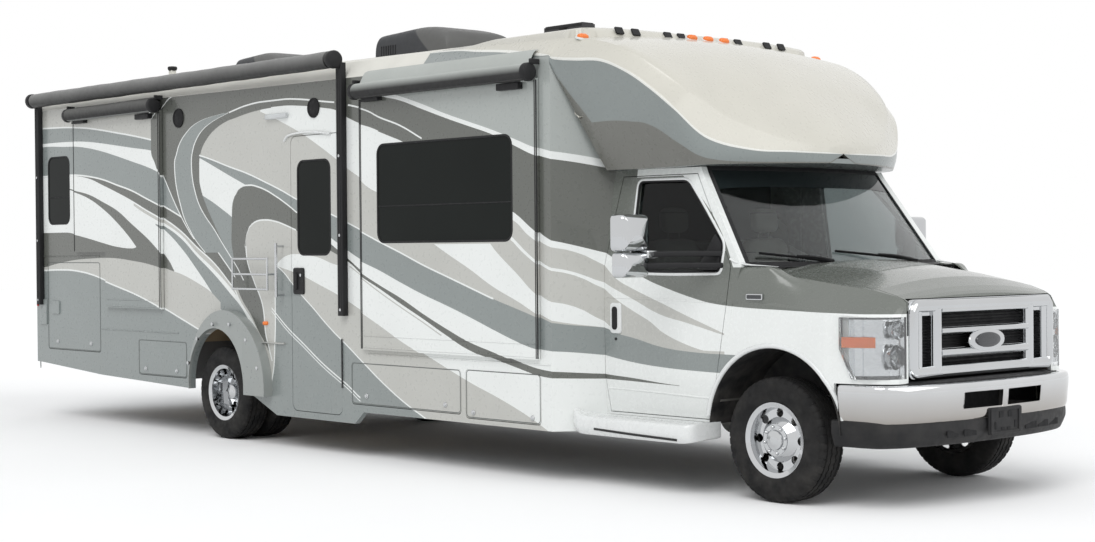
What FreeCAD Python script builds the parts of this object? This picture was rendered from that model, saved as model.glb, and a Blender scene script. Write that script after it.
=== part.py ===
"""Motorhome on a cutaway van chassis, as a parametric assembly in millimetres.

+X points forward, +Y to the driver's left and +Z up. The origin is on the ground, halfway along the
vehicle and on its centre line. Every driving size stands once, in the sheet called Sizes.
"""
import FreeCAD, Part
import math
import os
import re
import Sketcher
from FreeCAD import Placement, Rotation, Vector

os.makedirs("parts", exist_ok=True)
doc = FreeCAD.newDocument("Motorhome")

# ---------------------------------------------------------------- driving sizes
# Each row: name, value in mm (degrees for a turn, plain for a count).
SIZES = [
    # wheels and axles
    ("front_axle_x", 3890), ("wheelbase", 5588), ("tyre_radius", 372), ("tyre_width", 223),
    ("rim_radius", 203), ("rim_lip_radius", 222), ("rim_thick", 9), ("hub_radius", 95),
    ("front_wheel_y", 881), ("rear_outer_wheel_y", 1136), ("dual_spacing", 262),
    ("hand_hole_radius", 26), ("hand_hole_count", 8), ("hub_drum_radius", 82),
    ("kingpin_y", 735), ("kingpin_radius", 28), ("kingpin_half", 110), ("ear_thick", 30),
    ("axle_radius", 62),
    ("diff_radius", 200), ("spring_width", 75), ("spring_y", 560), ("spring_half", 700),
    # frame rails
    ("rail_inner_y", 365), ("rail_width", 65), ("rail_height", 180), ("rail_top", 765),
    ("rail_front_height", 130), ("rail_rear_x", -4640),
    ("rail_step_x", 1990), ("rail_slope", 350), ("rail_front_x", 4560), ("crossmember", 90),
    ("receiver_bore", 51), ("receiver_wall", 6), ("receiver_length", 300), ("receiver_z", 500),
    # powertrain and tanks
    ("engine_rear_x", 3450), ("engine_length", 640), ("engine_half", 260), ("engine_bottom", 480),
    ("engine_height", 600), ("gearbox_length", 760), ("gearbox_radius", 150), ("shaft_radius", 45),
    ("tank_height", 260), ("post_half", 30), ("post_y", 300), ("post_top", 900),
    # coach walls
    ("coach_rear_x", -4810), ("wall_front_x", 2290), ("half_width", 1290), ("wall_thick", 45),
    ("wall_top_rear", 2815), ("wall_top_front", 2745), ("skirt_rear_z", 504), ("skirt_mid_x", -3590),
    ("skirt_mid_z", 432), ("skirt_arch_z", 388), ("skirt_front_z", 335), ("door_dip_z", 246),
    ("door_dip_rear_x", -860), ("door_dip_front_x", 150), ("arch_offset", 38), ("arch_radius", 452),
    ("arch_centre_z", 443), ("floor_top", 805), ("floor_thick", 40), ("well_radius", 425),
    ("well_width", 640), ("locker_sheet", 8), ("tall_locker_depth", 440),
    ("low_locker_depth", 620), ("well_sheet", 12), ("fit_gap", 5), ("seat_gap", 0.3),
    # roof and front cap sections
    ("shoulder_half", 1195), ("shoulder_rise", 125), ("crown_rise", 265), ("roof_thick", 45),
    ("cap_rear_x", 950), ("cap_thick", 40), ("cab_top_z", 2010),
    # slide-out rooms on the right side
    ("slide_wall", 30), ("flange_thick", 25), ("flange_lap", 22), ("slide_depth", 620),
    ("front_slide_rear_x", 305), ("front_slide_front_x", 2160), ("front_slide_low", 815),
    ("front_slide_top", 2590), ("rear_slide_rear_x", -4000), ("rear_slide_step_x", -3441),
    ("rear_slide_front_x", -2540), ("rear_slide_low", 1050), ("rear_slide_step_z", 1531),
    ("rear_slide_top", 2670), ("topper_radius", 52), ("topper_y", 1372), ("topper_over", 30),
    # windows and doors of the coach
    ("window_corner", 70), ("glass_thick", 6), ("big_window_rear_x", 484),
    ("big_window_front_x", 1948), ("big_window_low", 1562), ("big_window_top", 2262),
    ("small_window_rear_x", -4562), ("small_window_front_x", -4155), ("small_window_low", 1766),
    ("small_window_top", 2378), ("entry_rear_x", -640), ("entry_front_x", 0), ("entry_low", 300),
    ("entry_top", 2373), ("door_gap", 5), ("door_corner", 60), ("entry_glass_rear_x", -557),
    ("entry_glass_front_x", -129), ("entry_glass_low", 1476), ("entry_glass_top", 2188),
    ("hatch_thick", 24), ("hatch_corner", 30), ("rear_window_half", 600),
    # overcab and cab
    ("cab_rear_x", 2390), ("door_rear_x", 2490), ("cab_half", 1008), ("sill_z", 465),
    ("belt_z", 1400), ("cab_skin", 50), ("cowl_x", 3640), ("nose_x", 4610), ("hood_skin", 22),
    ("front_arch_radius", 505), ("front_arch_z", 418), ("cab_floor_top", 600), ("cab_floor_thick", 30), ("cab_floor_half", 942.7),
    ("firewall_x", 3380), ("firewall_thick", 40), ("windshield_thick", 8),
    # front end
    ("grille_half", 725), ("grille_low", 752), ("grille_top", 1205), ("grille_depth", 60),
    ("grille_mesh", 12), ("lamp_low", 757), ("lamp_top", 1108), ("lamp_thick", 70),
    ("bumper_low", 500), ("bumper_top", 725), ("bumper_thick", 30), ("bumper_front_x", 4830), ("bumper_lip", 115),
    ("bumper_lip_thick", 10),
    ("bumper_slot_low", 570), ("bumper_slot_top", 665), ("bumper_slot_half", 390),
    ("slot_post_half", 32), ("valance_low", 372), ("plate_half", 170), ("plate_low", 352),
    ("plate_top", 560), ("plate_thick", 10), ("plate_hole_radius", 3.5), ("plate_hole_spacing", 177.8),
    ("plate_hole_z", 480),
    # mirrors, boards and mouldings
    ("mirror_x", 3120), ("mirror_y", 1395), ("mirror_half_width", 120), ("mirror_depth", 130),
    ("mirror_low", 1330), ("mirror_top", 1715), ("mirror_arm", 34), ("mirror_split", 1488), ("mirror_round", 24), ("board_rear_x", 2350),
    ("board_front_x", 3432), ("board_top", 445), ("board_low", 330), ("board_inner", 930),
    ("board_outer", 1240), ("flare_radius", 600), ("flare_offset", 178), ("flare_out", 80),
    ("flare_rear_out", 22),
    # awning and roof equipment
    ("awning_radius", 68), ("awning_y", 1375), ("awning_z", 2900), ("arm_rear_x", -4725),
    ("arm_front_x", 15), ("arm_width", 70), ("arm_depth", 50), ("arm_low", 1030),
    ("cooler_rear_x", -820), ("cooler_length", 900), ("cooler_half", 350), ("cooler_height", 215),
    ("tail_lamp_radius", 55), ("rack_reach", 70), ("rack_bar", 9),
    # cab interior
    ("seat_x", 2560), ("seat_y", 450), ("seat_width", 520), ("seat_depth", 500),
    ("steering_radius", 195), ("steering_foot_x", 3180), ("steering_y", 420), ("steering_foot_z", 1150),
    ("steering_tilt", 62), ("column_length", 240),
]

sheet = doc.addObject("Spreadsheet::Sheet", "Sizes")
for row, (alias, value) in enumerate(SIZES, start=1):
    sheet.set("A%d" % row, alias)
    sheet.set("B%d" % row, str(value))
    sheet.setAlias("B%d" % row, alias)
doc.recompute()
NAMES = {alias for alias, value in SIZES}


def bound(text):
    """An expression on the sheet, from one that names its sizes plainly."""
    return re.sub(r"[a-z_]+", lambda m: "Sizes." + m.group(0) if m.group(0) in NAMES else m.group(0), text)


def mm(text):
    """The value that an expression has now."""
    return float(sheet.evalExpression(bound(str(text))))


# ---------------------------------------------------------------- helpers
def place(item, corner, axis=None, angle=0):
    """Bind an object's place to expressions and give it a fixed turn."""
    if axis:
        item.Placement = Placement(Vector(), Rotation(Vector(*axis), angle))
    for letter, text in zip("xyz", corner):
        item.setExpression("Placement.Base." + letter, bound(text))
    return item


def box(name, corner, size):
    """A block from its lowest corner and its three sizes."""
    item = doc.addObject("Part::Box", name)
    for prop, text in zip(("Length", "Width", "Height"), size):
        item.setExpression(prop, bound(text))
    return place(item, corner)


def block(name, x, y, z):
    """A block from its (low, high) pairs along each axis."""
    corner = [pair[0] for pair in (x, y, z)]
    size = ["(%s) - (%s)" % (pair[1], pair[0]) for pair in (x, y, z)]
    return box(name, corner, size)


TURNS = {"x": ((0, 1, 0), 90), "y": ((1, 0, 0), -90), "z": ((0, 0, 1), 0)}


def rod(name, start, radius, length, along):
    """A cylinder that starts at a point and runs along an axis."""
    item = doc.addObject("Part::Cylinder", name)
    item.setExpression("Radius", bound(radius))
    item.setExpression("Height", bound(length))
    return place(item, start, *TURNS[along])


def fuse(name, pieces):
    item = doc.addObject("Part::MultiFuse", name)
    item.Shapes = pieces
    return item


def cut(name, base, tools):
    item = doc.addObject("Part::Cut", name)
    item.Base = base
    item.Tool = tools[0] if len(tools) == 1 else fuse(name + "Tools", tools)
    return item


def common(name, first, second):
    item = doc.addObject("Part::MultiCommon", name)
    item.Shapes = [first, second]
    return item


def mirrored(name, source):
    """The same piece on the other side of the centre line."""
    item = doc.addObject("Part::Mirroring", name)
    item.Source = source
    item.Normal = Vector(0, 1, 0)
    return item


def pair(name, source):
    """A piece and its mirror image, as two solids of one part."""
    item = doc.addObject("Part::Compound", name)
    item.Links = [source, mirrored(name + "Other", source)]
    return item


def together(name, pieces):
    item = doc.addObject("Part::Compound", name)
    item.Links = pieces
    return item


def sketch_on(body, role, name):
    sketch = body.newObject("Sketcher::SketchObject", name)
    plane = [item for item in body.Origin.OriginFeatures if item.Role == role][0]
    sketch.AttachmentSupport = [(plane, "")]
    sketch.MapMode = "FlatFace"
    return sketch


def pin_down(sketch, kind, geometry, text):
    """Hold the start of one edge at a distance that follows the sheet."""
    index = sketch.addConstraint(Sketcher.Constraint(kind, -1, 1, geometry, 1, mm(text)))
    sketch.setExpression("Constraints[%d]" % index, bound(text))


def draw_outline(sketch, points):
    """A closed polygon whose corners are held by expressions."""
    first, count = sketch.GeometryCount, len(points)
    spots = [Vector(mm(u), mm(v), 0) for u, v in points]
    for i in range(count):
        sketch.addGeometry(Part.LineSegment(spots[i], spots[(i + 1) % count]))
    for i in range(count):
        follower = first + (i + 1) % count
        sketch.addConstraint(Sketcher.Constraint("Coincident", first + i, 2, follower, 1))
    for i, (u, v) in enumerate(points):
        pin_down(sketch, "DistanceX", first + i, u)
        pin_down(sketch, "DistanceY", first + i, v)


def draw_window(sketch, u_low, u_high, v_low, v_high, corner):
    """A rectangle with round corners, as four lines and four tangent arcs."""
    first, radius = sketch.GeometryCount, mm(corner)
    a, b, c, d = mm(u_low), mm(u_high), mm(v_low), mm(v_high)
    lines = [((a + radius, c), (b - radius, c)), ((b, c + radius), (b, d - radius)),
             ((b - radius, d), (a + radius, d)), ((a, d - radius), (a, c + radius))]
    centres = [(b - radius, c + radius), (b - radius, d - radius),
               (a + radius, d - radius), (a + radius, c + radius)]
    for i in range(4):
        (u0, v0), (u1, v1) = lines[i]
        sketch.addGeometry(Part.LineSegment(Vector(u0, v0, 0), Vector(u1, v1, 0)))
        circle = Part.Circle(Vector(centres[i][0], centres[i][1], 0), Vector(0, 0, 1), radius)
        start = (i - 1) * math.pi / 2
        sketch.addGeometry(Part.ArcOfCircle(circle, start, start + math.pi / 2))
    for i in range(8):
        sketch.addConstraint(Sketcher.Constraint("Tangent", first + i, 2, first + (i + 1) % 8, 1))
    for line in (0, 4):
        sketch.addConstraint(Sketcher.Constraint("Horizontal", first + line))
    for line in (2, 6):
        sketch.addConstraint(Sketcher.Constraint("Vertical", first + line))
    for arc in (3, 5, 7):
        sketch.addConstraint(Sketcher.Constraint("Equal", first + 1, first + arc))
    index = sketch.addConstraint(Sketcher.Constraint("Radius", first + 1, radius))
    sketch.setExpression("Constraints[%d]" % index, bound(corner))
    pin_down(sketch, "DistanceX", first + 6, u_low)
    pin_down(sketch, "DistanceX", first + 2, u_high)
    pin_down(sketch, "DistanceY", first, v_low)
    pin_down(sketch, "DistanceY", first + 4, v_high)


PLANES = {"XZ": "XZ_Plane", "YZ": "YZ_Plane", "XY": "XY_Plane"}
NORMALS = {"XZ": "y", "YZ": "x", "XY": "z"}


def panel(name, plane, start, thick, outline=None, windows=(), frame=None):
    """A padded plate. It starts at a place on the plane's axis and grows to +X, +Y or +Z.

    The outline is a polygon, or frame is a round-cornered rectangle; windows are cut through it.
    """
    body = doc.addObject("PartDesign::Body", name)
    sketch = sketch_on(body, PLANES[plane], name + "Sketch")
    if outline:
        draw_outline(sketch, outline)
    if frame:
        draw_window(sketch, *frame)
    for window in windows:
        draw_window(sketch, *window)
    pad = body.newObject("PartDesign::Pad", name + "Pad")
    pad.Profile = sketch
    pad.setExpression("Length", bound(thick))
    pad.Reversed = plane == "XZ"
    body.setExpression("Placement.Base." + NORMALS[plane], bound(start))
    return body


def turned(name, profile, angle=360):
    """A solid of revolution about the Y axis, from a profile of (y, radius) pairs."""
    body = doc.addObject("PartDesign::Body", name)
    sketch = sketch_on(body, "YZ_Plane", name + "Sketch")
    draw_outline(sketch, profile)
    spin = body.newObject("PartDesign::Revolution", name + "Turn")
    spin.Profile = sketch
    spin.ReferenceAxis = (sketch, ["H_Axis"])
    spin.Angle = angle
    return body


def feature(name, shape):
    """A part whose shape is worked out by code from the sheet's sizes."""
    item = doc.addObject("Part::Feature", name)
    item.Shape = shape
    return item


def loft(wires):
    """A solid with straight rulings through closed sections, its faces pointing outwards."""
    solid = Part.makeLoft(wires, True, True)
    if solid.Volume < 0:
        solid.reverse()
    return solid


def crowned(x, half_low, low, half_side, side, half_top, shoulder, top):
    """A cross-section at x: a flat bottom, leaning sides, shoulders and an arched top."""
    spots = [Vector(x, -half_low, low), Vector(x, -half_side, side), Vector(x, -half_top, shoulder),
             Vector(x, half_top, shoulder), Vector(x, half_side, side), Vector(x, half_low, low)]
    edges = [Part.LineSegment(spots[0], spots[1]).toShape(), Part.LineSegment(spots[1], spots[2]).toShape(),
             Part.Arc(spots[2], Vector(x, 0, top), spots[3]).toShape(),
             Part.LineSegment(spots[3], spots[4]).toShape(), Part.LineSegment(spots[4], spots[5]).toShape(),
             Part.LineSegment(spots[5], spots[0]).toShape()]
    return Part.Wire(edges)


def prism(points, axis, low, high):
    """A straight block from a polygon of pairs and its reach along the third axis."""
    order = {"x": lambda p: Vector(low, p[0], p[1]), "y": lambda p: Vector(p[0], low, p[1]),
             "z": lambda p: Vector(p[0], p[1], low)}[axis]
    spots = [order(point) for point in points]
    face = Part.Face(Part.makePolygon(spots + spots[:1]))
    reach = {"x": Vector(1, 0, 0), "y": Vector(0, 1, 0), "z": Vector(0, 0, 1)}[axis]
    return face.extrude(reach * (high - low))


parts = {}


def finish(label, item):
    """Name a sub-part: the label is also its file's name."""
    item.Label = label
    parts[label] = item
    return item


# ---------------------------------------------------------------- wheels
REAR_AXLE = "front_axle_x - wheelbase"
tyre_profile = [("-tyre_width * 0.42", "rim_radius + 1"), ("-tyre_width * 0.5", "rim_radius + 55"),
                ("-tyre_width * 0.5", "rim_radius + 100"), ("-tyre_width * 0.43", "tyre_radius - 22"),
                ("-tyre_width * 0.3", "tyre_radius"), ("tyre_width * 0.3", "tyre_radius"),
                ("tyre_width * 0.43", "tyre_radius - 22"), ("tyre_width * 0.5", "rim_radius + 100"),
                ("tyre_width * 0.5", "rim_radius + 55"), ("tyre_width * 0.42", "rim_radius + 1")]


def rim_profile(face, hub_face):
    """A rim's section: barrel, outer lip, disc at a given face and a raised hub."""
    edge = "tyre_width * 0.42"
    return [("-" + edge, "rim_radius - rim_thick"), (face, "rim_radius - rim_thick"),
            (face, "hub_radius + 20"), (hub_face, "hub_radius"), (hub_face, "1"),
            ("%s + 2 * rim_thick" % hub_face, "1"), ("%s + 2 * rim_thick" % hub_face, "hub_radius"),
            ("%s + rim_thick" % face, "hub_radius + 40"),
            ("%s + rim_thick" % face, "rim_radius - rim_thick - 12"),
            (edge, "rim_radius - rim_thick"), (edge + " + 12", "rim_lip_radius"),
            (edge + " + 6", "rim_lip_radius"), (edge, "rim_radius + 1"), ("-" + edge, "rim_radius + 1"),
            ("-%s - 6" % edge, "rim_lip_radius"), ("-%s - 12" % edge, "rim_lip_radius")]


def tyre(name, y, x, outward):
    body = turned(name, tyre_profile)
    return place(body, (x, y, "tyre_radius"), (0, 0, 1), 180 if outward < 0 else 0)


def rim(name, y, x, outward, face, hub_face):
    """A wheel with a ring of round hand holes through its disc."""
    body = turned(name, rim_profile(face, hub_face))
    sketch = sketch_on(body, "XZ_Plane", name + "HoleSketch")
    sketch.addGeometry(Part.Circle(Vector(0, mm("rim_radius * 0.6 + hub_radius * 0.4"), 0), Vector(0, 0, 1),
                                   mm("hand_hole_radius")))
    sketch.addConstraint(Sketcher.Constraint("PointOnObject", 0, 3, -2))
    index = sketch.addConstraint(Sketcher.Constraint("DistanceY", -1, 1, 0, 3, mm("rim_radius * 0.6 + hub_radius * 0.4")))
    sketch.setExpression("Constraints[%d]" % index, bound("rim_radius * 0.6 + hub_radius * 0.4"))
    index = sketch.addConstraint(Sketcher.Constraint("Radius", 0, mm("hand_hole_radius")))
    sketch.setExpression("Constraints[%d]" % index, bound("hand_hole_radius"))
    doc.recompute()
    pocket = body.newObject("PartDesign::Pocket", name + "Hole")
    pocket.Profile = sketch
    pocket.Type = "ThroughAll"
    pocket.Reversed = False
    pocket.SideType = "Symmetric"
    ring = body.newObject("PartDesign::PolarPattern", name + "Holes")
    ring.Originals = [pocket]
    ring.Axis = (sketch, ["N_Axis"])
    ring.Angle = 360
    ring.setExpression("Occurrences", bound("hand_hole_count"))
    body.Tip = ring
    return place(body, (x, y, "tyre_radius"), (0, 0, 1), 180 if outward < 0 else 0)


for side, sign in (("right", -1), ("left", 1)):
    middle = "%d * front_wheel_y" % sign
    finish("front_tyre_" + side, tyre("FrontTyre" + side, middle, "front_axle_x", sign))
    finish("front_wheel_" + side, rim("FrontWheel" + side, middle, "front_axle_x", sign,
                                      "tyre_width * 0.18", "tyre_width * 0.32"))
    outer = "%d * rear_outer_wheel_y" % sign
    inner = "%d * (rear_outer_wheel_y - dual_spacing)" % sign
    finish("rear_tyres_" + side, together("RearTyres" + side, [
        tyre("RearOuterTyre" + side, outer, REAR_AXLE, sign),
        tyre("RearInnerTyre" + side, inner, REAR_AXLE, sign)]))
    # The outer dual is dished inwards and the inner one outwards, so their discs face each other
    # across the hub's drum.
    drum_low, drum_high = sorted(("%s - %d * tyre_width * 0.3" % (outer, sign), "%s + %d * tyre_width * 0.3" % (inner, sign)),
                                 key=mm)
    drum = rod("HubDrum" + side, (REAR_AXLE, drum_low + " - 2", "tyre_radius"), "hub_drum_radius",
               "(%s) - (%s) + 4" % (drum_high, drum_low), "y")
    finish("rear_wheels_" + side, fuse("RearWheels" + side, [
        rim("RearOuterWheel" + side, outer, REAR_AXLE, sign, "-tyre_width * 0.36", "-tyre_width * 0.3"),
        rim("RearInnerWheel" + side, inner, REAR_AXLE, -sign, "-tyre_width * 0.36", "-tyre_width * 0.3"), drum]))

# ---------------------------------------------------------------- knuckles and axles
for side, sign in (("right", -1), ("left", 1)):
    pin_low, pin_high = "tyre_radius - kingpin_half", "tyre_radius + kingpin_half"
    post = rod("KnucklePost" + side, ("front_axle_x", "%d * kingpin_y" % sign, pin_low), "kingpin_radius + 18",
               "(%s) - (%s)" % (pin_high, pin_low), "z")
    reach = "front_wheel_y + tyre_width * 0.32 - seat_gap - kingpin_y"
    start = "kingpin_y" if sign > 0 else "-kingpin_y - (%s)" % reach
    spindle = rod("Spindle" + side, ("front_axle_x", start, "tyre_radius"), "kingpin_radius", reach, "y")
    arm = block("SteeringArm" + side, ("front_axle_x - 170", "front_axle_x"),
                ("%d * kingpin_y - 14" % sign, "%d * kingpin_y + 14" % sign),
                ("tyre_radius - 100", "tyre_radius - 72"))
    finish("knuckle_" + side, fuse("Knuckle" + side, [post, spindle, arm]))

RAIL_FRONT_TOP = "(cab_floor_top - cab_floor_thick - seat_gap)"
beam = block("AxleBeam", ("front_axle_x - 45", "front_axle_x + 45"),
             ("-kingpin_y + kingpin_radius + 24", "kingpin_y - kingpin_radius - 24"),
             ("tyre_radius - 70", "tyre_radius + 40"))
ears = []
EAR_LEVELS = ("tyre_radius - kingpin_half - seat_gap - ear_thick", "tyre_radius + kingpin_half + seat_gap")
for sign in (-1, 1):
    for level in EAR_LEVELS:
        ears.append(rod("AxleEar", ("front_axle_x", "%d * kingpin_y" % sign, level), "kingpin_radius + 18",
                        "ear_thick", "z"))
    inner = "%d * (kingpin_y - kingpin_radius - 62)" % sign
    ears.append(block("AxleYoke", ("front_axle_x - 30", "front_axle_x + 30"),
                      ("%s - 36" % inner, "%s + 36" % inner), (EAR_LEVELS[0], EAR_LEVELS[1] + " + ear_thick")))
    for level in EAR_LEVELS:
        low = "kingpin_y - kingpin_radius - 60" if sign > 0 else "-kingpin_y"
        high = "kingpin_y" if sign > 0 else "-kingpin_y + kingpin_radius + 60"
        ears.append(block("AxleEarPlate", ("front_axle_x - 30", "front_axle_x + 30"), (low, high),
                          (level, level + " + ear_thick")))
coils = [rod("FrontSpring", ("front_axle_x", "%d * (rail_inner_y + rail_width / 2)" % sign, "tyre_radius + 40"),
             "60", "%s - rail_front_height - seat_gap - tyre_radius - 40" % RAIL_FRONT_TOP, "z") for sign in (-1, 1)]
finish("front_axle", fuse("FrontAxle", [beam] + ears + coils))

TUBE_END = "(rear_outer_wheel_y - dual_spacing + tyre_width * 0.3 - 2 * rim_thick - seat_gap)"
housing = rod("AxleTube", (REAR_AXLE, "-" + TUBE_END, "tyre_radius"), "axle_radius", "2 * " + TUBE_END, "y")
differential = doc.addObject("Part::Sphere", "Differential")
differential.setExpression("Radius", bound("diff_radius"))
place(differential, (REAR_AXLE, "0", "tyre_radius"))
leaves = [block("LeafSpring", (REAR_AXLE + " - spring_half", REAR_AXLE + " + spring_half"),
                ("%d * spring_y - spring_width / 2" % sign, "%d * spring_y + spring_width / 2" % sign),
                ("tyre_radius + axle_radius - 12", "tyre_radius + axle_radius + 48")) for sign in (-1, 1)]
hangers = []
for sign in (-1, 1):
    for end in (" - spring_half", " + spring_half - 70"):
        low = "rail_inner_y" if sign > 0 else "-spring_y - spring_width / 2"
        high = "spring_y + spring_width / 2" if sign > 0 else "-rail_inner_y"
        hangers.append(block("Hanger", (REAR_AXLE + end, REAR_AXLE + end + " + 70"), (low, high),
                             ("tyre_radius + axle_radius + 40", "rail_top - rail_height")))
finish("rear_axle", fuse("RearAxle", [housing, differential] + leaves + hangers))

# ---------------------------------------------------------------- chassis frame
rail_side = [("rail_rear_x", "rail_top - rail_height"), ("rail_step_x", "rail_top - rail_height"),
             ("rail_step_x + rail_slope", RAIL_FRONT_TOP + " - rail_front_height"),
             ("rail_front_x", RAIL_FRONT_TOP + " - rail_front_height"), ("rail_front_x", RAIL_FRONT_TOP),
             ("rail_step_x + rail_slope", RAIL_FRONT_TOP), ("rail_step_x", "rail_top"),
             ("rail_rear_x", "rail_top")]
rails = [panel("RailRight", "XZ", "-rail_inner_y - rail_width", "rail_width", rail_side),
         panel("RailLeft", "XZ", "rail_inner_y", "rail_width", rail_side)]
for x in ("rail_rear_x", "-3000", "-900", "600", "1880"):
    rails.append(block("Crossmember", (x, x + " + crossmember"), ("-rail_inner_y - 5", "rail_inner_y + 5"),
                       ("rail_top - rail_height + 20", "rail_top - 20")))
rails.append(block("FrontCrossmember", ("rail_front_x - crossmember", "rail_front_x"),
                   ("-rail_inner_y - 5", "rail_inner_y + 5"),
                   (RAIL_FRONT_TOP + " - rail_front_height", RAIL_FRONT_TOP)))
receiver_half = "receiver_bore / 2 + receiver_wall"
receiver = cut("Receiver", block("ReceiverTube", ("rail_rear_x - 60", "rail_rear_x - 60 + receiver_length"),
                                 ("-(%s)" % receiver_half, receiver_half),
                                 ("receiver_z - (%s)" % receiver_half, "receiver_z + " + receiver_half)),
               [block("ReceiverBore", ("rail_rear_x - 61", "rail_rear_x - 59 + receiver_length"),
                      ("-receiver_bore / 2", "receiver_bore / 2"),
                      ("receiver_z - receiver_bore / 2", "receiver_z + receiver_bore / 2"))])
hitch_bar = block("HitchBar", ("rail_rear_x", "rail_rear_x + crossmember"),
                  ("-rail_inner_y - rail_width", "rail_inner_y + rail_width"),
                  ("receiver_z + " + receiver_half, "rail_top - rail_height"))
bumper_arms, radiator_posts = [], []
for sign in (-1, 1):
    middle = "%d * (rail_inner_y + rail_width / 2)" % sign
    bumper_arms.append(block("BumperArm", ("rail_front_x - 5", "bumper_front_x - 56.4"), (middle + " - 25", middle + " + 25"),
                             (RAIL_FRONT_TOP + " - 65", RAIL_FRONT_TOP + " - 2")))
    radiator_posts.append(block("RadiatorPost", ("rail_front_x - 60", "nose_x - grille_mesh - seat_gap"),
                                ("%d * post_y - post_half" % sign, "%d * post_y + post_half" % sign),
                                (RAIL_FRONT_TOP + " - 65", "post_top")))
outriggers = []
# Each row: place along the frame, reach from the middle. The rear ones stop short of the lockers.
for x, far in (("-3800", "half_width - wall_thick - tall_locker_depth - 20"),
               ("-3100", "half_width - wall_thick - tall_locker_depth - 20"),
               ("-100", "half_width - wall_thick - 60"), ("1300", "half_width - wall_thick - 60"),
               ("1900", "half_width - wall_thick - 60")):
    for low, high in (("-(%s)" % far, "-rail_inner_y - rail_width + 1"),
                      ("rail_inner_y + rail_width - 1", far)):
        outriggers.append(block("Outrigger", (x, x + " + 60"), (low, high), ("rail_top - 60", "rail_top")))
finish("chassis_frame", fuse("ChassisFrame", rails + [receiver, hitch_bar] + bumper_arms + radiator_posts + outriggers))

# ---------------------------------------------------------------- powertrain and tanks
engine = block("Engine", ("engine_rear_x", "engine_rear_x + engine_length"), ("-engine_half", "engine_half"),
               ("engine_bottom", "engine_bottom + engine_height"))
GEARBOX_Z = "cab_floor_top - cab_floor_thick - gearbox_radius - 10"
gearbox = rod("Gearbox", ("engine_rear_x - gearbox_length", "0", GEARBOX_Z), "gearbox_radius",
              "gearbox_length + 1", "x")
shaft_start = REAR_AXLE + " + diff_radius + seat_gap"
shaft = rod("PropellerShaft", (shaft_start, "0", "tyre_radius"), "shaft_radius",
            "engine_rear_x - gearbox_length + 1 - (%s)" % shaft_start, "x")
engine_mount = block("EngineMount", ("engine_rear_x + 250", "engine_rear_x + 350"),
                     ("-rail_inner_y + seat_gap", "rail_inner_y - seat_gap"), ("engine_bottom + 5", "engine_bottom + 65"))
finish("powertrain", fuse("Powertrain", [engine, gearbox, shaft, engine_mount]))
tanks = []
# Each row: rear end, front end, inner side, outer side, along the frame and across it.
for rear, front, low, high in ((-3500, -2970, -1150, -440), (-3370, -2430, 440, 1150),
                               (-820, 180, 440, 1120), (1390, 1980, 440, 1120)):
    tanks.append(block("Tank", (str(rear), str(front)), (str(low), str(high)),
                       ("rail_top - 60 - tank_height", "rail_top - 60")))
finish("tanks", together("Tanks", tanks))

# ---------------------------------------------------------------- coach walls
FLOOR_LOW = "floor_top - floor_thick"
INNER = "half_width - wall_thick"
WALL_REAR = "coach_rear_x + wall_thick"
wall_side = [(WALL_REAR, "skirt_rear_z"), ("skirt_mid_x", "skirt_mid_z"),
             ("%s + arch_offset - arch_radius" % REAR_AXLE, "skirt_arch_z"),
             ("%s + arch_offset - arch_radius" % REAR_AXLE, "arch_centre_z"),
             ("%s + arch_offset + arch_radius" % REAR_AXLE, "arch_centre_z"),
             ("%s + arch_offset + arch_radius" % REAR_AXLE, "skirt_arch_z")]
wall_front = [("wall_front_x", "skirt_front_z"), ("wall_front_x", "wall_top_front"),
              (WALL_REAR, "wall_top_rear")]
door_dip = [("door_dip_rear_x", "door_dip_z"), ("door_dip_front_x", "door_dip_z"),
            ("door_dip_front_x + 110", "skirt_front_z")]
# Doors in the skirt. Each row: name, rear end, front end, low edge, top edge.
HATCHES_RIGHT = [("bedroom", -4586, -3612, 631, 1423), ("rear", -2948, -2174, 470, 766),
                 ("middle", 120, 1366, 392, 695), ("front", 1423, 2179, 371, 700)]
HATCHES_LEFT = [("rear", -4400, -3400, 560, 1180), ("middle", 200, 1366, 392, 695)]


def opening(rear, front, low, top, corner):
    """A hole in the wall, a door gap larger all round."""
    return ("%s - door_gap" % rear, "%s + door_gap" % front, "%s - door_gap" % low, "%s + door_gap" % top, corner)


def hatch_hole(row):
    """The hatch's hole: its top edge, where the hinge is, stays a seat gap away."""
    name, rear, front, low, top = row
    return ("%d - door_gap" % rear, "%d + door_gap" % front, "%d - door_gap" % low, "%d + seat_gap" % top,
            "hatch_corner")


small_window = ("small_window_rear_x", "small_window_front_x", "small_window_low", "small_window_top",
                "window_corner")
big_window = ("big_window_rear_x", "big_window_front_x", "big_window_low", "big_window_top", "window_corner")
front_slide_hole = opening("front_slide_rear_x", "front_slide_front_x", "front_slide_low", "front_slide_top", "10")


def wheel_arch_tool(name, sign):
    low = "-half_width - 1" if sign < 0 else "half_width - wall_thick - 1"
    return rod(name, ("%s + arch_offset" % REAR_AXLE, low, "arch_centre_z"), "arch_radius", "wall_thick + 2", "y")


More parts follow.
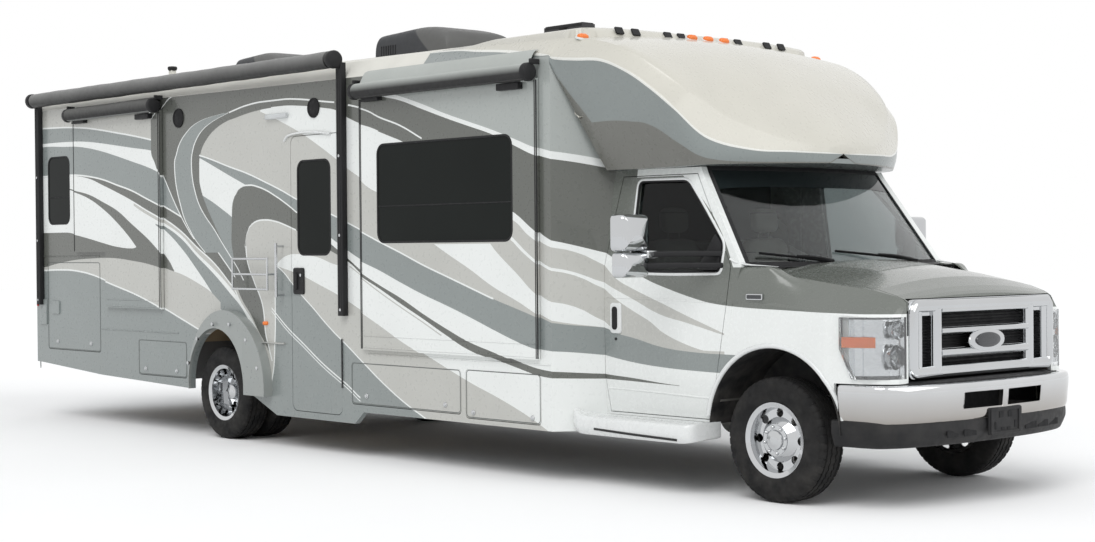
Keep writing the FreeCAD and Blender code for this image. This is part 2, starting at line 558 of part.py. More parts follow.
right_sheet = panel("WallRightSheet", "XZ", "-half_width", "wall_thick", wall_side + door_dip + wall_front,
                    [small_window, front_slide_hole] + [hatch_hole(row) for row in HATCHES_RIGHT])
rear_slide_hole = panel("RearSlideHole", "XZ", "-half_width - 1", "wall_thick + 2", [
    ("rear_slide_rear_x - door_gap", "rear_slide_step_z - door_gap"),
    ("rear_slide_step_x - door_gap", "rear_slide_step_z - door_gap"),
    ("rear_slide_step_x - door_gap", "rear_slide_low - door_gap"),
    ("rear_slide_front_x + door_gap", "rear_slide_low - door_gap"),
    ("rear_slide_front_x + door_gap", "rear_slide_top + door_gap"),
    ("rear_slide_rear_x - door_gap", "rear_slide_top + door_gap")])
entry_hole = panel("EntryHole", "XZ", "-half_width - 1", "wall_thick + 2", None, (),
                   ("entry_rear_x - door_gap", "entry_front_x + seat_gap", "entry_low - door_gap",
                   "entry_top + door_gap", "door_corner"))
finish("wall_right", cut("WallRight", right_sheet, [rear_slide_hole, entry_hole,
                                                    wheel_arch_tool("ArchRight", -1)]))
left_windows = [small_window, big_window, ("-2700", "-1700", "1560", "2260", "window_corner")]
left_sheet = panel("WallLeftSheet", "XZ", INNER, "wall_thick", wall_side + wall_front,
                   left_windows + [hatch_hole(row) for row in HATCHES_LEFT])
finish("wall_left", cut("WallLeft", left_sheet, [wheel_arch_tool("ArchLeft", 1)]))

# ---------------------------------------------------------------- roof and rear wall
side, top = mm("half_width"), mm("roof_thick")


def roof_section(x, wall_top, inset=0):
    """The roof's section over a wall top; an inset gives its inner side."""
    return crowned(x, side - inset, wall_top - inset, side - inset, wall_top + 2,
                   mm("shoulder_half") - inset, wall_top + mm("shoulder_rise") - inset,
                   wall_top + mm("crown_rise") - inset)


def wall_top_at(x):
    """The height of the coach walls, which fall a little from rear to front."""
    share = (x - mm(WALL_REAR)) / (mm("wall_front_x") - mm(WALL_REAR))
    return mm("wall_top_rear") + share * (mm("wall_top_front") - mm("wall_top_rear"))


def roof_shell(x_rear, x_front):
    ends = (x_rear, x_front)
    outer = loft([roof_section(x, wall_top_at(x)) for x in ends])
    inner = loft([roof_section(x + step, wall_top_at(x), top) for x, step in zip(ends, (-1, 1))])
    return outer.cut(inner)


finish("roof", feature("Roof", roof_shell(mm(WALL_REAR), mm("cap_rear_x"))))
rear_edge, rear_top = mm("coach_rear_x"), mm("wall_top_rear")
rear_face = crowned(rear_edge, side, mm("skirt_rear_z"), side, rear_top, mm("shoulder_half"),
                    rear_top + mm("shoulder_rise"), rear_top + mm("crown_rise"))
rear_wall = Part.Face(rear_face).extrude(Vector(mm("wall_thick"), 0, 0))
rear_light = panel("RearWindowHole", "YZ", "coach_rear_x - 1", "wall_thick + 2", None, (),
                   ("-rear_window_half", "rear_window_half", "small_window_low", "small_window_top", "window_corner"))
finish("wall_rear", cut("WallRear", feature("RearWallSheet", rear_wall), [rear_light]))

# ---------------------------------------------------------------- coach floor with wheel wells
floor_plate = block("FloorPlate", (WALL_REAR, "wall_front_x"), ("-(%s)" % INNER, INNER), (FLOOR_LOW, "floor_top"))
well_holes, wells = [], []
for name, low, high in (("Right", "-(%s)" % INNER, "-(%s) + well_width" % INNER),
                        ("Left", "%s - well_width" % INNER, INNER)):
    reach = ("%s - well_radius" % REAR_AXLE, "%s + well_radius" % REAR_AXLE)
    well_holes.append(block("WellHole" + name, reach, (low, high), (FLOOR_LOW + " - 1", "floor_top + 1")))
    shell = block("WellBox" + name, reach, (low, high), (FLOOR_LOW, "floor_top + 110"))
    inner_low = low + " - 1" if name == "Right" else low + " + well_sheet"
    inner_high = high + " - well_sheet" if name == "Right" else high + " + 1"
    hollow = block("WellHollow" + name, ("%s + well_sheet" % reach[0], "%s - well_sheet" % reach[1]),
                   (inner_low, inner_high), (FLOOR_LOW + " - 1", "floor_top + 110 - well_sheet"))
    wells.append(cut("Well" + name, shell, [hollow]))
# The two tall lockers behind the rear axle stand up through the floor.
for low, high in (("-(%s) - 1" % INNER, "-(%s) + tall_locker_depth + fit_gap" % INNER),
                  ("%s - tall_locker_depth - fit_gap" % INNER, INNER + " + 1")):
    well_holes.append(block("LockerHole", ("-4600", "-3380"), (low, high), (FLOOR_LOW + " - 1", "floor_top + 1")))
floor_board = cut("FloorBoard", floor_plate, well_holes)
# ---------------------------------------------------------------- lockers behind the hatches
# Each row: side, rear end, front end, low edge, top edge, depth.
LOCKERS = [(-1, -4596, -3602, 621, 1433, "tall_locker_depth"), (-1, -2958, -2164, 460, 764.7, "tall_locker_depth"),
           (-1, 110, 2189, 361, 704.7, "low_locker_depth"), (1, -4410, -3390, 550, 1190, "tall_locker_depth"),
           (1, 190, 1376, 382, 704.7, "low_locker_depth")]
lockers = {-1: [], 1: []}
for hand, rear, front_end, low, high, depth in LOCKERS:
    mouth, back = "%d * (%s - seat_gap)" % (hand, INNER), "%d * (%s - %s)" % (hand, INNER, depth)
    near, far = sorted((mouth, back), key=mm)
    hollow_near = near + " - 1" if near == mouth else near + " + locker_sheet"
    hollow_far = far + " + 1" if far == mouth else far + " - locker_sheet"
    lockers[hand].append(cut(
        "Locker", block("LockerCase", (str(rear), str(front_end)), (near, far), (str(low), str(high))),
        [block("LockerHollow", ("%s + locker_sheet" % rear, "%s - locker_sheet" % front_end), (hollow_near, hollow_far),
               ("%s + locker_sheet" % low, "%s - locker_sheet" % high))]))
finish("lockers_right", together("LockersRight", lockers[-1]))
finish("lockers_left", together("LockersLeft", lockers[1]))

# Runners carry each slide-out room a seat gap under its bottom.
runners = []
for x in ("front_slide_rear_x + 200", "front_slide_front_x - 260"):
    runners.append(block("Runner", (x, x + " + 60"), ("-(%s) + 20" % INNER, "-(%s) + 560" % INNER),
                         ("floor_top - 1", "front_slide_low - seat_gap")))
for x in ("rear_slide_step_x + 100", "rear_slide_front_x - 160"):
    runners.append(block("Runner", (x, x + " + 60"), ("-(%s) + 20" % INNER, "-(%s) + 560" % INNER),
                         ("floor_top - 1", "rear_slide_low - seat_gap")))
finish("coach_floor", fuse("CoachFloor", [floor_board] + wells + runners))

# ---------------------------------------------------------------- front cap over the cab
# Each row: distance from the wall's front end to this section (x), half width and height of its
# bottom, of its crease, of its shoulder, and the height of its middle.
CAP_SECTIONS = [
    (0, 1290, 2690, 1290, 2738, 1205, 2862, 2948),
    (115, 1150, 2345, 1290, 2722, 1195, 2857, 2930),
    (230, 1010, 2010, 1280, 2712, 1175, 2845, 2905),
    (410, 1005, 2010, 1232, 2695, 1140, 2800, 2862),
    (600, 1000, 2010, 1200, 2615, 1105, 2715, 2795),
    (760, 995, 2012, 1158, 2505, 1060, 2612, 2712),
    (920, 980, 2015, 1100, 2365, 985, 2478, 2600),
    (1047, 900, 2020, 950, 2190, 850, 2325, 2480),
    (1193, 660, 2025, 700, 2115, 610, 2210, 2335),
    (1290, 400, 2030, 440, 2105, 370, 2150, 2225),
    (1340, 120, 2035, 140, 2100, 100, 2125, 2150),
]
cap_x = mm("wall_front_x")
skin = mm("cap_thick")
outer_sections = [crowned(cap_x + row[0], *row[1:]) for row in CAP_SECTIONS]
inner_sections = []
for run, half_low, low, half_side, crease, half_top, shoulder, middle in CAP_SECTIONS[:-2]:
    inner_sections.append(crowned(cap_x + run - (1 if run == 0 else 0), half_low - skin, low + skin,
                                  half_side - skin, crease, half_top - skin, shoulder - skin * 0.9, middle - skin))
# The bunk is open to the coach between the cap's sides.
bunk_mouth = Part.makeBox(270, 1800, 640, Vector(cap_x - 10, -900, 2050))
nose = loft(outer_sections).cut(loft(inner_sections)).cut(bunk_mouth)
roof_part = roof_shell(mm("cap_rear_x"), cap_x)
finish("front_cap", feature("FrontCap", nose.fuse(roof_part).removeSplitter()))

# ---------------------------------------------------------------- cab shell
# The cab's outer skin. Each row: height, rear end, front end of the door and half width there.
CAB_LEVELS = [(465, 2522, 3430, 985), (700, 2488, 3446, 1003), (1180, 2485, 3540, 1008),
              (1400, 2487, 3572, 1003), (1965, 2570, 3215, 905)]


CAB_TOP = 2009.7
# How far forward the cab's side reaches at each of those heights: past the door to the windshield.
PILLAR_LEVELS = [(465, 3480, 985), (700, 3496, 1003), (1180, 3590, 1008), (1400, 3657, 1003), (1965, 3265, 905)]


def level_plate(z, rear, front, outer, thick, sign):
    """A flat rectangle at one height, for a door's or skin's loft."""
    spots = [Vector(rear, sign * outer, z), Vector(front, sign * outer, z),
             Vector(front, sign * (outer - thick), z), Vector(rear, sign * (outer - thick), z)]
    return Part.makePolygon(spots + spots[:1])


def door_solid(sign, grow=0):
    """The door's leaning slab; grown, it is the hole that the door fills."""
    wires = []
    for index, (z, rear, front, outer) in enumerate(CAB_LEVELS):
        level = z + (-grow if index == 0 else grow if index == len(CAB_LEVELS) - 1 else 0)
        wires.append(level_plate(level, rear - grow, front + grow, outer + 2 * grow, mm("cab_skin") + 4 * grow, sign))
    return loft(wires)


def side_skin(sign):
    """The whole side of the cab, from the coach to the firewall, before its door is cut out."""
    wires = []
    for z, front, outer in [(mm("board_top + seat_gap"), 3480, 984)] + PILLAR_LEVELS + [(CAB_TOP, 3240, 898)]:
        wires.append(level_plate(z, mm("cab_rear_x"), front, outer, mm("cab_skin"), sign))
    return loft(wires)


pane_outline = [(2725, 1362), (3484, 1362), (3490, 1537), (3140, 1922), (2720, 1930)]
# The hinge edge of each door also has to clear the front wheel's arch in the fender.
arch_tool = Part.makeCylinder(mm("front_arch_radius"), 3000, Vector(mm("front_axle_x"), -1500, mm("front_arch_z")),
                              Vector(0, 1, 0))
for side_name, sign in (("right", -1), ("left", 1)):
    near, far = sorted((sign * 850, sign * 1100))
    window = prism(pane_outline, "y", near, far)
    door = door_solid(sign).cut(window).cut(arch_tool)
    # Hinge leaves reach a seat gap from the pillar. Each row: height, x of the door's edge there.
    for level, edge in ((760, 3457.8), (1090, 3522.4)):
        near_leaf = sign * 975 if sign > 0 else -1000
        leaf = Part.makeBox(14.7, 25, 40, Vector(edge - 10, near_leaf, level))
        door = door.fuse(leaf)
    finish("cab_door_" + side_name, feature("CabDoor" + side_name, door))
    lean = (1003 - 905) / (1965 - 1400)
    glass_low, glass_high = 1362, 1930
    outer_low, outer_high = 1003 - lean * (glass_low - 1400), 1003 - lean * (glass_high - 1400)
    pane = loft([level_plate(glass_low, 2700, 3520, outer_low - 22, mm("glass_thick"), sign),
                 level_plate(glass_high, 2700, 3520, outer_high - 22, mm("glass_thick"), sign)])
    finish("cab_glass_" + side_name, feature("CabGlass" + side_name, pane.common(window)))

# Outer sections of the nose. Each row: x, half width at the foot, height of the side's top, half width
# and height of the hood's edge, height of the middle.
NOSE_SECTIONS = [(3440, 1005, 1195, 905, 1380, 1452), (3900, 1006, 1165, 870, 1340, 1425),
                 (4280, 998, 1130, 830, 1285, 1370), (4490, 950, 1112, 790, 1255, 1325),
                 (4600, 890, 1106, 755, 1226, 1272), (4645, 852, 1100, 740, 1208, 1245),
                 (4668, 812, 1094, 729, 1196, 1228)]
FOOT_Z = 470


def nose_solid(inset=0):
    """The nose's outer form, or its inside, which ends short of the front so that a wall closes it."""
    sections = []
    for x, half, side_top, edge_half, edge_z, middle in NOSE_SECTIONS[:-1] if inset else NOSE_SECTIONS:
        step = -1 if x == NOSE_SECTIONS[0][0] else 0
        sections.append(crowned(x + (step if inset else 0), half - inset, FOOT_Z - (5 if inset else 0), half - inset,
                                side_top, edge_half - inset, edge_z - inset, middle - inset))
    return loft(sections)


gap = mm("fit_gap")


def hood_plan(grow, rear_grow):
    """The hood seen from above: straight sides and a rear edge that follows the windshield."""
    corner, middle = Vector(3700 - rear_grow, 873 + grow, 1000), Vector(3848 - rear_grow, 0, 1000)
    nose = Vector(4700, 728 + grow, 1000)
    rear_arc = Part.Arc(Vector(corner.x, -corner.y, corner.z), middle, corner).toShape()
    edges = [rear_arc, Part.LineSegment(corner, nose).toShape(),
             Part.LineSegment(nose, Vector(nose.x, -nose.y, nose.z)).toShape(),
             Part.LineSegment(Vector(nose.x, -nose.y, nose.z), Vector(corner.x, -corner.y, corner.z)).toShape()]
    return Part.Face(Part.Wire(edges))


skins = [side_skin(sign).cut(door_solid(sign, mm("door_gap"))).cut(arch_tool) for sign in (-1, 1)]
header = prism([(2390, 1971), (3190, 1971), (3165, CAB_TOP), (2390, CAB_TOP)], "y", -880, 880)
header = header.cut(prism([(2440, 1900), (3080, 1900), (3080, 2100), (2440, 2100)], "y", -840, 840))
cowl_side = [(3425, 1150), (3575, 1150), (3600, 1335), (3840, 1335), (3840, 1385), (3500, 1385), (3440, 1340)]
cowl = prism(cowl_side, "y", -965, 965).cut(arch_tool).cut(hood_plan(gap, gap).extrude(Vector(0, 0, 600)))
for sign in (-1, 1):
    cowl = cowl.cut(door_solid(sign, mm("door_gap")))
    # The hood's rear corner dips forward here as it opens.
    cowl = cowl.cut(Part.makeBox(140, 81, 100, Vector(3700, 800 if sign > 0 else -881, 1300)))
# Two hinge brackets stand a seat gap under the hood's rear corners.
under_hood = nose_solid(mm("hood_skin + seat_gap"))
for low in (-840, 790):
    cowl = cowl.fuse(Part.makeBox(105, 50, 160, Vector(3640, low, 1340)).common(under_hood))
finish("cab_shell", feature("CabShell", skins[0].fuse([skins[1], header, cowl])))

# ---------------------------------------------------------------- corner panels beside the cab
def corner_section(z, cab_side):
    """The corner panel's plan at one height: from the coach wall's end to the cab's side."""
    x_front, seat = mm("cab_rear_x + 95"), cab_side + mm("seat_gap")
    spots = [Vector(cap_x, -side, z), Vector(x_front, -seat, z), Vector(x_front - 62, -seat, z),
             Vector(cap_x, -side + top + 8, z)]
    return Part.makePolygon(spots + spots[:1])


corner_levels = [(mm("skirt_front_z"), 985)] + [(row[0], row[3]) for row in CAB_LEVELS] + [(CAB_TOP, 898), (2690, 898)]
cap_clear = loft(outer_sections[:3] + [crowned(cap_x + 232, 1008, 2010, 1280, 2700, 1175, 2845, 2905)])
corner_post = loft([corner_section(*level) for level in corner_levels]).cut(cap_clear)
corner_post = max(corner_post.Solids, key=lambda solid: solid.Volume)
finish("corner_panels", pair("CornerPanels", feature("CornerPanel", corner_post)))

# ---------------------------------------------------------------- windshield
def bowed(x_side, x_middle, half, z, thick):
    """A curved strip seen from above, for one height of the windshield."""
    def arc(back):
        return Part.Arc(Vector(x_side - back, -half, z), Vector(x_middle - back, 0, z), Vector(x_side - back, half, z))
    front, rear = arc(0), arc(thick)
    ends = [Part.LineSegment(Vector(x_side, half, z), Vector(x_side - thick, half, z)),
            Part.LineSegment(Vector(x_side - thick, -half, z), Vector(x_side, -half, z))]
    return Part.Wire([front.toShape(), ends[0].toShape(), rear.toShape(), ends[1].toShape()])


glass = mm("windshield_thick") * 2
pane_levels = [bowed(3655, 3800, 952.7, 1392, glass), bowed(3259, 3394, 854.6, 1965, glass),
               bowed(3228, 3363, 847.5, CAB_TOP, glass)]
finish("windshield", feature("Windshield", loft(pane_levels)))

# ---------------------------------------------------------------- hood and fenders
nose_shell = nose_solid().cut(nose_solid(mm("hood_skin")))
hood_tool = hood_plan(0, 0).extrude(Vector(0, 0, 600)).cut(Part.makeBox(2000, 2000, 140, Vector(3000, -1000, 1000)))
hood_hole = hood_plan(gap, gap).extrude(Vector(0, 0, 600)).fuse(prism(
    [(3400, -960), (3660, -960), (3702, -878), (3850, 0), (3702, 878), (3660, 960), (3400, 960)], "z", 1300, 1600))
grille_clear = Part.makeBox(200, 2 * mm("grille_half + seat_gap"), mm("grille_top + fit_gap") - 600,
                            Vector(4560, -mm("grille_half + seat_gap"), 600))
finish("hood", feature("Hood", nose_shell.common(hood_tool).cut(grille_clear)))
door_clear = [door_solid(sign, mm("door_gap")) for sign in (-1, 1)]
shell_clear = [side_skin(sign) for sign in (-1, 1)]
cowl_clear = prism([(3400, 1149), (3580, 1149), (3605, 1330), (3845, 1330), (3845, 1700), (3400, 1700)], "y", -966, 966)
bumper_clear = prism([(4340, 400), (4900, 400), (4900, 730), (4340, 730)], "y", -1100, 1100)
fenders = nose_shell.cut(hood_hole).cut(arch_tool)
for tool in door_clear + shell_clear + [cowl_clear, bumper_clear, grille_clear]:
    fenders = fenders.cut(tool)
fender_solids = sorted(fenders.Solids, key=lambda solid: -solid.Volume)[:2]
finish("front_fenders", feature("FrontFenders", Part.Compound(fender_solids)))

# ---------------------------------------------------------------- grille, lamps, bumper
grille_windows = [("-604", "-512", "800", "1110", "10"), ("512", "604", "800", "1110", "10")]
for low, high in (("796", "865"), ("917", "998"), ("1039", "1120")):
    grille_windows.append(("-425", "425", low, high, "8"))
grille_frame = panel("GrilleFrame", "YZ", "nose_x", "grille_depth", None, grille_windows,
                     ("-grille_half", "grille_half", "grille_low", "grille_top", "45"))
mesh = block("GrilleMesh", ("nose_x - grille_mesh", "nose_x + 1"), ("-grille_half + 60", "grille_half - 60"),
             ("grille_low + 20", "grille_top - 40"))
finish("grille", fuse("Grille", [grille_frame, mesh]))

# Each lamp wraps round the nose's corner, and its lower outer corner is cut off slantwise.
lamp_front = [(4668, 742), (4640, 860), (4550, 945), (4390, 1000)]
lamp_plan = lamp_front + [(4390, 960), (4500, 905), (4595, 742)]
lamp_slant = prism([(4300, 935), (4388, 935), (4482, 700), (4300, 700)], "y", -1100, 1100)
lamp_solids = []
lamp_spaces = []
for sign in (-1, 1):
    for outline, found in ((lamp_plan, lamp_solids), (lamp_front + [(4390, 1100), (4800, 1100), (4800, 742)], lamp_spaces)):
        block_of_lamp = prism([(x, sign * y) for x, y in outline], "z", mm("lamp_low"), mm("lamp_top"))
        found.append(block_of_lamp.cut(lamp_slant))
fenders_now = parts["front_fenders"]
lamp_tool = Part.Compound(lamp_solids + lamp_spaces)
fenders_now.Shape = Part.Compound([max(solid.cut(lamp_tool).Solids, key=lambda found: found.Volume)
                                   for solid in fenders_now.Shape.Solids])
finish("headlamps", feature("Headlamps", Part.Compound(lamp_solids)))

# Half the bumper's plan, from the middle to the end that wraps towards the wheel.
BUMPER_PLAN = [(0, 0), (-18, 400), (-70, 720), (-135, 880), (-230, 965), (-480, 1000)]


def bumper_wire(front, low, start, inset):
    """A wrapped strip from above: it begins some way behind the plan and has its own thickness."""
    outer = [Vector(front + x - start, max(y - start * 0.9, 0), low) for x, y in BUMPER_PLAN]
    inner = [Vector(spot.x - inset, max(spot.y - inset * 0.9, 0), low) for spot in outer]
    inner[-1].x = outer[-1].x
    half = outer + inner[::-1][:-1]
    other = [Vector(spot.x, -spot.y, spot.z) for spot in outer[1:]]
    back = [Vector(spot.x, -spot.y, spot.z) for spot in inner[1:]]
    loop = outer[::-1] + other + back[::-1] + inner
    return Part.makePolygon(loop + loop[:1])


front, thick = mm("bumper_front_x"), mm("bumper_thick")
bumper = Part.Face(bumper_wire(front, mm("bumper_low"), 0, thick)).extrude(Vector(0, 0, mm("bumper_top - bumper_low")))
# A flat lip runs back from the bumper's top edge towards the grille.
lip = Part.Face(bumper_wire(front, mm("bumper_top - bumper_lip_thick"), 0, mm("bumper_lip")))
bumper = bumper.fuse(lip.extrude(Vector(0, 0, mm("bumper_lip_thick"))))
for low, high in ((-mm("bumper_slot_half"), -mm("slot_post_half")), (mm("slot_post_half"), mm("bumper_slot_half"))):
    bumper = bumper.cut(Part.makeBox(200, high - low, mm("bumper_slot_top - bumper_slot_low"),
                                     Vector(front - 150, low, mm("bumper_slot_low"))))
finish("front_bumper", feature("FrontBumper", bumper))
valance_strip = Part.Face(bumper_wire(front, mm("valance_low"), thick + mm("seat_gap"), thick))
valance = valance_strip.extrude(Vector(0, 0, mm("bumper_low - valance_low + 4")))
plate = Part.makeBox(mm("plate_thick"), 2 * mm("plate_half"), mm("plate_top - plate_low"),
                     Vector(front, -mm("plate_half"), mm("plate_low")))
for hand in (-1, 1):
    plate = plate.cut(Part.makeCylinder(mm("plate_hole_radius"), mm("plate_thick") + 2, Vector(
        front - 1, hand * mm("plate_hole_spacing") / 2, mm("plate_hole_z")), Vector(1, 0, 0)))
foot = Part.makeBox(45, 120, 60, Vector(front - 44, -60, mm("valance_low") + 20))
finish("front_valance", feature("FrontValance", valance.fuse([plate, foot])))

# ---------------------------------------------------------------- cab interior
floor_cab = block("CabFloor", ("cab_rear_x", "firewall_x + 1"), ("-cab_floor_half", "cab_floor_half"),
                  ("cab_floor_top - cab_floor_thick", "cab_floor_top"))
firewall = block("Firewall", ("firewall_x", "firewall_x + firewall_thick"),
                 ("-cab_half + cab_skin + 25", "cab_half - cab_skin - 25"), ("cab_floor_top - cab_floor_thick", "1330"))
dash = block("Dash", ("firewall_x - 330", "firewall_x + 1"), ("-cab_half + cab_skin + 45", "cab_half - cab_skin - 45"),
             ("1030", "1310"))
COLUMN_BACK, COLUMN_UP = "sin(steering_tilt)", "cos(steering_tilt)"


def along_column(run):
    """A point some way up the steering column's axis from its foot in the dash."""
    return ("steering_foot_x - (%s) * %s" % (run, COLUMN_BACK), "steering_y",
            "steering_foot_z + (%s) * %s" % (run, COLUMN_UP))


def tilted_rod(name, run, radius, length):
    """A cylinder on the steering column's axis."""
    item = rod(name, ("0", "0", "0"), radius, length, "z")
    item.Placement = Placement(Vector(), Rotation(Vector(0, 1, 0), -mm("steering_tilt")))
    return place(item, along_column(run))


column = tilted_rod("SteeringColumn", "0", "30", "column_length")
tunnel = block("Doghouse", ("engine_rear_x - 400", "firewall_x + 1"), ("-180", "180"), ("cab_floor_top - 1", "1000"))
finish("cab_interior", fuse("CabInterior", [floor_cab, firewall, dash, column, tunnel]))
hub = tilted_rod("SteeringHub", "column_length + seat_gap", "45", "40")
wheel_ring = doc.addObject("Part::Torus", "SteeringRing")
wheel_ring.setExpression("Radius1", bound("steering_radius"))
wheel_ring.Radius2 = 15
wheel_ring.Placement = Placement(Vector(), Rotation(Vector(0, 1, 0), -mm("steering_tilt")))
ring_middle = along_column("column_length + 20")
place(wheel_ring, ring_middle)
spoke = block("SteeringSpoke", ("-10", "10"), ("-steering_radius", "steering_radius"), ("-12", "12"))
spoke.Placement = Placement(Vector(), Rotation(Vector(0, 1, 0), 90 - mm("steering_tilt")))
spoke_x = "%s - 10 * %s - 12 * %s" % (ring_middle[0], COLUMN_BACK, COLUMN_UP)
spoke_z = "%s + 10 * %s - 12 * %s" % (ring_middle[2], COLUMN_UP, COLUMN_BACK)
place(spoke, (spoke_x, "steering_y - steering_radius", spoke_z))
finish("steering_wheel", fuse("SteeringWheel", [hub, wheel_ring, spoke]))
seats = []
for sign in (-1, 1):
    low, high = "%d * seat_y - seat_width / 2" % sign, "%d * seat_y + seat_width / 2" % sign
    seats.append(fuse("Seat", [
        block("SeatBase", ("seat_x + 60", "seat_x + seat_depth - 60"), (low + " + 90", high + " - 90"), ("cab_floor_top", "860")),
        block("SeatCushion", ("seat_x", "seat_x + seat_depth"), (low, high), ("859", "1000")),
        block("SeatBack", ("seat_x - 40", "seat_x + 90"), (low, high), ("999", "1600")),
        block("HeadRest", ("seat_x - 20", "seat_x + 70"), (low + " + 130", high + " - 130"), ("1599", "1790"))]))
finish("cab_seats", together("CabSeats", seats))

# ---------------------------------------------------------------- mirrors
for side_name, sign in (("right", -1), ("left", 1)):
    low = "%d * mirror_y - mirror_half_width" % sign
    # A tall glass above and a wide-angle one below, in one rounded shell each.
    heads = []
    for name, back, rise_low, rise_top in (("MirrorUpper", "mirror_depth / 2", "mirror_split", "mirror_top"),
                                           ("MirrorLower", "mirror_depth / 2 - 12", "mirror_low", "mirror_split + 1")):
        shell = block(name + side_name, ("mirror_x - " + back, "mirror_x + mirror_depth / 2"),
                      (low, low + " + 2 * mirror_half_width"), (rise_low, rise_top))
        rounded = doc.addObject("Part::Fillet", name + "Shell" + side_name)
        rounded.Base = shell
        rounded.Edges = [(index + 1, mm("mirror_round"), mm("mirror_round")) for index in range(12)]
        heads.append(rounded)
    arms = []
    for level in (1385, 1450):
        spots = [(3491, sign * 970), (3510, sign * 970), (3510, sign * 1020), (3160, sign * 1300),
                 (3110, sign * 1300), (3491, sign * 1003)]
        arm = prism(spots, "z", level, level + mm("mirror_arm")).cut(door_solid(sign, mm("seat_gap / 2")))
        arms.append(feature("MirrorArm" + side_name, max(arm.Solids, key=lambda solid: solid.Volume)))
    finish("mirror_" + side_name, fuse("Mirror" + side_name, heads + arms))

# ---------------------------------------------------------------- boards, flares
board_plan = [("board_rear_x", "-board_outer"), ("board_front_x", "-1130"), ("board_front_x", "-board_inner"),
              ("cab_rear_x + 107", "-board_inner"), ("cab_rear_x + 107", "-cab_half - 4")]
board = panel("Board", "XY", "board_low", "board_top - board_low", board_plan)
finish("running_boards", pair("RunningBoards", board))

arch_x, flare_x = "%s + arch_offset" % REAR_AXLE, "%s + flare_offset" % REAR_AXLE
flare_disc = rod("FlareDisc", (flare_x, "-half_width - flare_out", "arch_centre_z"), "flare_radius",
                 "flare_out - seat_gap", "y")
flare_hole = rod("FlareHole", (arch_x, "-half_width - flare_out - 1", "arch_centre_z"), "arch_radius",
                 "flare_out + 2", "y")
flare_low = block("FlareLow", (arch_x + " - 900", arch_x + " + 900"), ("-half_width - flare_out - 1", "-half_width + 1"),
                  ("arch_centre_z - flare_radius - 10", "skirt_arch_z"))
flare_leg = block("FlareLeg", (arch_x + " - arch_radius", arch_x + " + arch_radius"),
                  ("-half_width - flare_out - 1", "-half_width + 1"), ("skirt_arch_z - 1", "arch_centre_z"))
# The moulding stands further out at its front than at its rear.
flare_slant = panel("FlareSlant", "XY", "0", "arch_centre_z + flare_radius + 10", [
    (flare_x + " - flare_radius - 5", "-half_width - flare_rear_out"),
    (flare_x + " + flare_radius * 0.5", "-half_width - flare_out"), (flare_x + " + flare_radius + 5", "-half_width - flare_out"),
    (flare_x + " + flare_radius + 5", "-half_width + 1"), (flare_x + " - flare_radius - 5", "-half_width + 1")])
flare_blank = common("FlareBlank", flare_disc, flare_slant)
flare = cut("Flare", flare_blank, [flare_hole, flare_low, flare_leg])
finish("wheel_flares", pair("WheelFlares", flare))

# ---------------------------------------------------------------- slide-out rooms
IN_Y = "-half_width + slide_depth"


def room(name, outline_fn, top_text):
    """An open-backed box with a flange that laps over the wall."""
    flange = panel(name + "Flange", "XZ", "-half_width - flange_thick - fit_gap", "flange_thick", outline_fn("flange_lap"))
    hull = panel(name + "Hull", "XZ", "-half_width - fit_gap - 1", "slide_depth", outline_fn("0"))
    hollow = panel(name + "Hollow", "XZ", "-half_width - fit_gap + 5", "slide_depth + 20", outline_fn("-slide_wall"))
    return flange, cut(name + "Box", hull, [hollow])


def front_outline(grow):
    rear, front = "front_slide_rear_x - (%s)" % grow, "front_slide_front_x + (%s)" % grow
    low, high = "front_slide_low - (%s)" % grow, "front_slide_top + (%s)" % grow
    return [(rear, low), (front, low), (front, high), (rear, high)]


def rear_outline(grow):
    rear, step = "rear_slide_rear_x - (%s)" % grow, "rear_slide_step_x - (%s)" % grow
    front, low = "rear_slide_front_x + (%s)" % grow, "rear_slide_low - (%s)" % grow
    shelf, high = "rear_slide_step_z - (%s)" % grow, "rear_slide_top + (%s)" % grow
    return [(rear, shelf), (step, shelf), (step, low), (front, low), (front, high), (rear, high)]


def topper(name, rear, front, level):
    """The roll of the awning over a room, on two brackets from its flange."""
    roll = rod(name + "Roll", (rear + " - topper_over", "-topper_y", level), "topper_radius",
               "(%s) - (%s) + 2 * topper_over" % (front, rear), "x")
    feet = [block(name + "Bracket", (x, x + " + 40"), ("-topper_y", "-half_width - fit_gap - 5"),
                  ("%s - 60" % level, "%s - 20" % level)) for x in (rear + " + 20", front + " - 60")]
    return [roll] + feet


flange, hull = room("FrontRoom", front_outline, "front_slide_top")
pane_hole = panel("BigPaneHole", "XZ", "-half_width - 100", "200", None, (), big_window)
shell = cut("FrontRoomShell", fuse("FrontRoomSolid", [flange, hull]), [pane_hole])
finish("slide_front", fuse("SlideFront", [shell] + topper("FrontTopper", "front_slide_rear_x", "front_slide_front_x", "front_slide_top + flange_lap + 36")))
finish("slide_front_glass", panel("SlideFrontGlass", "XZ", "-half_width - flange_thick - fit_gap + 4", "glass_thick", None, (),
                                  big_window))
flange, hull = room("RearRoom", rear_outline, "rear_slide_top")
finish("slide_rear", fuse("SlideRear", [flange, hull] + topper("RearTopper", "rear_slide_rear_x", "rear_slide_front_x", "rear_slide_top + flange_lap + 36")))

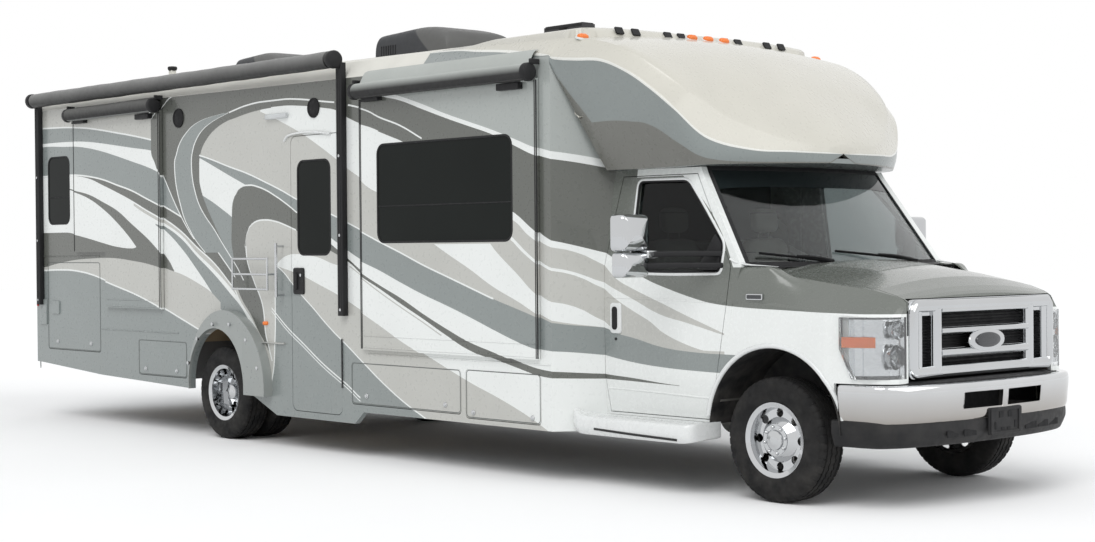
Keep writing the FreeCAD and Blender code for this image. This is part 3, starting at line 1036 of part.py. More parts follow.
# ---------------------------------------------------------------- doors and glass of the coach
entry_glass = ("entry_glass_rear_x", "entry_glass_front_x", "entry_glass_low", "entry_glass_top", "window_corner")
finish("entry_door", panel("EntryDoor", "XZ", "-half_width", "wall_thick", None, [entry_glass],
                           ("entry_rear_x", "entry_front_x", "entry_low", "entry_top", "door_corner")))
finish("entry_door_glass", panel("EntryGlass", "XZ", "-half_width + 4", "glass_thick", None, (), entry_glass))
for side_name, rows, start in (("right", HATCHES_RIGHT, "-half_width"), ("left", HATCHES_LEFT, "half_width - hatch_thick")):
    for name, rear, front_end, low, top_edge in rows:
        finish("hatch_%s_%s" % (side_name, name),
               panel("Hatch%s%s" % (side_name, name), "XZ", start, "hatch_thick", None, (),
                     (str(rear), str(front_end), str(low), str(top_edge), "hatch_corner")))
panes = [panel("SmallPane", "XZ", "-half_width + 4", "glass_thick", None, (), small_window)]
for index, window in enumerate(left_windows):
    panes.append(panel("LeftPane%d" % index, "XZ", "half_width - 4 - glass_thick", "glass_thick", None, (), window))
panes.append(panel("RearPane", "YZ", "coach_rear_x + 4", "glass_thick", None, (),
                   ("-rear_window_half", "rear_window_half", "small_window_low", "small_window_top", "window_corner")))
finish("coach_windows", together("CoachWindows", panes))

# ---------------------------------------------------------------- awning, roof equipment, rear lamps, rails
roller = rod("AwningRoller", ("arm_rear_x", "-awning_y", "awning_z"), "awning_radius", "arm_front_x + arm_width - arm_rear_x", "x")
awning_arms = []
for x in ("arm_rear_x", "arm_front_x"):
    awning_arms.append(block("AwningArm", (x, x + " + arm_width"), ("-half_width - arm_depth", "-half_width - seat_gap"),
                             ("arm_low", "awning_z - 20")))
    awning_arms.append(block("AwningHead", (x, x + " + arm_width"), ("-awning_y", "-half_width - seat_gap"),
                             ("awning_z - 50", "awning_z - 10")))
finish("awning", fuse("Awning", [roller] + awning_arms))

cooler_z = wall_top_at(mm("cooler_rear_x")) + mm("crown_rise")
half, rear, length, height = mm("cooler_half"), mm("cooler_rear_x"), mm("cooler_length"), mm("cooler_height")
cooler_side = [(rear, cooler_z - 18), (rear + length, cooler_z - 18), (rear + length, cooler_z + 70),
               (rear + length - 90, cooler_z + 120), (rear + length * 0.5, cooler_z + height),
               (rear + 40, cooler_z + height - 45), (rear, cooler_z + height - 75)]
cooler = prism(cooler_side, "y", -half, half).cut(parts["roof"].Shape)
finish("roof_air_conditioner", feature("RoofAirConditioner", cooler))
fittings = []
# Each row: rear end, front end, half width, middle across, height over the roof.
for rear_end, front_end, half_span, across, rise in ((-2880, -2300, 300, 0, 110), (-3600, -3200, 200, 0, 90),
                                                     (-4130, -4080, 25, -250, 170), (1000, 1080, 40, 0, 90),
                                                     (880, 1300, 60, 0, 125)):
    crown = wall_top_at(front_end) + mm("crown_rise")
    low = crown - 60 if rise != 125 else crown + 85
    fittings.append(Part.makeBox(front_end - rear_end, 2 * half_span, crown + rise - low,
                                 Vector(rear_end, across - half_span, low)))
whole = fittings[0].fuse(fittings[1:]).cut(parts["roof"].Shape).cut(parts["front_cap"].Shape)
tops = [solid for solid in whole.Solids if solid.BoundBox.ZMax > wall_top_at(0) + mm("crown_rise") + 20]
finish("roof_fittings", feature("RoofFittings", Part.Compound(tops)))

lamps = [rod("TailLamp%d" % index, ("coach_rear_x - 30", y, z), "tail_lamp_radius", "30", "x")
         for index, (y, z) in enumerate(((y, z) for y in ("-half_width + 120", "half_width - 120")
                                         for z in ("skirt_rear_z + 250", "skirt_rear_z + 390", "skirt_rear_z + 530")))]
finish("tail_lamps", together("TailLamps", lamps))

rail_y = "-half_width - rack_reach"
bars = [rod("GrabRail", ("-750", rail_y, "1157"), "rack_bar + 3", "412", "z")]
for z in ("1172", "1545"):
    bars.append(rod("GrabFoot", ("-750", rail_y, z), "rack_bar", "rack_reach - seat_gap", "y"))
rack = []
for z in ("1215", "1330", "1450"):
    rack.append(rod("RackBar", ("-1359", rail_y, z), "rack_bar", "488", "x"))
for x in ("-1359", "-871"):
    rack.append(rod("RackPost", (x, rail_y, "1206"), "rack_bar", "253", "z"))
    rack.append(rod("RackFoot", (x, rail_y, "1330"), "rack_bar", "rack_reach - seat_gap", "y"))
finish("side_rails", together("SideRails", [fuse("GrabHandle", bars), fuse("Rack", rack)]))

# ---------------------------------------------------------------- checks and export
doc.recompute()
for item in doc.Objects:
    if "Invalid" in item.State or "Error" in item.State:
        raise RuntimeError("%s did not build: %s" % (item.Name, item.State))
for label, item in parts.items():
    if item.Shape.isNull() or not item.Shape.isValid() or not item.Shape.Solids:
        raise RuntimeError("%s has no valid solid" % label)
for label, item in parts.items():
    item.Shape.exportStep("parts/%s.step" % label)
    size = item.Shape.BoundBox
    print("%-22s %2d solids  x %7.1f %7.1f  y %7.1f %7.1f  z %7.1f %7.1f  %.4f m3" % (
        label, len(item.Shape.Solids), size.XMin, size.XMax, size.YMin, size.YMax, size.ZMin, size.ZMax,
        item.Shape.Volume / 1e9))
print(len(parts), "sub-parts")
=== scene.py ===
import math

import bpy
import numpy as np
from mathutils import Matrix


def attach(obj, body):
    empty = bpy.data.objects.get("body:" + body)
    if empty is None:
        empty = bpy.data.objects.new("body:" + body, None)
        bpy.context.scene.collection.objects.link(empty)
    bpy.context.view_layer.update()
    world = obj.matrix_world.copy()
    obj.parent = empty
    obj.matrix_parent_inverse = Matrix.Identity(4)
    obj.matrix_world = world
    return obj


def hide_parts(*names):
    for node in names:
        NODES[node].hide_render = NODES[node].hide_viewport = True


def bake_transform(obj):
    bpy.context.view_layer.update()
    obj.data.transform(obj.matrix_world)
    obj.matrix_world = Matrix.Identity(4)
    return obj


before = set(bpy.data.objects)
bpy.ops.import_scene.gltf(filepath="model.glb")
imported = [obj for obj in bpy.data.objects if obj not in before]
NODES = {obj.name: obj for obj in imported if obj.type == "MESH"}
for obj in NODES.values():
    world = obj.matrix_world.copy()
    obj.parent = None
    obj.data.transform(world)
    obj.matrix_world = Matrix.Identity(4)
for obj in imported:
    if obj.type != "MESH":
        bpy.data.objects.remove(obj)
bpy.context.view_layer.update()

bl_info = {
    "name": "Motorhome finishes",
    "version": (1, 0, 0),
    "blender": (4, 5, 0),
    "location": "View3D > Sidebar > Motorhome",
    "description": "Paint, glass, tyres, lamps and trim for a motorhome on a cutaway van chassis",
    "category": "Add Mesh",
}

SIDES = (("right", -1.0), ("left", 1.0))
TO_FRONT, TO_REAR, TO_LEFT, TO_RIGHT, UP = (1, 0, 0), (-1, 0, 0), (0, 1, 0), (0, -1, 0), (0, 0, 1)

# ------------------------------------------------------------------ colours, linear
PAINT = {"white": (0.77, 0.79, 0.775),
         "taupe": (0.475, 0.475, 0.445),
         "panel_grey": (0.36, 0.385, 0.37),
         "blue_grey": (0.225, 0.25, 0.245),
         "olive": (0.105, 0.11, 0.098),
         "cab_olive": (0.135, 0.145, 0.13),
         "cap_beige": (0.56, 0.545, 0.485)}
# Pale line along the cap's crease: a painted highlight where the raised beige lip catches the light
CREASE_HIGHLIGHT_WHITE = (0.74, 0.74, 0.70)
CAP_SHADE = (0.15, 0.15, 0.135)
BLACK = (0.012, 0.012, 0.013)
DUST = (0.42, 0.39, 0.35)


# ------------------------------------------------------------------ shader nodes
class Bench:
    """Adds nodes to one node tree. Each method gives back the new node's main output."""

    def __init__(self, tree):
        self.tree = tree
        self.place = None

    def put(self, socket, value):
        """Sets a socket's own value, or links another socket to it."""
        if isinstance(value, bpy.types.NodeSocket):
            self.tree.links.new(value, socket)
        elif isinstance(value, tuple) and len(value) == 3 and socket.type == "RGBA":
            socket.default_value = value + (1.0,)
        else:
            socket.default_value = value

    def node(self, kind, inputs=(), **settings):
        """A shader node of one kind, with its settings and its inputs."""
        made = self.tree.nodes.new("ShaderNode" + kind)
        for key, value in settings.items():
            setattr(made, key, value)
        for key, value in dict(inputs).items():
            self.put(made.inputs[key], value)
        return made

    def spot(self):
        """The point in the object's own metres."""
        if self.place is None:
            self.place = self.node("TexCoord").outputs["Object"]
        return self.place

    def math(self, operation, *values, clamp=False):
        """One arithmetic step on numbers or sockets."""
        made = self.node("Math", operation=operation, use_clamp=clamp)
        for socket, value in zip(made.inputs, values):
            self.put(socket, value)
        return made.outputs[0]

    def both(self, first, *others):
        """The product of several masks."""
        for other in others:
            first = self.math("MULTIPLY", first, other)
        return first

    def mix(self, share, low, high):
        """low times one less share, plus high times share."""
        return self.node("Mix", {0: share, 6: low, 7: high}, data_type="RGBA").outputs[2]

    def noise(self, scale, detail=2.0, at=None):
        """Noise from 0 to 1, with scale its waves to the metre."""
        return self.node("TexNoise", {"Vector": at or self.spot(), "Scale": scale, "Detail": detail}).outputs["Fac"]

    def spread(self, value, low, high, to_low=0.0, to_high=1.0):
        """value carried from low..high to to_low..to_high, and held at the ends."""
        inputs = {"Value": value, "From Min": low, "From Max": high, "To Min": to_low, "To Max": to_high}
        return self.node("MapRange", inputs).outputs["Result"]

    def axes(self, at=None):
        """The x, y and z of a point."""
        return self.node("SeparateXYZ", {0: at or self.spot()}).outputs

    def curve(self, value, pairs):
        """A smooth curve through pairs of numbers from 0 to 1, read at value."""
        made = self.node("FloatCurve", {"Value": value})
        made.mapping.extend = "HORIZONTAL"
        points = made.mapping.curves[0].points
        pairs = sorted(pairs)
        points[0].location, points[1].location = pairs[0], pairs[-1]
        for pair in pairs[1:-1]:
            points.new(*pair)
        for point in points:
            point.handle_type = "AUTO_CLAMPED"
        made.mapping.update()
        return made.outputs[0]


def new_material(name):
    """An empty material, and the bench that fills it."""
    material = bpy.data.materials.new(name)
    material.use_nodes = True
    material.node_tree.nodes.clear()
    return material, Bench(material.node_tree)


def surface(name, colour, rough=0.5, metal=0.0, coat=0.0, grain=300.0, bump=0.15, mottle=0.08,
            dusty=0.0, depth=0.0006, height=None, **sockets):
    """One finish: a colour that wanders a little, a roughness that wanders with it, fine grain in relief,
    and dust that gathers low down. colour is three numbers, or a function that makes it on the bench."""
    material, bench = new_material(name)
    tint = colour(bench) if callable(colour) else colour
    fine = bench.noise(grain, 3.0)
    broad = bench.noise(2.3, 4.0)
    shade = bench.node("HueSaturation", {"Color": tint, "Value": bench.spread(broad, 0.3, 0.7, 1 - mottle,
                                                                              1 + mottle)})
    tint = shade.outputs[0]
    if dusty:
        low = bench.spread(bench.axes()[2], 0.2, 1.1, 1.0, 0.0)
        tint = bench.mix(bench.both(low, bench.spread(bench.noise(9.0, 5.0), 0.35, 0.75), dusty), tint, DUST)
    relief = height(bench) if height else fine
    lifted = bench.node("Bump", {"Height": relief, "Strength": bump, "Distance": depth}).outputs[0]
    roughness = bench.spread(bench.noise(31.0, 4.0), 0.3, 0.7, rough * 0.82, min(1.0, rough * 1.2))
    inputs = {"Base Color": tint, "Roughness": roughness, "Normal": lifted, "Metallic": metal, "Coat Weight": coat,
              "Specular IOR Level": 0.5 if metal or coat else 0.2}
    shader = bench.node("BsdfPrincipled", {**inputs, **sockets})
    bench.tree.links.new(shader.outputs[0], bench.node("OutputMaterial").inputs[0])
    return material


# ------------------------------------------------------------------ body paint
# Every stripe edge is a smooth line through (x, z) pairs in centimetres, read from the rear to the front.
X_LOW, X_SPAN, Z_SPAN = -4.9, 9.8, 3.3


def pairs_of(flat):
    """A flat row of numbers taken two by two."""
    return [(flat[i], flat[i + 1]) for i in range(0, len(flat), 2)]


class Graphics:
    """Paints flat colour fields on a bench, each laid over the last, bounded by lines z(x) and x(z)."""

    def __init__(self, bench, along, height, colour):
        self.bench = bench
        self.x = bench.math("MULTIPLY_ADD", along, 1 / X_SPAN, -X_LOW / X_SPAN)
        self.z = bench.math("MULTIPLY", height, 1 / Z_SPAN)
        self.colour = colour

    def line(self, flat):
        """The height of a line z(x) at this point."""
        pairs = [((x / 100 - X_LOW) / X_SPAN, z / 100 / Z_SPAN) for x, z in pairs_of(flat)]
        return self.bench.curve(self.x, pairs)

    def upright(self, flat):
        """The x of a line x(z) at this point."""
        pairs = [(z / 100 / Z_SPAN, (x / 100 - X_LOW) / X_SPAN) for x, z in pairs_of(flat)]
        return self.bench.curve(self.z, pairs)

    def test(self, word, value):
        """1 on the named side of a line or a limit, and 0 on the other."""
        bench = self.bench
        if word in ("below", "above"):
            edge = self.line(value)
            return bench.math("LESS_THAN" if word == "below" else "GREATER_THAN", self.z, edge)
        if word in ("left", "right"):
            edge = self.upright(value)
            return bench.math("LESS_THAN" if word == "left" else "GREATER_THAN", self.x, edge)
        if word in ("from_x", "to_x"):
            limit = (value / 100 - X_LOW) / X_SPAN
            return bench.math("GREATER_THAN" if word == "from_x" else "LESS_THAN", self.x, limit)
        limit = value / 100 / Z_SPAN
        return bench.math("GREATER_THAN" if word == "from_z" else "LESS_THAN", self.z, limit)

    def field(self, colour, **bounds):
        """Lays a colour where every bound holds: the product of their tests."""
        masks = [self.test(word.rstrip("_"), value) for word, value in bounds.items()]
        self.colour = self.bench.mix(self.bench.both(*masks), self.colour, colour)

    def pin(self, flat, colour=None, half=0.7, upright=False):
        """A thin stripe along a line, between its ends."""
        pairs = pairs_of(flat)
        if upright:
            near = self.bench.math("COMPARE", self.x, self.upright(flat), half / 100 / X_SPAN)
            low, high = min(p[1] for p in pairs), max(p[1] for p in pairs)
            ends = (self.test("from_z", low), self.test("to_z", high))
        else:
            near = self.bench.math("COMPARE", self.z, self.line(flat), half / 100 / Z_SPAN)
            ends = (self.test("from_x", pairs[0][0]), self.test("to_x", pairs[-1][0]))
        self.colour = self.bench.mix(self.bench.both(near, *ends), self.colour, colour or PAINT["white"])


REAR_1 = (-490, 266, -460, 265, -425, 264, -400, 262.5, -375, 260.5, -350, 257.5, -325, 254, -300, 250.5, -266,
          245, -240, 240)
REAR_W_TOP = (-490, 251, -460, 251, -400, 250, -375, 248.5, -350, 246, -325, 243, -300, 240, -266, 236, -240, 231)
REAR_W_LOW = (-490, 248, -460, 248, -425, 246.5, -400, 245.5, -375, 243, -350, 239, -325, 234, -300, 228.5, -275,
              223,
              -260, 219, -240, 212)
REAR_2 = (-490, 221, -417, 220.5, -400, 220, -375, 218, -350, 214.5, -325, 209, -300, 203.5, -275, 196, -250, 188.5,
          -225, 180, -200, 171, -185, 162, -175, 155.5, -160, 144, -145, 132, -140, 128)
REAR_3 = (-490, 219.5, -417, 219, -400, 218.5, -375, 215.5, -350, 209, -325, 202, -300, 194.5, -275, 186, -250, 178,
          -225, 168, -200, 154.5, -175, 142, -150, 125, -125, 107, -115, 100)
REAR_4 = (-300, 192.5, -290, 188, -250, 174.5, -225, 165, -200, 150, -175, 137, -150, 122, -125, 103, -115, 93)
TAIL_TOP = (-260, 174.5, -250, 172, -225, 162, -200, 147, -175, 133, -150, 117, -135, 107, -120, 92)
TAIL_LOW = (-260, 173.5, -250, 169, -225, 154.5, -200, 136, -185, 124, -175, 115, -165, 105, -150, 92)
SWOOSH_TOP = (-417, 208.5, -400, 206, -375, 202, -350, 195, -325, 187, -300, 175, -275, 163, -265, 157.5, -250, 148,
              -240, 140, -236, 134.5)
SWOOSH_LOW = (-417, 207.5, -400, 204.5, -375, 198.5, -350, 189, -325, 176.5, -300, 161, -292, 155, -280, 148, -236,
              134)
BAND_TOP = (-490, 169, -425, 169, -400, 166.5, -375, 163, -350, 159, -325, 155.5, -300, 154, -285, 157, -275, 159,
            -265, 155, -250, 148, -236, 134.5)
BAND_LOW = (-490, 137, -460, 138, -450, 139.5, -425, 142.5, -400, 144.5, -375, 145.5, -350, 146, -325, 145.5,
            -300, 143.5, -275, 141, -250, 137, -236, 134.5, -225, 132.5, -200, 125.5, -180, 118.5, -165, 110)
REAR_5 = (-490, 134, -462, 134.5, -450, 135, -425, 135.2, -400, 134, -375, 131, -350, 126, -325, 121, -300, 116,
          -275, 110, -250, 103, -225, 95.5, -200, 88, -160, 76, -110, 60)
SEAM_LEFT = (-204, 160, -205, 163, -210, 166, -225, 181, -240, 199, -250, 212, -255, 217, -260, 225, -266, 235,
             -266, 262, -266, 300)
OUTER_C = (-187, 150, -196, 156, -205, 163, -210, 168, -218, 177, -225, 190, -231, 205, -233, 215, -233.5, 224,
           -230, 232, -225, 240, -215, 248, -200, 255, -175, 259.5, -150, 261)
INNER_C = (-131, 128, -140, 138, -150, 147, -160, 156, -175, 170, -185, 178, -195, 188, -202, 200, -206, 212,
           -207, 224, -205, 233, -200, 241, -190, 249, -175, 255, -150, 261)
RING = (-131, 127, -140, 136, -150, 146, -160, 157, -175, 175, -185, 188, -192, 200, -195, 210, -195, 220, -193,
        230,
        -185, 240, -170, 249, -150, 255, -125, 258.5)
CROWN = (-150, 261, -125, 265, -100, 266.5, -75, 266.5, -50, 265, -25, 262, -7, 260)
ROOFWARD = (-195, 252, -150, 255, -125, 258.5, -110, 260, -90, 261, -75, 261, -50, 259.5, -35, 258, -20, 256, -7,
            254, 10, 247,
            25, 242, 40, 238.5, 50, 235.5, 65, 231, 75, 228, 120, 210, 195, 175.5, 200, 173, 210, 166.5, 225, 158,
            235, 154, 248.5, 148, 260, 143, 275, 136, 290, 130, 300, 127, 325, 120.5, 340, 117.5, 360, 115.5,
            400, 114, 450, 112.5)
SHOULDER = (-105, 259, -100, 257.5, -75, 249, -50, 239.5, -25, 228, -5, 218, 10, 210, 25, 203, 40, 195, 50, 192,
            100, 186, 150, 180, 195, 170, 210, 160, 225, 153, 235, 150, 248.5, 140, 260, 131, 275, 125, 300, 116.5,
            320, 109.5, 340, 103, 352, 99)
SHOULDER_LOW = (193, 160, 200, 155, 210, 148, 225, 140, 235, 137, 248.5, 129, 275, 118.5, 300, 109, 320, 105, 352,
                98)
SHOULDER_NEXT = (193, 157.5, 200, 152, 210, 145.5, 225, 138, 235, 135, 248.5, 125, 260, 118, 275, 111, 290, 104.5,
                 300, 98.5,
                 320, 91.5, 335, 88)
WEDGE_TOP = (172, 155, 175, 152, 200, 134, 215, 123, 225, 118, 235, 115, 248.5, 104, 260, 97)
WEDGE_LOW = (110, 156, 125, 149, 150, 138, 175, 126, 200, 116.5, 220, 108, 235, 103, 248.5, 100, 260, 96.5)
HEART_TOP = (-195, 229, -190, 228, -175, 224.5, -150, 218, -125, 212, -100, 204.5, -75, 196.5, -57, 190, -10, 177,
             10, 170.5,
             25, 165.5, 50, 157, 75, 149, 100, 140.5, 125, 133, 150, 125.5, 175, 118, 200, 111.5, 215, 107.5,
             235, 102, 248.5, 100, 260, 96.5, 275, 94, 300, 89, 325, 87, 350, 86.5, 362, 86.5)
HEART_W = (-195, 227, -192, 226, -175, 220, -150, 211, -130, 204, -126, 202.5)
HEART_W_LOW = (-195, 198, -187, 195, -175, 190.5, -160, 184, -149, 179, -140, 174)
BLOB_TOP = (-150, 180, -143, 194, -137, 200, -127, 202.5, -120, 202.5, -110, 201, -100, 198.5, -85, 193, -70, 186.5,
            -55, 179, -30, 166.5, -15, 157, 10, 144, 25, 136, 50, 126, 75, 117, 100, 106.5, 125, 97, 150, 88.5,
            175, 82.5, 200, 76.5, 215, 73.5, 230, 72, 250, 70, 275, 68.5, 300, 66.5, 314, 65.8)
BLOB_LEFT = (-90, 62, -95, 72, -102, 80, -110, 88, -120, 100, -135, 114.5, -143, 130, -145, 145, -148, 160,
             -147.5, 170, -147, 180, -146, 188, -143, 195, -137, 200, -127, 202.5)
BLOB_RIGHT = (-92, 66, -97, 78, -100, 85, -105, 110, -116, 127, -125, 142, -127.5, 155, -125, 166, -121, 170.5)
BLOB_INNER = (-129, 150, -125, 166, -120, 171, -110, 174.5, -100, 175, -85, 173.5, -70, 170, -58, 166.5, -40, 160,
              -20, 153, 10, 142, 25, 133.5, 50, 123.5, 75, 113, 100, 103, 125, 92.5, 150, 83, 175, 77.5, 200, 72,
              215, 69, 235, 67.5, 275, 66.5, 314, 65.5)
HEART_LOW = (-57, 180, -30, 168.5, -10, 159, 10, 150, 25, 144, 50, 136.5, 75, 128, 100, 120, 125, 113, 150, 105.5,
             175, 97.5, 200, 90, 215, 86.5, 235, 84.5, 250, 82, 275, 78.5, 300, 76.5, 325, 75.5, 362, 75)
SILL_TOP = (-85, 140, -75, 146, -60, 148.5, -45, 147.5, -30, 146, -10, 141, 5, 139)
SILL_LOW = (-85, 140, -78, 138, -70, 136.5, -50, 132, -25, 124.5, -7, 119, 10, 113, 25, 107, 40, 101, 50, 97,
            75, 86.5, 100, 77.5, 125, 68.5, 150, 60, 175, 52.5, 200, 44, 215, 38, 225, 33.5, 240, 27)
FOOT = (-86, 141, -85, 140, -75, 134.5, -65, 127, -50, 116.5, -35, 107, -25, 100, -10, 90.5, 5, 82, 25, 70, 50,
        55.5,
        75, 43, 98, 33.5, 115, 26)
BLADE_LEFT = (-93, 50, -100, 68, -110, 85, -120, 97, -135, 110, -145, 122)
BLADE_RIGHT = (-93, 50, -90, 60, -88, 80, -87, 100, -87, 115, -86, 138)
ROAD_PIN = (-92, 107, -70, 92, -50, 81, -25, 67, -5, 57.5, 5, 53, 22, 43.5)
UPPER_TOP = (40, 267, 55, 264, 75, 259, 100, 252, 125, 244, 150, 237, 175, 230, 200, 222, 215, 217, 235, 212,
             248.5, 207)
UPPER_LOW = (40, 264, 50, 261, 75, 256, 100, 248.5, 125, 241, 150, 234, 175, 227, 200, 217.5, 215, 212, 235, 207,
             248.5, 202)


def side_graphics(bench, along, height):
    """The sweeping stripes of the side, as one colour."""
    art = Graphics(bench, along, height, PAINT["taupe"])
    art.field(PAINT["blue_grey"], below=REAR_1)
    art.field(PAINT["white"], below=REAR_W_TOP)
    art.field(PAINT["blue_grey"], below=REAR_W_LOW)
    art.field(PAINT["olive"], below=REAR_2)
    art.field(PAINT["taupe"], below=REAR_3)
    art.field(PAINT["white"], below=REAR_4, from_x=-300, to_x=-115)
    art.field(PAINT["white"], below=REAR_3, to_x=-296)
    art.field(PAINT["blue_grey"], below=TAIL_TOP, above=TAIL_LOW, from_x=-260)
    art.field(PAINT["olive"], below=SWOOSH_TOP, above=SWOOSH_LOW, from_x=-417, to_x=-236)
    art.field(PAINT["olive"], below=BAND_TOP, to_x=-236)
    art.field(PAINT["taupe"], below=BAND_LOW, to_x=-165)
    art.field(PAINT["blue_grey"], below=REAR_5)
    for flat in (REAR_1, REAR_2, REAR_3, REAR_5):
        art.pin(flat)
    art.field(PAINT["olive"], right=SEAM_LEFT, from_z=160)
    art.pin((-266, 262, -250, 273, -240, 278.5, -225, 281.5, -210, 282.5), half=0.6)
    art.pin((-204, 161, -210, 166, -225, 181, -240, 199, -250, 212, -257, 220), upright=True)
    art.field(PAINT["blue_grey"], right=OUTER_C, from_z=150, to_z=261)
    art.field(PAINT["olive"], right=INNER_C, from_z=128, to_z=261)
    art.field(PAINT["taupe"], right=RING, from_z=127, below=ROOFWARD)
    art.field(PAINT["taupe"], right=BLOB_LEFT, to_z=127.5)
    art.field(PAINT["white"], above=SHOULDER, below=ROOFWARD, from_x=-105)
    art.field(PAINT["blue_grey"], right=RING, below=HEART_TOP, from_z=127, from_x=-195)
    art.field(PAINT["blue_grey"], right=BLOB_LEFT, below=HEART_TOP, to_z=127.5, to_x=362)
    art.field(PAINT["white"], right=RING, below=HEART_W, above=HEART_W_LOW, to_x=-126)
    art.field(PAINT["white"], below=HEART_LOW, from_x=-57)
    art.field(PAINT["taupe"], above=WEDGE_TOP, below=SHOULDER, from_x=172, to_x=352)
    art.field(PAINT["white"], from_x=352, below=ROOFWARD, above=HEART_TOP)
    art.field(PAINT["white"], from_x=362, to_z=100)
    art.field(PAINT["olive"], below=BLOB_TOP, right=BLOB_LEFT, to_x=314)
    art.field(PAINT["taupe"], below=BLOB_INNER, right=BLOB_RIGHT, from_z=62, to_x=2)
    art.field(PAINT["white"], below=BLOB_INNER, from_x=0)
    art.field(PAINT["white"], below=SILL_TOP, from_x=-86, to_x=5)
    art.field(PAINT["taupe"], below=SILL_LOW, from_x=-86)
    art.field(PAINT["taupe"], right=BLADE_LEFT, left=BLADE_RIGHT, from_z=50, to_z=122)
    art.field(PAINT["olive"], right=BLOB_LEFT, left=BLOB_RIGHT, from_z=66, to_z=142)
    art.field(PAINT["blue_grey"], below=FOOT, right=BLADE_RIGHT, from_x=-90)
    art.field(PAINT["blue_grey"], below=FOOT, from_x=-86)
    art.field(PAINT["white"], below=WEDGE_TOP, above=WEDGE_LOW, from_x=110, to_x=262)
    art.field(PAINT["white"], below=SHOULDER_LOW, above=SHOULDER_NEXT, from_x=193)
    art.field(PAINT["olive"], above=ROOFWARD, from_x=-7)
    art.field(PAINT["panel_grey"], above=UPPER_TOP, from_x=38)
    art.field(PAINT["white"], below=UPPER_TOP, above=UPPER_LOW, from_x=42)
    for flat in (CROWN, ROOFWARD[8:28], HEART_TOP[:34], BLOB_TOP[2:20], BLOB_INNER[:16], FOOT, ROAD_PIN,
                 (10, 257, 25, 254, 40, 250, 50, 246, 75, 238.5, 100, 228)):
        art.pin(flat, half=0.6)
    art.pin((-92, 104.5, -70, 89.5, -50, 78.5, -25, 64.5, -5, 55, 5, 50.5, 22, 41), half=0.4)
    art.pin((10, 139.5, 50, 121, 75, 110.5, 100, 100.5, 120, 92), PAINT["taupe"], half=0.5)
    for flat in (OUTER_C, INNER_C, BLADE_LEFT, BLADE_RIGHT, BLOB_RIGHT[:14]):
        art.pin(flat, half=0.7, upright=True)
    return art.colour


def build_group():
    """The side's stripes as a node group, so that one set of nodes serves every panel."""
    group = bpy.data.node_groups.new("side_stripes", "ShaderNodeTree")
    group.interface.new_socket("Along", in_out="INPUT", socket_type="NodeSocketFloat")
    group.interface.new_socket("Height", in_out="INPUT", socket_type="NodeSocketFloat")
    group.interface.new_socket("Colour", in_out="OUTPUT", socket_type="NodeSocketColor")
    bench = Bench(group)
    ports = group.nodes.new("NodeGroupInput").outputs
    colour = side_graphics(bench, ports[0], ports[1])
    group.links.new(colour, group.nodes.new("NodeGroupOutput").inputs[0])
    return group


def striped(bench):
    """The stripes, read at this point's x and z."""
    group = bpy.data.node_groups.get("side_stripes") or build_group()
    made = bench.tree.nodes.new("ShaderNodeGroup")
    made.node_tree = group
    x, _, z = bench.axes()
    bench.put(made.inputs[0], x)
    bench.put(made.inputs[1], z)
    return made.outputs[0]


PILLAR_EDGE = (362, 134.5, 347, 160, 327, 182, 308, 197, 300, 203)


def cab_skin(bench):
    """The cab: dark above the shoulder line, the side's stripes below it, white windshield pillars and a black
    cowl."""
    x, y, z = bench.axes()
    art = Graphics(bench, x, z, striped(bench))
    art.field(PAINT["cab_olive"], above=ROOFWARD, from_x=230)
    art.field(PAINT["white"], right=PILLAR_EDGE, from_z=139)
    art.field(PAINT["white"], from_z=196, from_x=269)
    across = bench.math("ABSOLUTE", y)
    inboard = bench.math("LESS_THAN", across, 0.96)
    cowl = bench.both(inboard, bench.math("GREATER_THAN", x, 3.42), bench.math("GREATER_THAN", z, 1.31),
                      bench.math("LESS_THAN", x, 3.845), bench.math("LESS_THAN", z, 1.387))
    return bench.mix(cowl, art.colour, BLACK)


def hood_skin(bench):
    """The hood and fenders: dark above the shoulder line, the side's stripes below it."""
    x, _, z = bench.axes()
    art = Graphics(bench, x, z, striped(bench))
    art.field(PAINT["cab_olive"], above=ROOFWARD, from_x=230)
    return art.colour


# ------------------------------------------------------------------ materials of the nodes
def glass(name, tint, rough=0.004, through=0.0, **more):
    """Tinted glass or clear plastic: smooth, with a tint that drifts a little and a faint film in its gloss."""
    material, bench = new_material(name)
    drift = bench.spread(bench.noise(1.7, 2.0), 0.3, 0.7, 0.93, 1.07)
    shade = bench.node("HueSaturation", {"Color": tint, "Value": drift}).outputs[0]
    film = bench.spread(bench.noise(6.0, 3.0), 0.35, 0.7, rough, rough * 2.5)
    inputs = {"Base Color": shade, "Roughness": film, "Transmission Weight": through, "IOR": 1.5, **more}
    shader = bench.node("BsdfPrincipled", inputs)
    bench.tree.links.new(shader.outputs[0], bench.node("OutputMaterial").inputs[0])
    return material


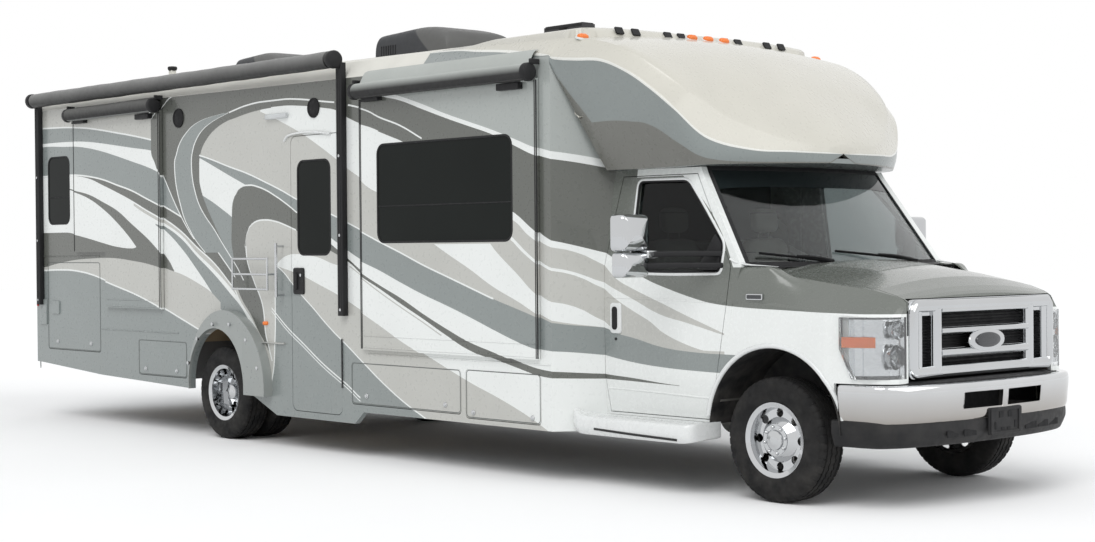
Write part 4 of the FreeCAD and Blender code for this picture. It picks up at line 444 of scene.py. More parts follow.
def cap_paint(bench):
    """The cap: pale above a crease, which carries a light line of painted highlight along its beige lip, then a grey
    band, then a dark field. It is read by how far along the cap and how far up its side a point is."""
    flat = bench.node("UVMap", uv_map="along_and_up").outputs[0]
    along, up, _ = bench.axes(flat)
    crease = bench.curve(along, [(0.0, 0.74), (0.11, 0.72), (0.2, 0.67), (0.3, 0.63), (0.39, 0.585), (0.48, 0.53),
                                 (0.52, 0.50), (1.0, 0.50)])
    foot = bench.curve(along, [(0.0, 0.0), (0.495, 0.0), (0.51, 0.10), (0.53, 0.18), (0.56, 0.215), (0.595, 0.22),
                               (0.64, 0.225), (0.70, 0.235), (0.76, 0.25), (0.83, 0.20), (0.88, 0.12), (0.93, 0.07),
                               (1.0, 0.06)])
    colour = bench.mix(bench.math("LESS_THAN", up, crease), PAINT["cap_beige"], PAINT["blue_grey"])
    colour = bench.mix(bench.math("LESS_THAN", up, foot), colour, CAP_SHADE)
    # The light line just above the crease is a painted highlight along the lip
    near = bench.math("COMPARE", up, bench.math("ADD", crease, 0.012), 0.014)
    return bench.mix(near, colour, CREASE_HIGHLIGHT_WHITE)


def banded(low_z, high_z, low, high):
    """A colour that turns from one to the other between two heights."""
    def tint(bench):
        """The mix of the two colours by the share of the height between them."""
        return bench.mix(bench.spread(bench.axes()[2], low_z, high_z), low, high)
    return tint


def cooler_tint(bench):
    """Dark grey, with a paler slope at the front."""
    x, _, z = bench.axes()
    along = bench.math("ADD", x, bench.math("MULTIPLY", z, 1.1))
    front = bench.spread(along, 3.20, 3.22)
    rear = bench.both(bench.spread(along, 0.86, 0.88), bench.math("LESS_THAN", x, -2.0))
    return bench.mix(bench.math("MAXIMUM", front, rear), (0.050, 0.052, 0.056), (0.125, 0.125, 0.122))


def fittings_tint(bench):
    """Cream roof boxes, and a dark antenna post ahead of them."""
    return bench.mix(bench.math("GREATER_THAN", bench.axes()[0], 0.5), (0.66, 0.65, 0.6), (0.05, 0.05, 0.052))


def make_materials():
    """Every finish by name."""
    made = {
        "coach_paint": surface("coach_paint", striped, 0.3, coat=0.35, grain=60.0, bump=0.02, mottle=0.02,
                               dusty=0.06),
        "cab_paint": surface("cab_paint", cab_skin, 0.26, coat=0.5, grain=60.0, bump=0.02, mottle=0.02, dusty=0.06),
        "nose_paint": surface("nose_paint", hood_skin, 0.26, coat=0.5, grain=60.0, bump=0.02, mottle=0.02,
                              dusty=0.06),
        "roof_skin": surface("roof_skin", (0.66, 0.65, 0.6), 0.5, grain=180.0, bump=0.2),
        "cap_gel": surface("cap_gel", cap_paint, 0.3, coat=0.3, grain=50.0, bump=0.02, mottle=0.03),
        "brow_gel": surface("brow_gel", PAINT["cap_beige"], 0.32, coat=0.3, grain=50.0, bump=0.02, mottle=0.03),
        "rubber": surface("rubber", (0.011, 0.011, 0.0115), 0.75, grain=240.0, bump=0.3, mottle=0.25, dusty=0.06),
        "chrome": surface("chrome", (0.56, 0.57, 0.58), 0.07, metal=1.0, grain=9.0, bump=0.02, mottle=0.03),
        "bright_steel": surface("bright_steel", (0.55, 0.56, 0.57), 0.2, metal=1.0, grain=200.0, bump=0.06),
        "cast_steel": surface("cast_steel", (0.2, 0.2, 0.2), 0.55, metal=0.7, grain=220.0, bump=0.5, mottle=0.2,
                              dusty=0.4),
        "chassis_black": surface("chassis_black", (0.02, 0.02, 0.021), 0.55, grain=260.0, bump=0.3, mottle=0.25,
                                 dusty=0.3),
        "engine_alloy": surface("engine_alloy", (0.28, 0.28, 0.27), 0.5, metal=0.6, grain=160.0, bump=0.5,
                                mottle=0.2, dusty=0.4),
        "moulded_black": surface("moulded_black", (0.018, 0.018, 0.019), 0.5, grain=500.0, bump=0.25, mottle=0.12,
                                 dusty=0.05),
        "mesh_black": surface("mesh_black", (0.012, 0.012, 0.013), 0.6, grain=300.0, bump=0.3, mottle=0.15),
        "seal_rubber": surface("seal_rubber", (0.02, 0.02, 0.021), 0.65, grain=420.0, bump=0.25, mottle=0.15),
        "floor_board": surface("floor_board", (0.42, 0.33, 0.22), 0.6, grain=60.0, bump=0.25, mottle=0.2),
        "locker_grey": surface("locker_grey", (0.18, 0.18, 0.18), 0.8, grain=300.0, bump=0.5, mottle=0.15),
        "cab_plastic": surface("cab_plastic", (0.16, 0.155, 0.145), 0.6, grain=500.0, bump=0.35, mottle=0.08),
        "seat_cloth": surface("seat_cloth", (0.28, 0.265, 0.235), 0.85, grain=700.0, bump=0.5, mottle=0.1),
        "gel_white": surface("gel_white", (0.72, 0.735, 0.73), 0.28, coat=0.3, grain=50.0, bump=0.02, mottle=0.03,
                             dusty=0.08),
        "alloy_rail": surface("alloy_rail", (0.62, 0.62, 0.60), 0.32, metal=0.8, grain=300.0, bump=0.1),
        # Awning roll: dark grey vinyl whose top is painted paler as light from above, and whose underside is painted
        # darker as shade
        "awning_vinyl": surface("awning_vinyl", banded(2.86, 2.955, (0.045, 0.045, 0.044), (0.22, 0.22, 0.215)),
                                0.5, grain=260.0,
                                bump=0.2, mottle=0.1),
        # Topper rolls: grey vinyl painted paler on top as light from above and darker below as shade
        "topper_vinyl": surface("topper_vinyl", banded(2.62, 2.74, (0.05, 0.05, 0.05), (0.33, 0.34, 0.33)), 0.5,
                                grain=260.0,
                                bump=0.2, mottle=0.08),
        "speaker_cloth": surface("speaker_cloth", (0.02, 0.02, 0.021), 0.8, grain=900.0, bump=0.8, mottle=0.1),
        "flare_grey": surface("flare_grey", (0.27, 0.29, 0.28), 0.32, coat=0.3, grain=50.0, bump=0.02, mottle=0.03,
                              dusty=0.15),
        "seam_grey": surface("seam_grey", (0.13, 0.14, 0.135), 0.6, grain=300.0, bump=0.2, mottle=0.1),
        "fittings_skin": surface("fittings_skin", fittings_tint, 0.5, grain=180.0, bump=0.2),
        "cooler_shell": surface("cooler_shell", cooler_tint, 0.5, grain=300.0, bump=0.3, mottle=0.08),
        # Bumper chrome: warm and dark low down, pale and cool high up, a painted reflection of the ground below and the
        # sky above
        "bumper_chrome": surface("bumper_chrome", banded(0.50, 0.715, (0.37, 0.345, 0.32), (0.64, 0.65, 0.66)),
                                 0.09, metal=1.0,
                                 grain=9.0, bump=0.02, mottle=0.03),
        "seat_cord": surface("seat_cord", (0.12, 0.115, 0.105), 0.8, grain=900.0, bump=0.4, mottle=0.1),
        # Topper fabric: pale grey cloth on top, turning near black under the roll, where the dark is painted shade
        "topper_cloth_front": surface("topper_cloth_front", banded(2.640, 2.700, (0.035, 0.035, 0.035),
                                                                   (0.43, 0.45, 0.43)), 0.7,
                                      grain=700.0, bump=0.25, mottle=0.05),
        "topper_cloth_rear": surface("topper_cloth_rear", banded(2.700, 2.780, (0.035, 0.035, 0.035),
                                                                 (0.14, 0.14, 0.135)), 0.7,
                                     grain=700.0, bump=0.25, mottle=0.05),
        "cooler_grey": surface("cooler_grey", (0.075, 0.078, 0.082), 0.5, grain=300.0, bump=0.3, mottle=0.1),
        "coach_glass": glass("coach_glass", (0.012, 0.014, 0.013), IOR=1.16),
        "cab_glass": glass("cab_glass", (0.17, 0.19, 0.19), through=1.0, IOR=1.25),
        "windshield_glass": glass("windshield_glass", (0.66, 0.72, 0.72), through=1.0, IOR=1.45),
        "shade_glass": glass("shade_glass", (0.008, 0.012, 0.013), rough=0.01),
        "mirror_glass": surface("mirror_glass", (0.62, 0.64, 0.66), 0.05, metal=1.0, grain=20.0, bump=0.01,
                                mottle=0.02),
        "clear_lens": glass("clear_lens", (0.9, 0.92, 0.93), through=0.9),
        "frosted": glass("frosted", (0.75, 0.77, 0.78), rough=0.25, through=0.4),
        "red_lens": glass("red_lens", (0.45, 0.012, 0.01), rough=0.12),
        "amber_lens": glass("amber_lens", (0.85, 0.2, 0.03), rough=0.12),
        "reflector": surface("reflector", (0.60, 0.61, 0.62), 0.14, metal=1.0, grain=28.0, bump=0.6, depth=0.004,
                             mottle=0.2),
        "emblem_plate": surface("emblem_plate", (0.05, 0.052, 0.056), 0.25, metal=0.6, coat=0.5, grain=80.0,
                                bump=0.02),
    }
    return made


FINISH_OF = {
    "coach_paint": "wall_right wall_left wall_rear corner_panels slide_front slide_rear entry_door hatch_right_bedroom "
                   "hatch_right_rear hatch_right_middle hatch_right_front hatch_left_rear hatch_left_middle",
    "cab_paint": "cab_shell cab_door_right cab_door_left",
    "nose_paint": "front_fenders hood",
    "roof_skin": "roof",
    "fittings_skin": "roof_fittings",
    "cap_gel": "front_cap",
    "rubber": "front_tyre_right front_tyre_left rear_tyres_right rear_tyres_left",
    "chrome": "front_wheel_right front_wheel_left rear_wheels_right rear_wheels_left grille front_bumper "
              "mirror_right mirror_left",
    "cast_steel": "knuckle_right knuckle_left",
    "chassis_black": "front_axle rear_axle chassis_frame tanks",
    "engine_alloy": "powertrain",
    "moulded_black": "front_valance awning steering_wheel",
    "floor_board": "coach_floor",
    "locker_grey": "lockers_right lockers_left",
    "cab_plastic": "cab_interior",
    "seat_cloth": "cab_seats",
    "gel_white": "running_boards",
    "flare_grey": "wheel_flares",
    "bright_steel": "side_rails",
    "cooler_grey": "roof_air_conditioner",
    "coach_glass": "coach_windows slide_front_glass entry_door_glass",
    "cab_glass": "cab_glass_right cab_glass_left",
    "windshield_glass": "windshield",
    "clear_lens": "headlamps",
    "red_lens": "tail_lamps",
}


# ------------------------------------------------------------------ shapes
def grid_faces(rows, cols, wrap_rows, wrap_cols):
    """Quads between the neighbouring points of a grid, which may close on itself either way."""
    row, col = np.meshgrid(np.arange(rows if wrap_rows else rows - 1), np.arange(cols if wrap_cols else cols - 1),
                           indexing="ij")
    next_row, next_col = (row + 1) % rows, (col + 1) % cols
    return np.stack([row * cols + col, row * cols + next_col, next_row * cols + next_col, next_row * cols + col],
                    -1).reshape(-1, 4)


def triple(a, b, c):
    """The sum of a dot (b cross c), which is six times a volume."""
    return float((a * np.cross(b, c)).sum())


def shell(rings, wrap=False, ends=True, round_=True, outward=None):
    """A skin over rings of points, joined ring to ring. Its ends are closed, or it wraps from the last ring
    to the first. An open sheet is turned to face outward; a closed one is turned by its signed volume."""
    rings = np.asarray(rings, float)
    rows, cols = rings.shape[:2]
    points = rings.reshape(-1, 3)
    quads = grid_faces(rows, cols, wrap, round_)
    caps = []
    if ends and round_ and not wrap:
        caps = [np.arange(cols)[::-1], np.arange(cols) + (rows - 1) * cols]
    centred = points - points.mean(0)
    corner = centred[quads]
    if outward is None:
        total = triple(corner[:, 0], corner[:, 1], corner[:, 2]) + triple(corner[:, 0], corner[:, 2], corner[:, 3])
        for cap in caps:
            fan = centred[cap]
            total += triple(np.broadcast_to(fan[0], fan[1:-1].shape), fan[1:-1], fan[2:])
    else:
        total = np.cross(corner[:, 2] - corner[:, 0], corner[:, 3] - corner[:, 1]).sum(0) @ np.asarray(outward,
                                                                                                       float)
    if total < 0:
        quads, caps = quads[:, ::-1], [cap[::-1] for cap in caps]
    return points, quads.tolist() + [cap.tolist() for cap in caps]


def join(parts):
    """Several skins as one list of points and faces."""
    points, faces, start = [], [], 0
    for spots, found in parts:
        points.append(spots)
        faces += [[index + start for index in face] for face in found]
        start += len(spots)
    return np.concatenate(points), faces


def smooth_line(spots, count=40, closed=False):
    """A Catmull-Rom line through the spots: on each span, a cubic whose slope at a spot is half the step
    between the spots on either side of it."""
    spots = np.asarray(spots, float)
    padded = np.concatenate([spots[-1:], spots, spots[:2]]) if closed else np.concatenate(
        [2 * spots[:1] - spots[1:2], spots, 2 * spots[-1:] - spots[-2:-1]])
    spans = len(spots) if closed else len(spots) - 1
    t = np.linspace(0, spans, count, endpoint=not closed)
    span = np.minimum(t.astype(int), spans - 1)
    t = (t - span)[:, None]
    a, b, c, d = (padded[span + k] for k in range(4))
    return 0.5 * (2 * b + (c - a) * t + (2 * a - 5 * b + 4 * c - d) * t ** 2 + (3 * b - a - 3 * c + d) * t ** 3)


def carry(path, profile, out, closed=False):
    """A profile carried along a path. Its first number goes sideways and its second along out, which is
    squared to the path at each step."""
    path, profile = np.asarray(path, float), np.asarray(profile, float)
    if closed:
        along = np.roll(path, -1, 0) - np.roll(path, 1, 0)
    else:
        along = np.gradient(path, axis=0)
    along /= np.linalg.norm(along, axis=1, keepdims=True)
    side = np.cross(along, np.broadcast_to(np.asarray(out, float), path.shape))
    side /= np.linalg.norm(side, axis=1, keepdims=True)
    lift = np.cross(side, along)
    return path[:, None] + profile[None, :, :1] * side[:, None] + profile[None, :, 1:] * lift[:, None]


def bar(path, radius, sides=12, closed=False):
    """A round bar along a path: a circle carried along it."""
    path = np.asarray(path, float)
    angle = np.linspace(0, 2 * np.pi, sides, endpoint=False)
    spread = np.ptp(path, axis=0)
    out = np.eye(3)[int(np.argmin(spread))]
    circle = np.stack([np.cos(angle), np.sin(angle)], -1)
    rings = carry(path, circle * (radius if np.isscalar(radius) else 1.0), out, closed)
    if not np.isscalar(radius):
        rings = path[:, None] + (rings - path[:, None]) * np.asarray(radius)[:, None, None]
    return shell(rings, wrap=closed)


def strip(path, width, height, out, closed=False, sink=0.004):
    """A half-round moulding: a raised cosine across its width, carried along a path."""
    across = np.linspace(-1, 1, 9)
    top = np.stack([across * width / 2, height * np.cos(across * np.pi / 2) ** 0.6], -1)
    profile = np.concatenate([top, [[width / 2, -sink], [-width / 2, -sink]]])
    return shell(carry(path, profile, out, closed), wrap=closed)


def turned(profile, centre, axis, steps=48, wrap=False, start=0.0):
    """A profile of (distance along the axis, radius) turned about the axis through the centre."""
    profile = np.asarray(profile, float)
    axis = np.asarray(axis, float) / np.linalg.norm(axis)
    first = np.cross(axis, [0.0, 0.0, 1.0]) if abs(axis[2]) < 0.9 else np.array([1.0, 0.0, 0.0])
    first /= np.linalg.norm(first)
    second = np.cross(axis, first)
    angle = np.linspace(0, 2 * np.pi, steps, endpoint=False) + start
    ring = np.cos(angle)[:, None] * first + np.sin(angle)[:, None] * second
    rings = np.asarray(centre, float) + profile[:, :1, None] * axis + profile[:, 1:, None] * ring[None]
    return shell(rings, wrap=wrap)


def rounded(half_u, half_v, corner, steps=6):
    """A rectangle's outline with quarter-circle corners."""
    corner = max(min(corner, half_u * 0.999, half_v * 0.999), 1e-5)
    angle = np.linspace(0, np.pi / 2, steps)
    arcs = []
    for quarter, (su, sv) in enumerate(((1, 1), (-1, 1), (-1, -1), (1, -1))):
        turn = angle + quarter * np.pi / 2
        arcs.append(np.stack([su * (half_u - corner) + corner * np.cos(turn),
                              sv * (half_v - corner) + corner * np.sin(turn)], -1))
    return np.concatenate(arcs)


def slab(centre, u, v, half_u, half_v, depth, corner=0.01, edge=0.003, crown=0.0, sink=0.0, steps=6):
    """A rounded plate standing on its back: outlines that draw in along a quarter circle at the front edge,
    then rise a little to a crowned middle. u and v are its directions, and it faces u cross v."""
    u, v = np.asarray(u, float), np.asarray(v, float)
    w = np.cross(u, v)
    quarter = np.linspace(0, np.pi / 2, 5)
    insets = [(0.0, -sink)] + [(edge * (1 - np.cos(a)), depth - edge + edge * np.sin(a)) for a in quarter]
    low = min(half_u, half_v)
    insets += [(edge + (low - edge) * s, depth + crown * (1 - (1 - s) ** 2)) for s in (0.25, 0.5, 0.8)]
    rings = [np.asarray(centre) + outline[:, :1] * u + outline[:, 1:] * v + rise * w for inset, rise in insets
             for outline in [rounded(half_u - inset, half_v - inset, corner - inset, steps)]]
    return shell(rings)


def block(low, high, face, corner=0.01, edge=0.004, crown=0.0):
    """A rounded plate between two corners of a box, facing along one axis, as +x or -y."""
    low, high = np.asarray(low, float), np.asarray(high, float)
    axis, sign = "xyz".index(face[1]), 1.0 if face[0] == "+" else -1.0
    u_axis, v_axis = [k for k in range(3) if k != axis]
    u, v = np.eye(3)[u_axis], np.eye(3)[v_axis]
    if np.cross(u, v)[axis] * sign < 0:
        u = -u
    half = (high - low) / 2
    centre = (low + high) / 2
    centre[axis] = low[axis] if sign > 0 else high[axis]
    return slab(centre, u, v, half[u_axis], half[v_axis], 2 * half[axis], corner, edge, crown)


FINISHES = {}


def make(name, parts, finish, body="vehicle", replaces=(), sharp=35.0):
    """A piece from skins, with its finish in its material slot, and its body."""
    points, faces = join(parts)
    mesh = bpy.data.meshes.new(name)
    mesh.from_pydata(points.tolist(), [], faces)
    mesh.validate()
    mesh.polygons.foreach_set("use_smooth", [True] * len(mesh.polygons))
    mesh.set_sharp_from_angle(angle=math.radians(sharp))
    piece = bpy.data.objects.new(name, mesh)
    bpy.context.scene.collection.objects.link(piece)
    mesh.materials.append(FINISHES[finish])
    if body:
        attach(piece, body)
    if replaces:
        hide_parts(*replaces)
    return piece


def window_line(low_u, high_u, low_v, high_v, corner, place, steps=7):
    """The outline of a window as points; place turns (u, v) into a point in space."""
    outline = rounded((high_u - low_u) / 2, (high_v - low_v) / 2, corner, steps)
    outline += [(low_u + high_u) / 2, (low_v + high_v) / 2]
    keep = np.linalg.norm(outline - np.roll(outline, 1, 0), axis=1) > 1e-5
    return place(outline[keep])


def on_side(y):
    """Places (x, z) pairs on a plane across y."""
    return lambda spots: np.stack([spots[:, 0], np.full(len(spots), y), spots[:, 1]], -1)


def on_end(x):
    """Places (y, z) pairs on a plane across x."""
    return lambda spots: np.stack([np.full(len(spots), x), spots[:, 0], spots[:, 1]], -1)


# ------------------------------------------------------------------ wheels
TYRE_RADIUS, TYRE_HALF = 0.372, 0.1115
AXLES = (("front", 3.890, (0.881,)), ("rear", -1.698, (1.136, 0.874)))


def tyre(x, y, outward):
    """A tyre: its section is a smooth line from bead over sidewall to tread, turned about the axle. The tread
    steps down 8 mm at four grooves round it, which weave from side to side, and its shoulders are cut into
    blocks by cross slots."""
    side = smooth_line([(0.080, 0.2045), (0.0925, 0.2075), (0.0985, 0.222), (0.1025, 0.229), (0.1055, 0.236),
                        (0.1102, 0.258), (0.1114, 0.283), (0.1090, 0.310), (0.1035, 0.334), (0.0975, 0.349),
                        (0.0925, 0.3585)], 26)
    ridge = 0.0014 * np.exp(-((side[:, 1] - 0.262) / 0.0016) ** 2) + 0.0012 * np.exp(-((side[:,
            1] - 0.322) / 0.0014) ** 2)
    side[:, 0] -= ridge
    tread = [(0.0885, 0.3635), (0.0835, 0.3672), (0.0760, 0.3694)]
    depth = 0.0085
    for groove, half in ((0.062, 0.0045), (0.0225, 0.0045), (-0.0225, 0.0045), (-0.062, 0.0045)):
        for step, drop in ((half + 0.0012, 0), (half, depth), (-half, depth), (-half - 0.0012, 0)):
            spot = groove + step
            tread.append((spot, 0.3718 - 0.0024 * (spot / 0.08) ** 2 - drop))
    tread += [(-0.0760, 0.3694), (-0.0835, 0.3672), (-0.0885, 0.3635)]
    section = np.concatenate([side, tread, side[::-1] * [-1, 1]])
    section[:, 1] = np.minimum(section[:, 1], TYRE_RADIUS - 0.0003)
    steps = 288
    angle = np.linspace(0, 2 * np.pi, steps, endpoint=False)[None, :]
    along, radius = section[:, :1], section[:, 1:]
    inner = (np.abs(along) < 0.071) & (radius > 0.355)
    along = along + 0.0032 * inner * np.sign(np.sin(48 * angle + np.sign(along) * 0.8)) * (np.abs(along) < 0.03)
    shoulder = (np.abs(section[:, :1]) > 0.066) & (np.abs(section[:, :1]) < 0.099) & (section[:, 1:] > 0.345)
    slot = (np.sin(48 * angle + np.sign(section[:, :1]) * 0.6) > 0.72) * shoulder
    rib = (np.abs(np.sin(24 * angle)) > 0.985) * ((np.abs(section[:, :1]) < 0.056) & (section[:, 1:] > 0.367))
    radius = radius - 0.006 * slot - 0.003 * rib
    rings = np.stack([x + radius * np.cos(angle), y + outward * along + 0 * angle,
                      TYRE_RADIUS + radius * np.sin(angle)], -1)
    return shell(rings, wrap=True)


def dome(spots, x, y, outward, steps=48):
    """A turned piece on a wheel: (distance outward of the wheel's middle, radius) about the axle."""
    return turned(spots, (x, y, TYRE_RADIUS), (0.0, outward, 0.0), steps)


def nut(x, y, outward, ring, angle, low, high, radius):
    """A wheel nut: a hexagon that rounds off to a cone."""
    centre = (x + ring * math.cos(angle), y, TYRE_RADIUS + ring * math.sin(angle))
    spots = [(low, radius), (high - 0.012, radius), (high - 0.008, radius * 0.86), (high - 0.002, radius * 0.55),
             (high, radius * 0.2)]
    return turned(spots, centre, (0.0, outward, 0.0), 12)


class MOTORHOME_OT_wheels(bpy.types.Operator):
    """Tyres with tread, hub covers, wheel nuts and rim edges"""

    bl_idname = "motorhome.wheels"
    bl_label = "Wheels"

    def execute(self, context):
        for axle, x, places in AXLES:
            for name, sign in SIDES:
                body = "front_wheel_%s_body" % name if axle == "front" else "rear_wheels_%s_body" % name
                node = "front_tyre_" + name if axle == "front" else "rear_tyres_" + name
                for index, y in enumerate(places):
                    piece = make("tyre_%s_%s%s" % (axle, name, "_inner" if index else ""),
                                 [tyre(x, sign * y, sign * (-1 if index else 1))], "rubber", body)
                    if not index:
                        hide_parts(node)
                y = sign * places[0]
                turns = np.arange(8) * np.pi / 4 + 0.2
                if axle == "front":
                    hub = [(0.0896, 0.0915), (0.0935, 0.0905), (0.0945, 0.066), (0.0905, 0.064), (0.0905, 0.060),
                           (0.1015, 0.056), (0.1055, 0.046), (0.1062, 0.036), (0.1085, 0.033), (0.1098, 0.026),
                           (0.1103, 0.012), (0.1104, 0.002)]
                    nuts = [nut(x, y, sign, 0.0785, turn, 0.0900, 0.1085, 0.0115) for turn in turns]
                else:
                    hub = [(-0.0485, 0.0915), (-0.045, 0.090), (-0.044, 0.067), (-0.047, 0.066), (-0.030, 0.062),
                           (0.022, 0.060), (0.030, 0.056), (0.032, 0.044), (0.034, 0.040), (0.036, 0.020),
                           (0.0362, 0.002)]
                    nuts = [nut(x, y, sign, 0.0785, turn, -0.046, -0.022, 0.0115) for turn in turns]
                make("hub_cover_%s_%s" % (axle, name), [dome(hub, x, y, sign)], "chrome", body)
                make("wheel_nuts_%s_%s" % (axle, name), nuts, "bright_steel", body)
                lip = [turned([(0.094, 0.2135), (0.0985, 0.2165), (0.1035, 0.2235), (0.1045, 0.2212), (0.1, 0.2135),
                               (0.096, 0.2105)], (x, y, TYRE_RADIUS), (0.0, sign, 0.0), 96, wrap=True)]
                make("rim_edge_%s_%s" % (axle, name), lip, "chrome", body)
        return {"FINISHED"}


# ------------------------------------------------------------------ front cap over the cab
# Each row: distance forward of x 2.29, half width and height of the lower edge, of the crease and of the
# shoulder, and the height of the middle.
CAP_START, CAP_END, CAP_SEAM = 0.95, 3.63, 2.29
CAP_ROWS = [
    (-1.340, 1.290, 2.758, 1.290, 2.762, 1.195, 2.883, 3.023),
    (-0.670, 1.290, 2.7515, 1.290, 2.757, 1.198, 2.876, 2.992),
    (-0.010, 1.290, 2.745, 1.290, 2.751, 1.204, 2.864, 2.950),
    (0.000, 1.290, 2.690, 1.290, 2.738, 1.205, 2.862, 2.948),
    (0.115, 1.150, 2.345, 1.290, 2.722, 1.195, 2.857, 2.930),
    (0.230, 1.010, 2.010, 1.280, 2.712, 1.175, 2.845, 2.905),
    (0.410, 1.005, 2.010, 1.232, 2.695, 1.140, 2.800, 2.862),
    (0.600, 1.000, 2.010, 1.200, 2.615, 1.105, 2.715, 2.795),
    (0.760, 0.995, 2.012, 1.158, 2.505, 1.060, 2.612, 2.712),
    (0.920, 0.980, 2.015, 1.100, 2.365, 0.985, 2.478, 2.600),
    (1.047, 0.900, 2.020, 0.950, 2.190, 0.850, 2.325, 2.480),
    (1.193, 0.660, 2.025, 0.700, 2.115, 0.610, 2.210, 2.335),
    (1.290, 0.400, 2.030, 0.440, 2.105, 0.370, 2.150, 2.225),
    (1.340, 0.120, 2.035, 0.140, 2.100, 0.100, 2.125, 2.150)]


def cap_surface():
    """The cap's outer skin: its sections follow smooth lines along its length. Each section runs from the
    lower edge straight out to the crease, over a raised lip, round the shoulder and over the crown.
    Returns the grid of points, and for each point how far along and how far up it is."""
    table = np.array(CAP_ROWS)
    rows = [np.linspace(table[k], table[k + 1], count)[:-1] for k,
            count in ((0, 8), (1, 8), (2, 3), (3, 6), (4, 6))]
    rows = np.concatenate(rows + [smooth_line(table[5:], 56)])
    run, half_low, low, half_side, crease, half_top, shoulder, middle = (rows[:, k:k + 1] for k in range(8))
    tall = np.clip((crease - low) / 0.12, 0, 1)
    up = np.linspace(0, 1, 14)[None]
    side_y = half_low + (half_side - half_low) * up
    side_z = low + (crease - 0.012 * tall - low) * up
    bulge = 0.012 * np.sin(np.pi * up) * tall
    side_y = side_y + bulge
    lip_at = np.array([0.25, 0.5, 0.75])[None]
    lip_y = half_side - (half_side - half_top) * 0.10 * lip_at + 0.007 * np.sin(np.pi * lip_at) * tall * (run > 0.0)
    lip_z = crease - 0.012 * tall + 0.03 * tall * lip_at
    turn = np.linspace(0.06, 1, 14)[None]
    arc_y = half_top + (half_side - half_top) * (1 - turn) ** 1.55
    arc_z = crease + 0.006 + (shoulder - crease - 0.006) * (1 - (1 - turn) ** 1.35)
    over = np.linspace(0, 1, 15)[None, 1:]
    crown_y = half_top * (1 - over)
    crown_z = shoulder + (middle - shoulder) * (1 - (1 - over) ** 2.1)
    half_y = np.concatenate([side_y, lip_y, arc_y, crown_y], 1)
    half_z = np.concatenate([side_z, lip_z, arc_z, crown_z], 1)
    y = np.concatenate([-half_y, half_y[:, -2::-1]], 1)
    z = np.concatenate([half_z, half_z[:, -2::-1]], 1)
    level = np.concatenate([up[0] * 0.5, 0.5 + 0.05 * lip_at[0], 0.55 + 0.2 * turn[0], 0.75 + 0.25 * over[0]])
    level = np.concatenate([level, level[-2::-1]])
    x = CAP_SEAM + run + 0 * y
    along = (x - CAP_START) / (CAP_END - CAP_START)
    return np.stack([x, y, z], -1), along, np.broadcast_to(level, y.shape)


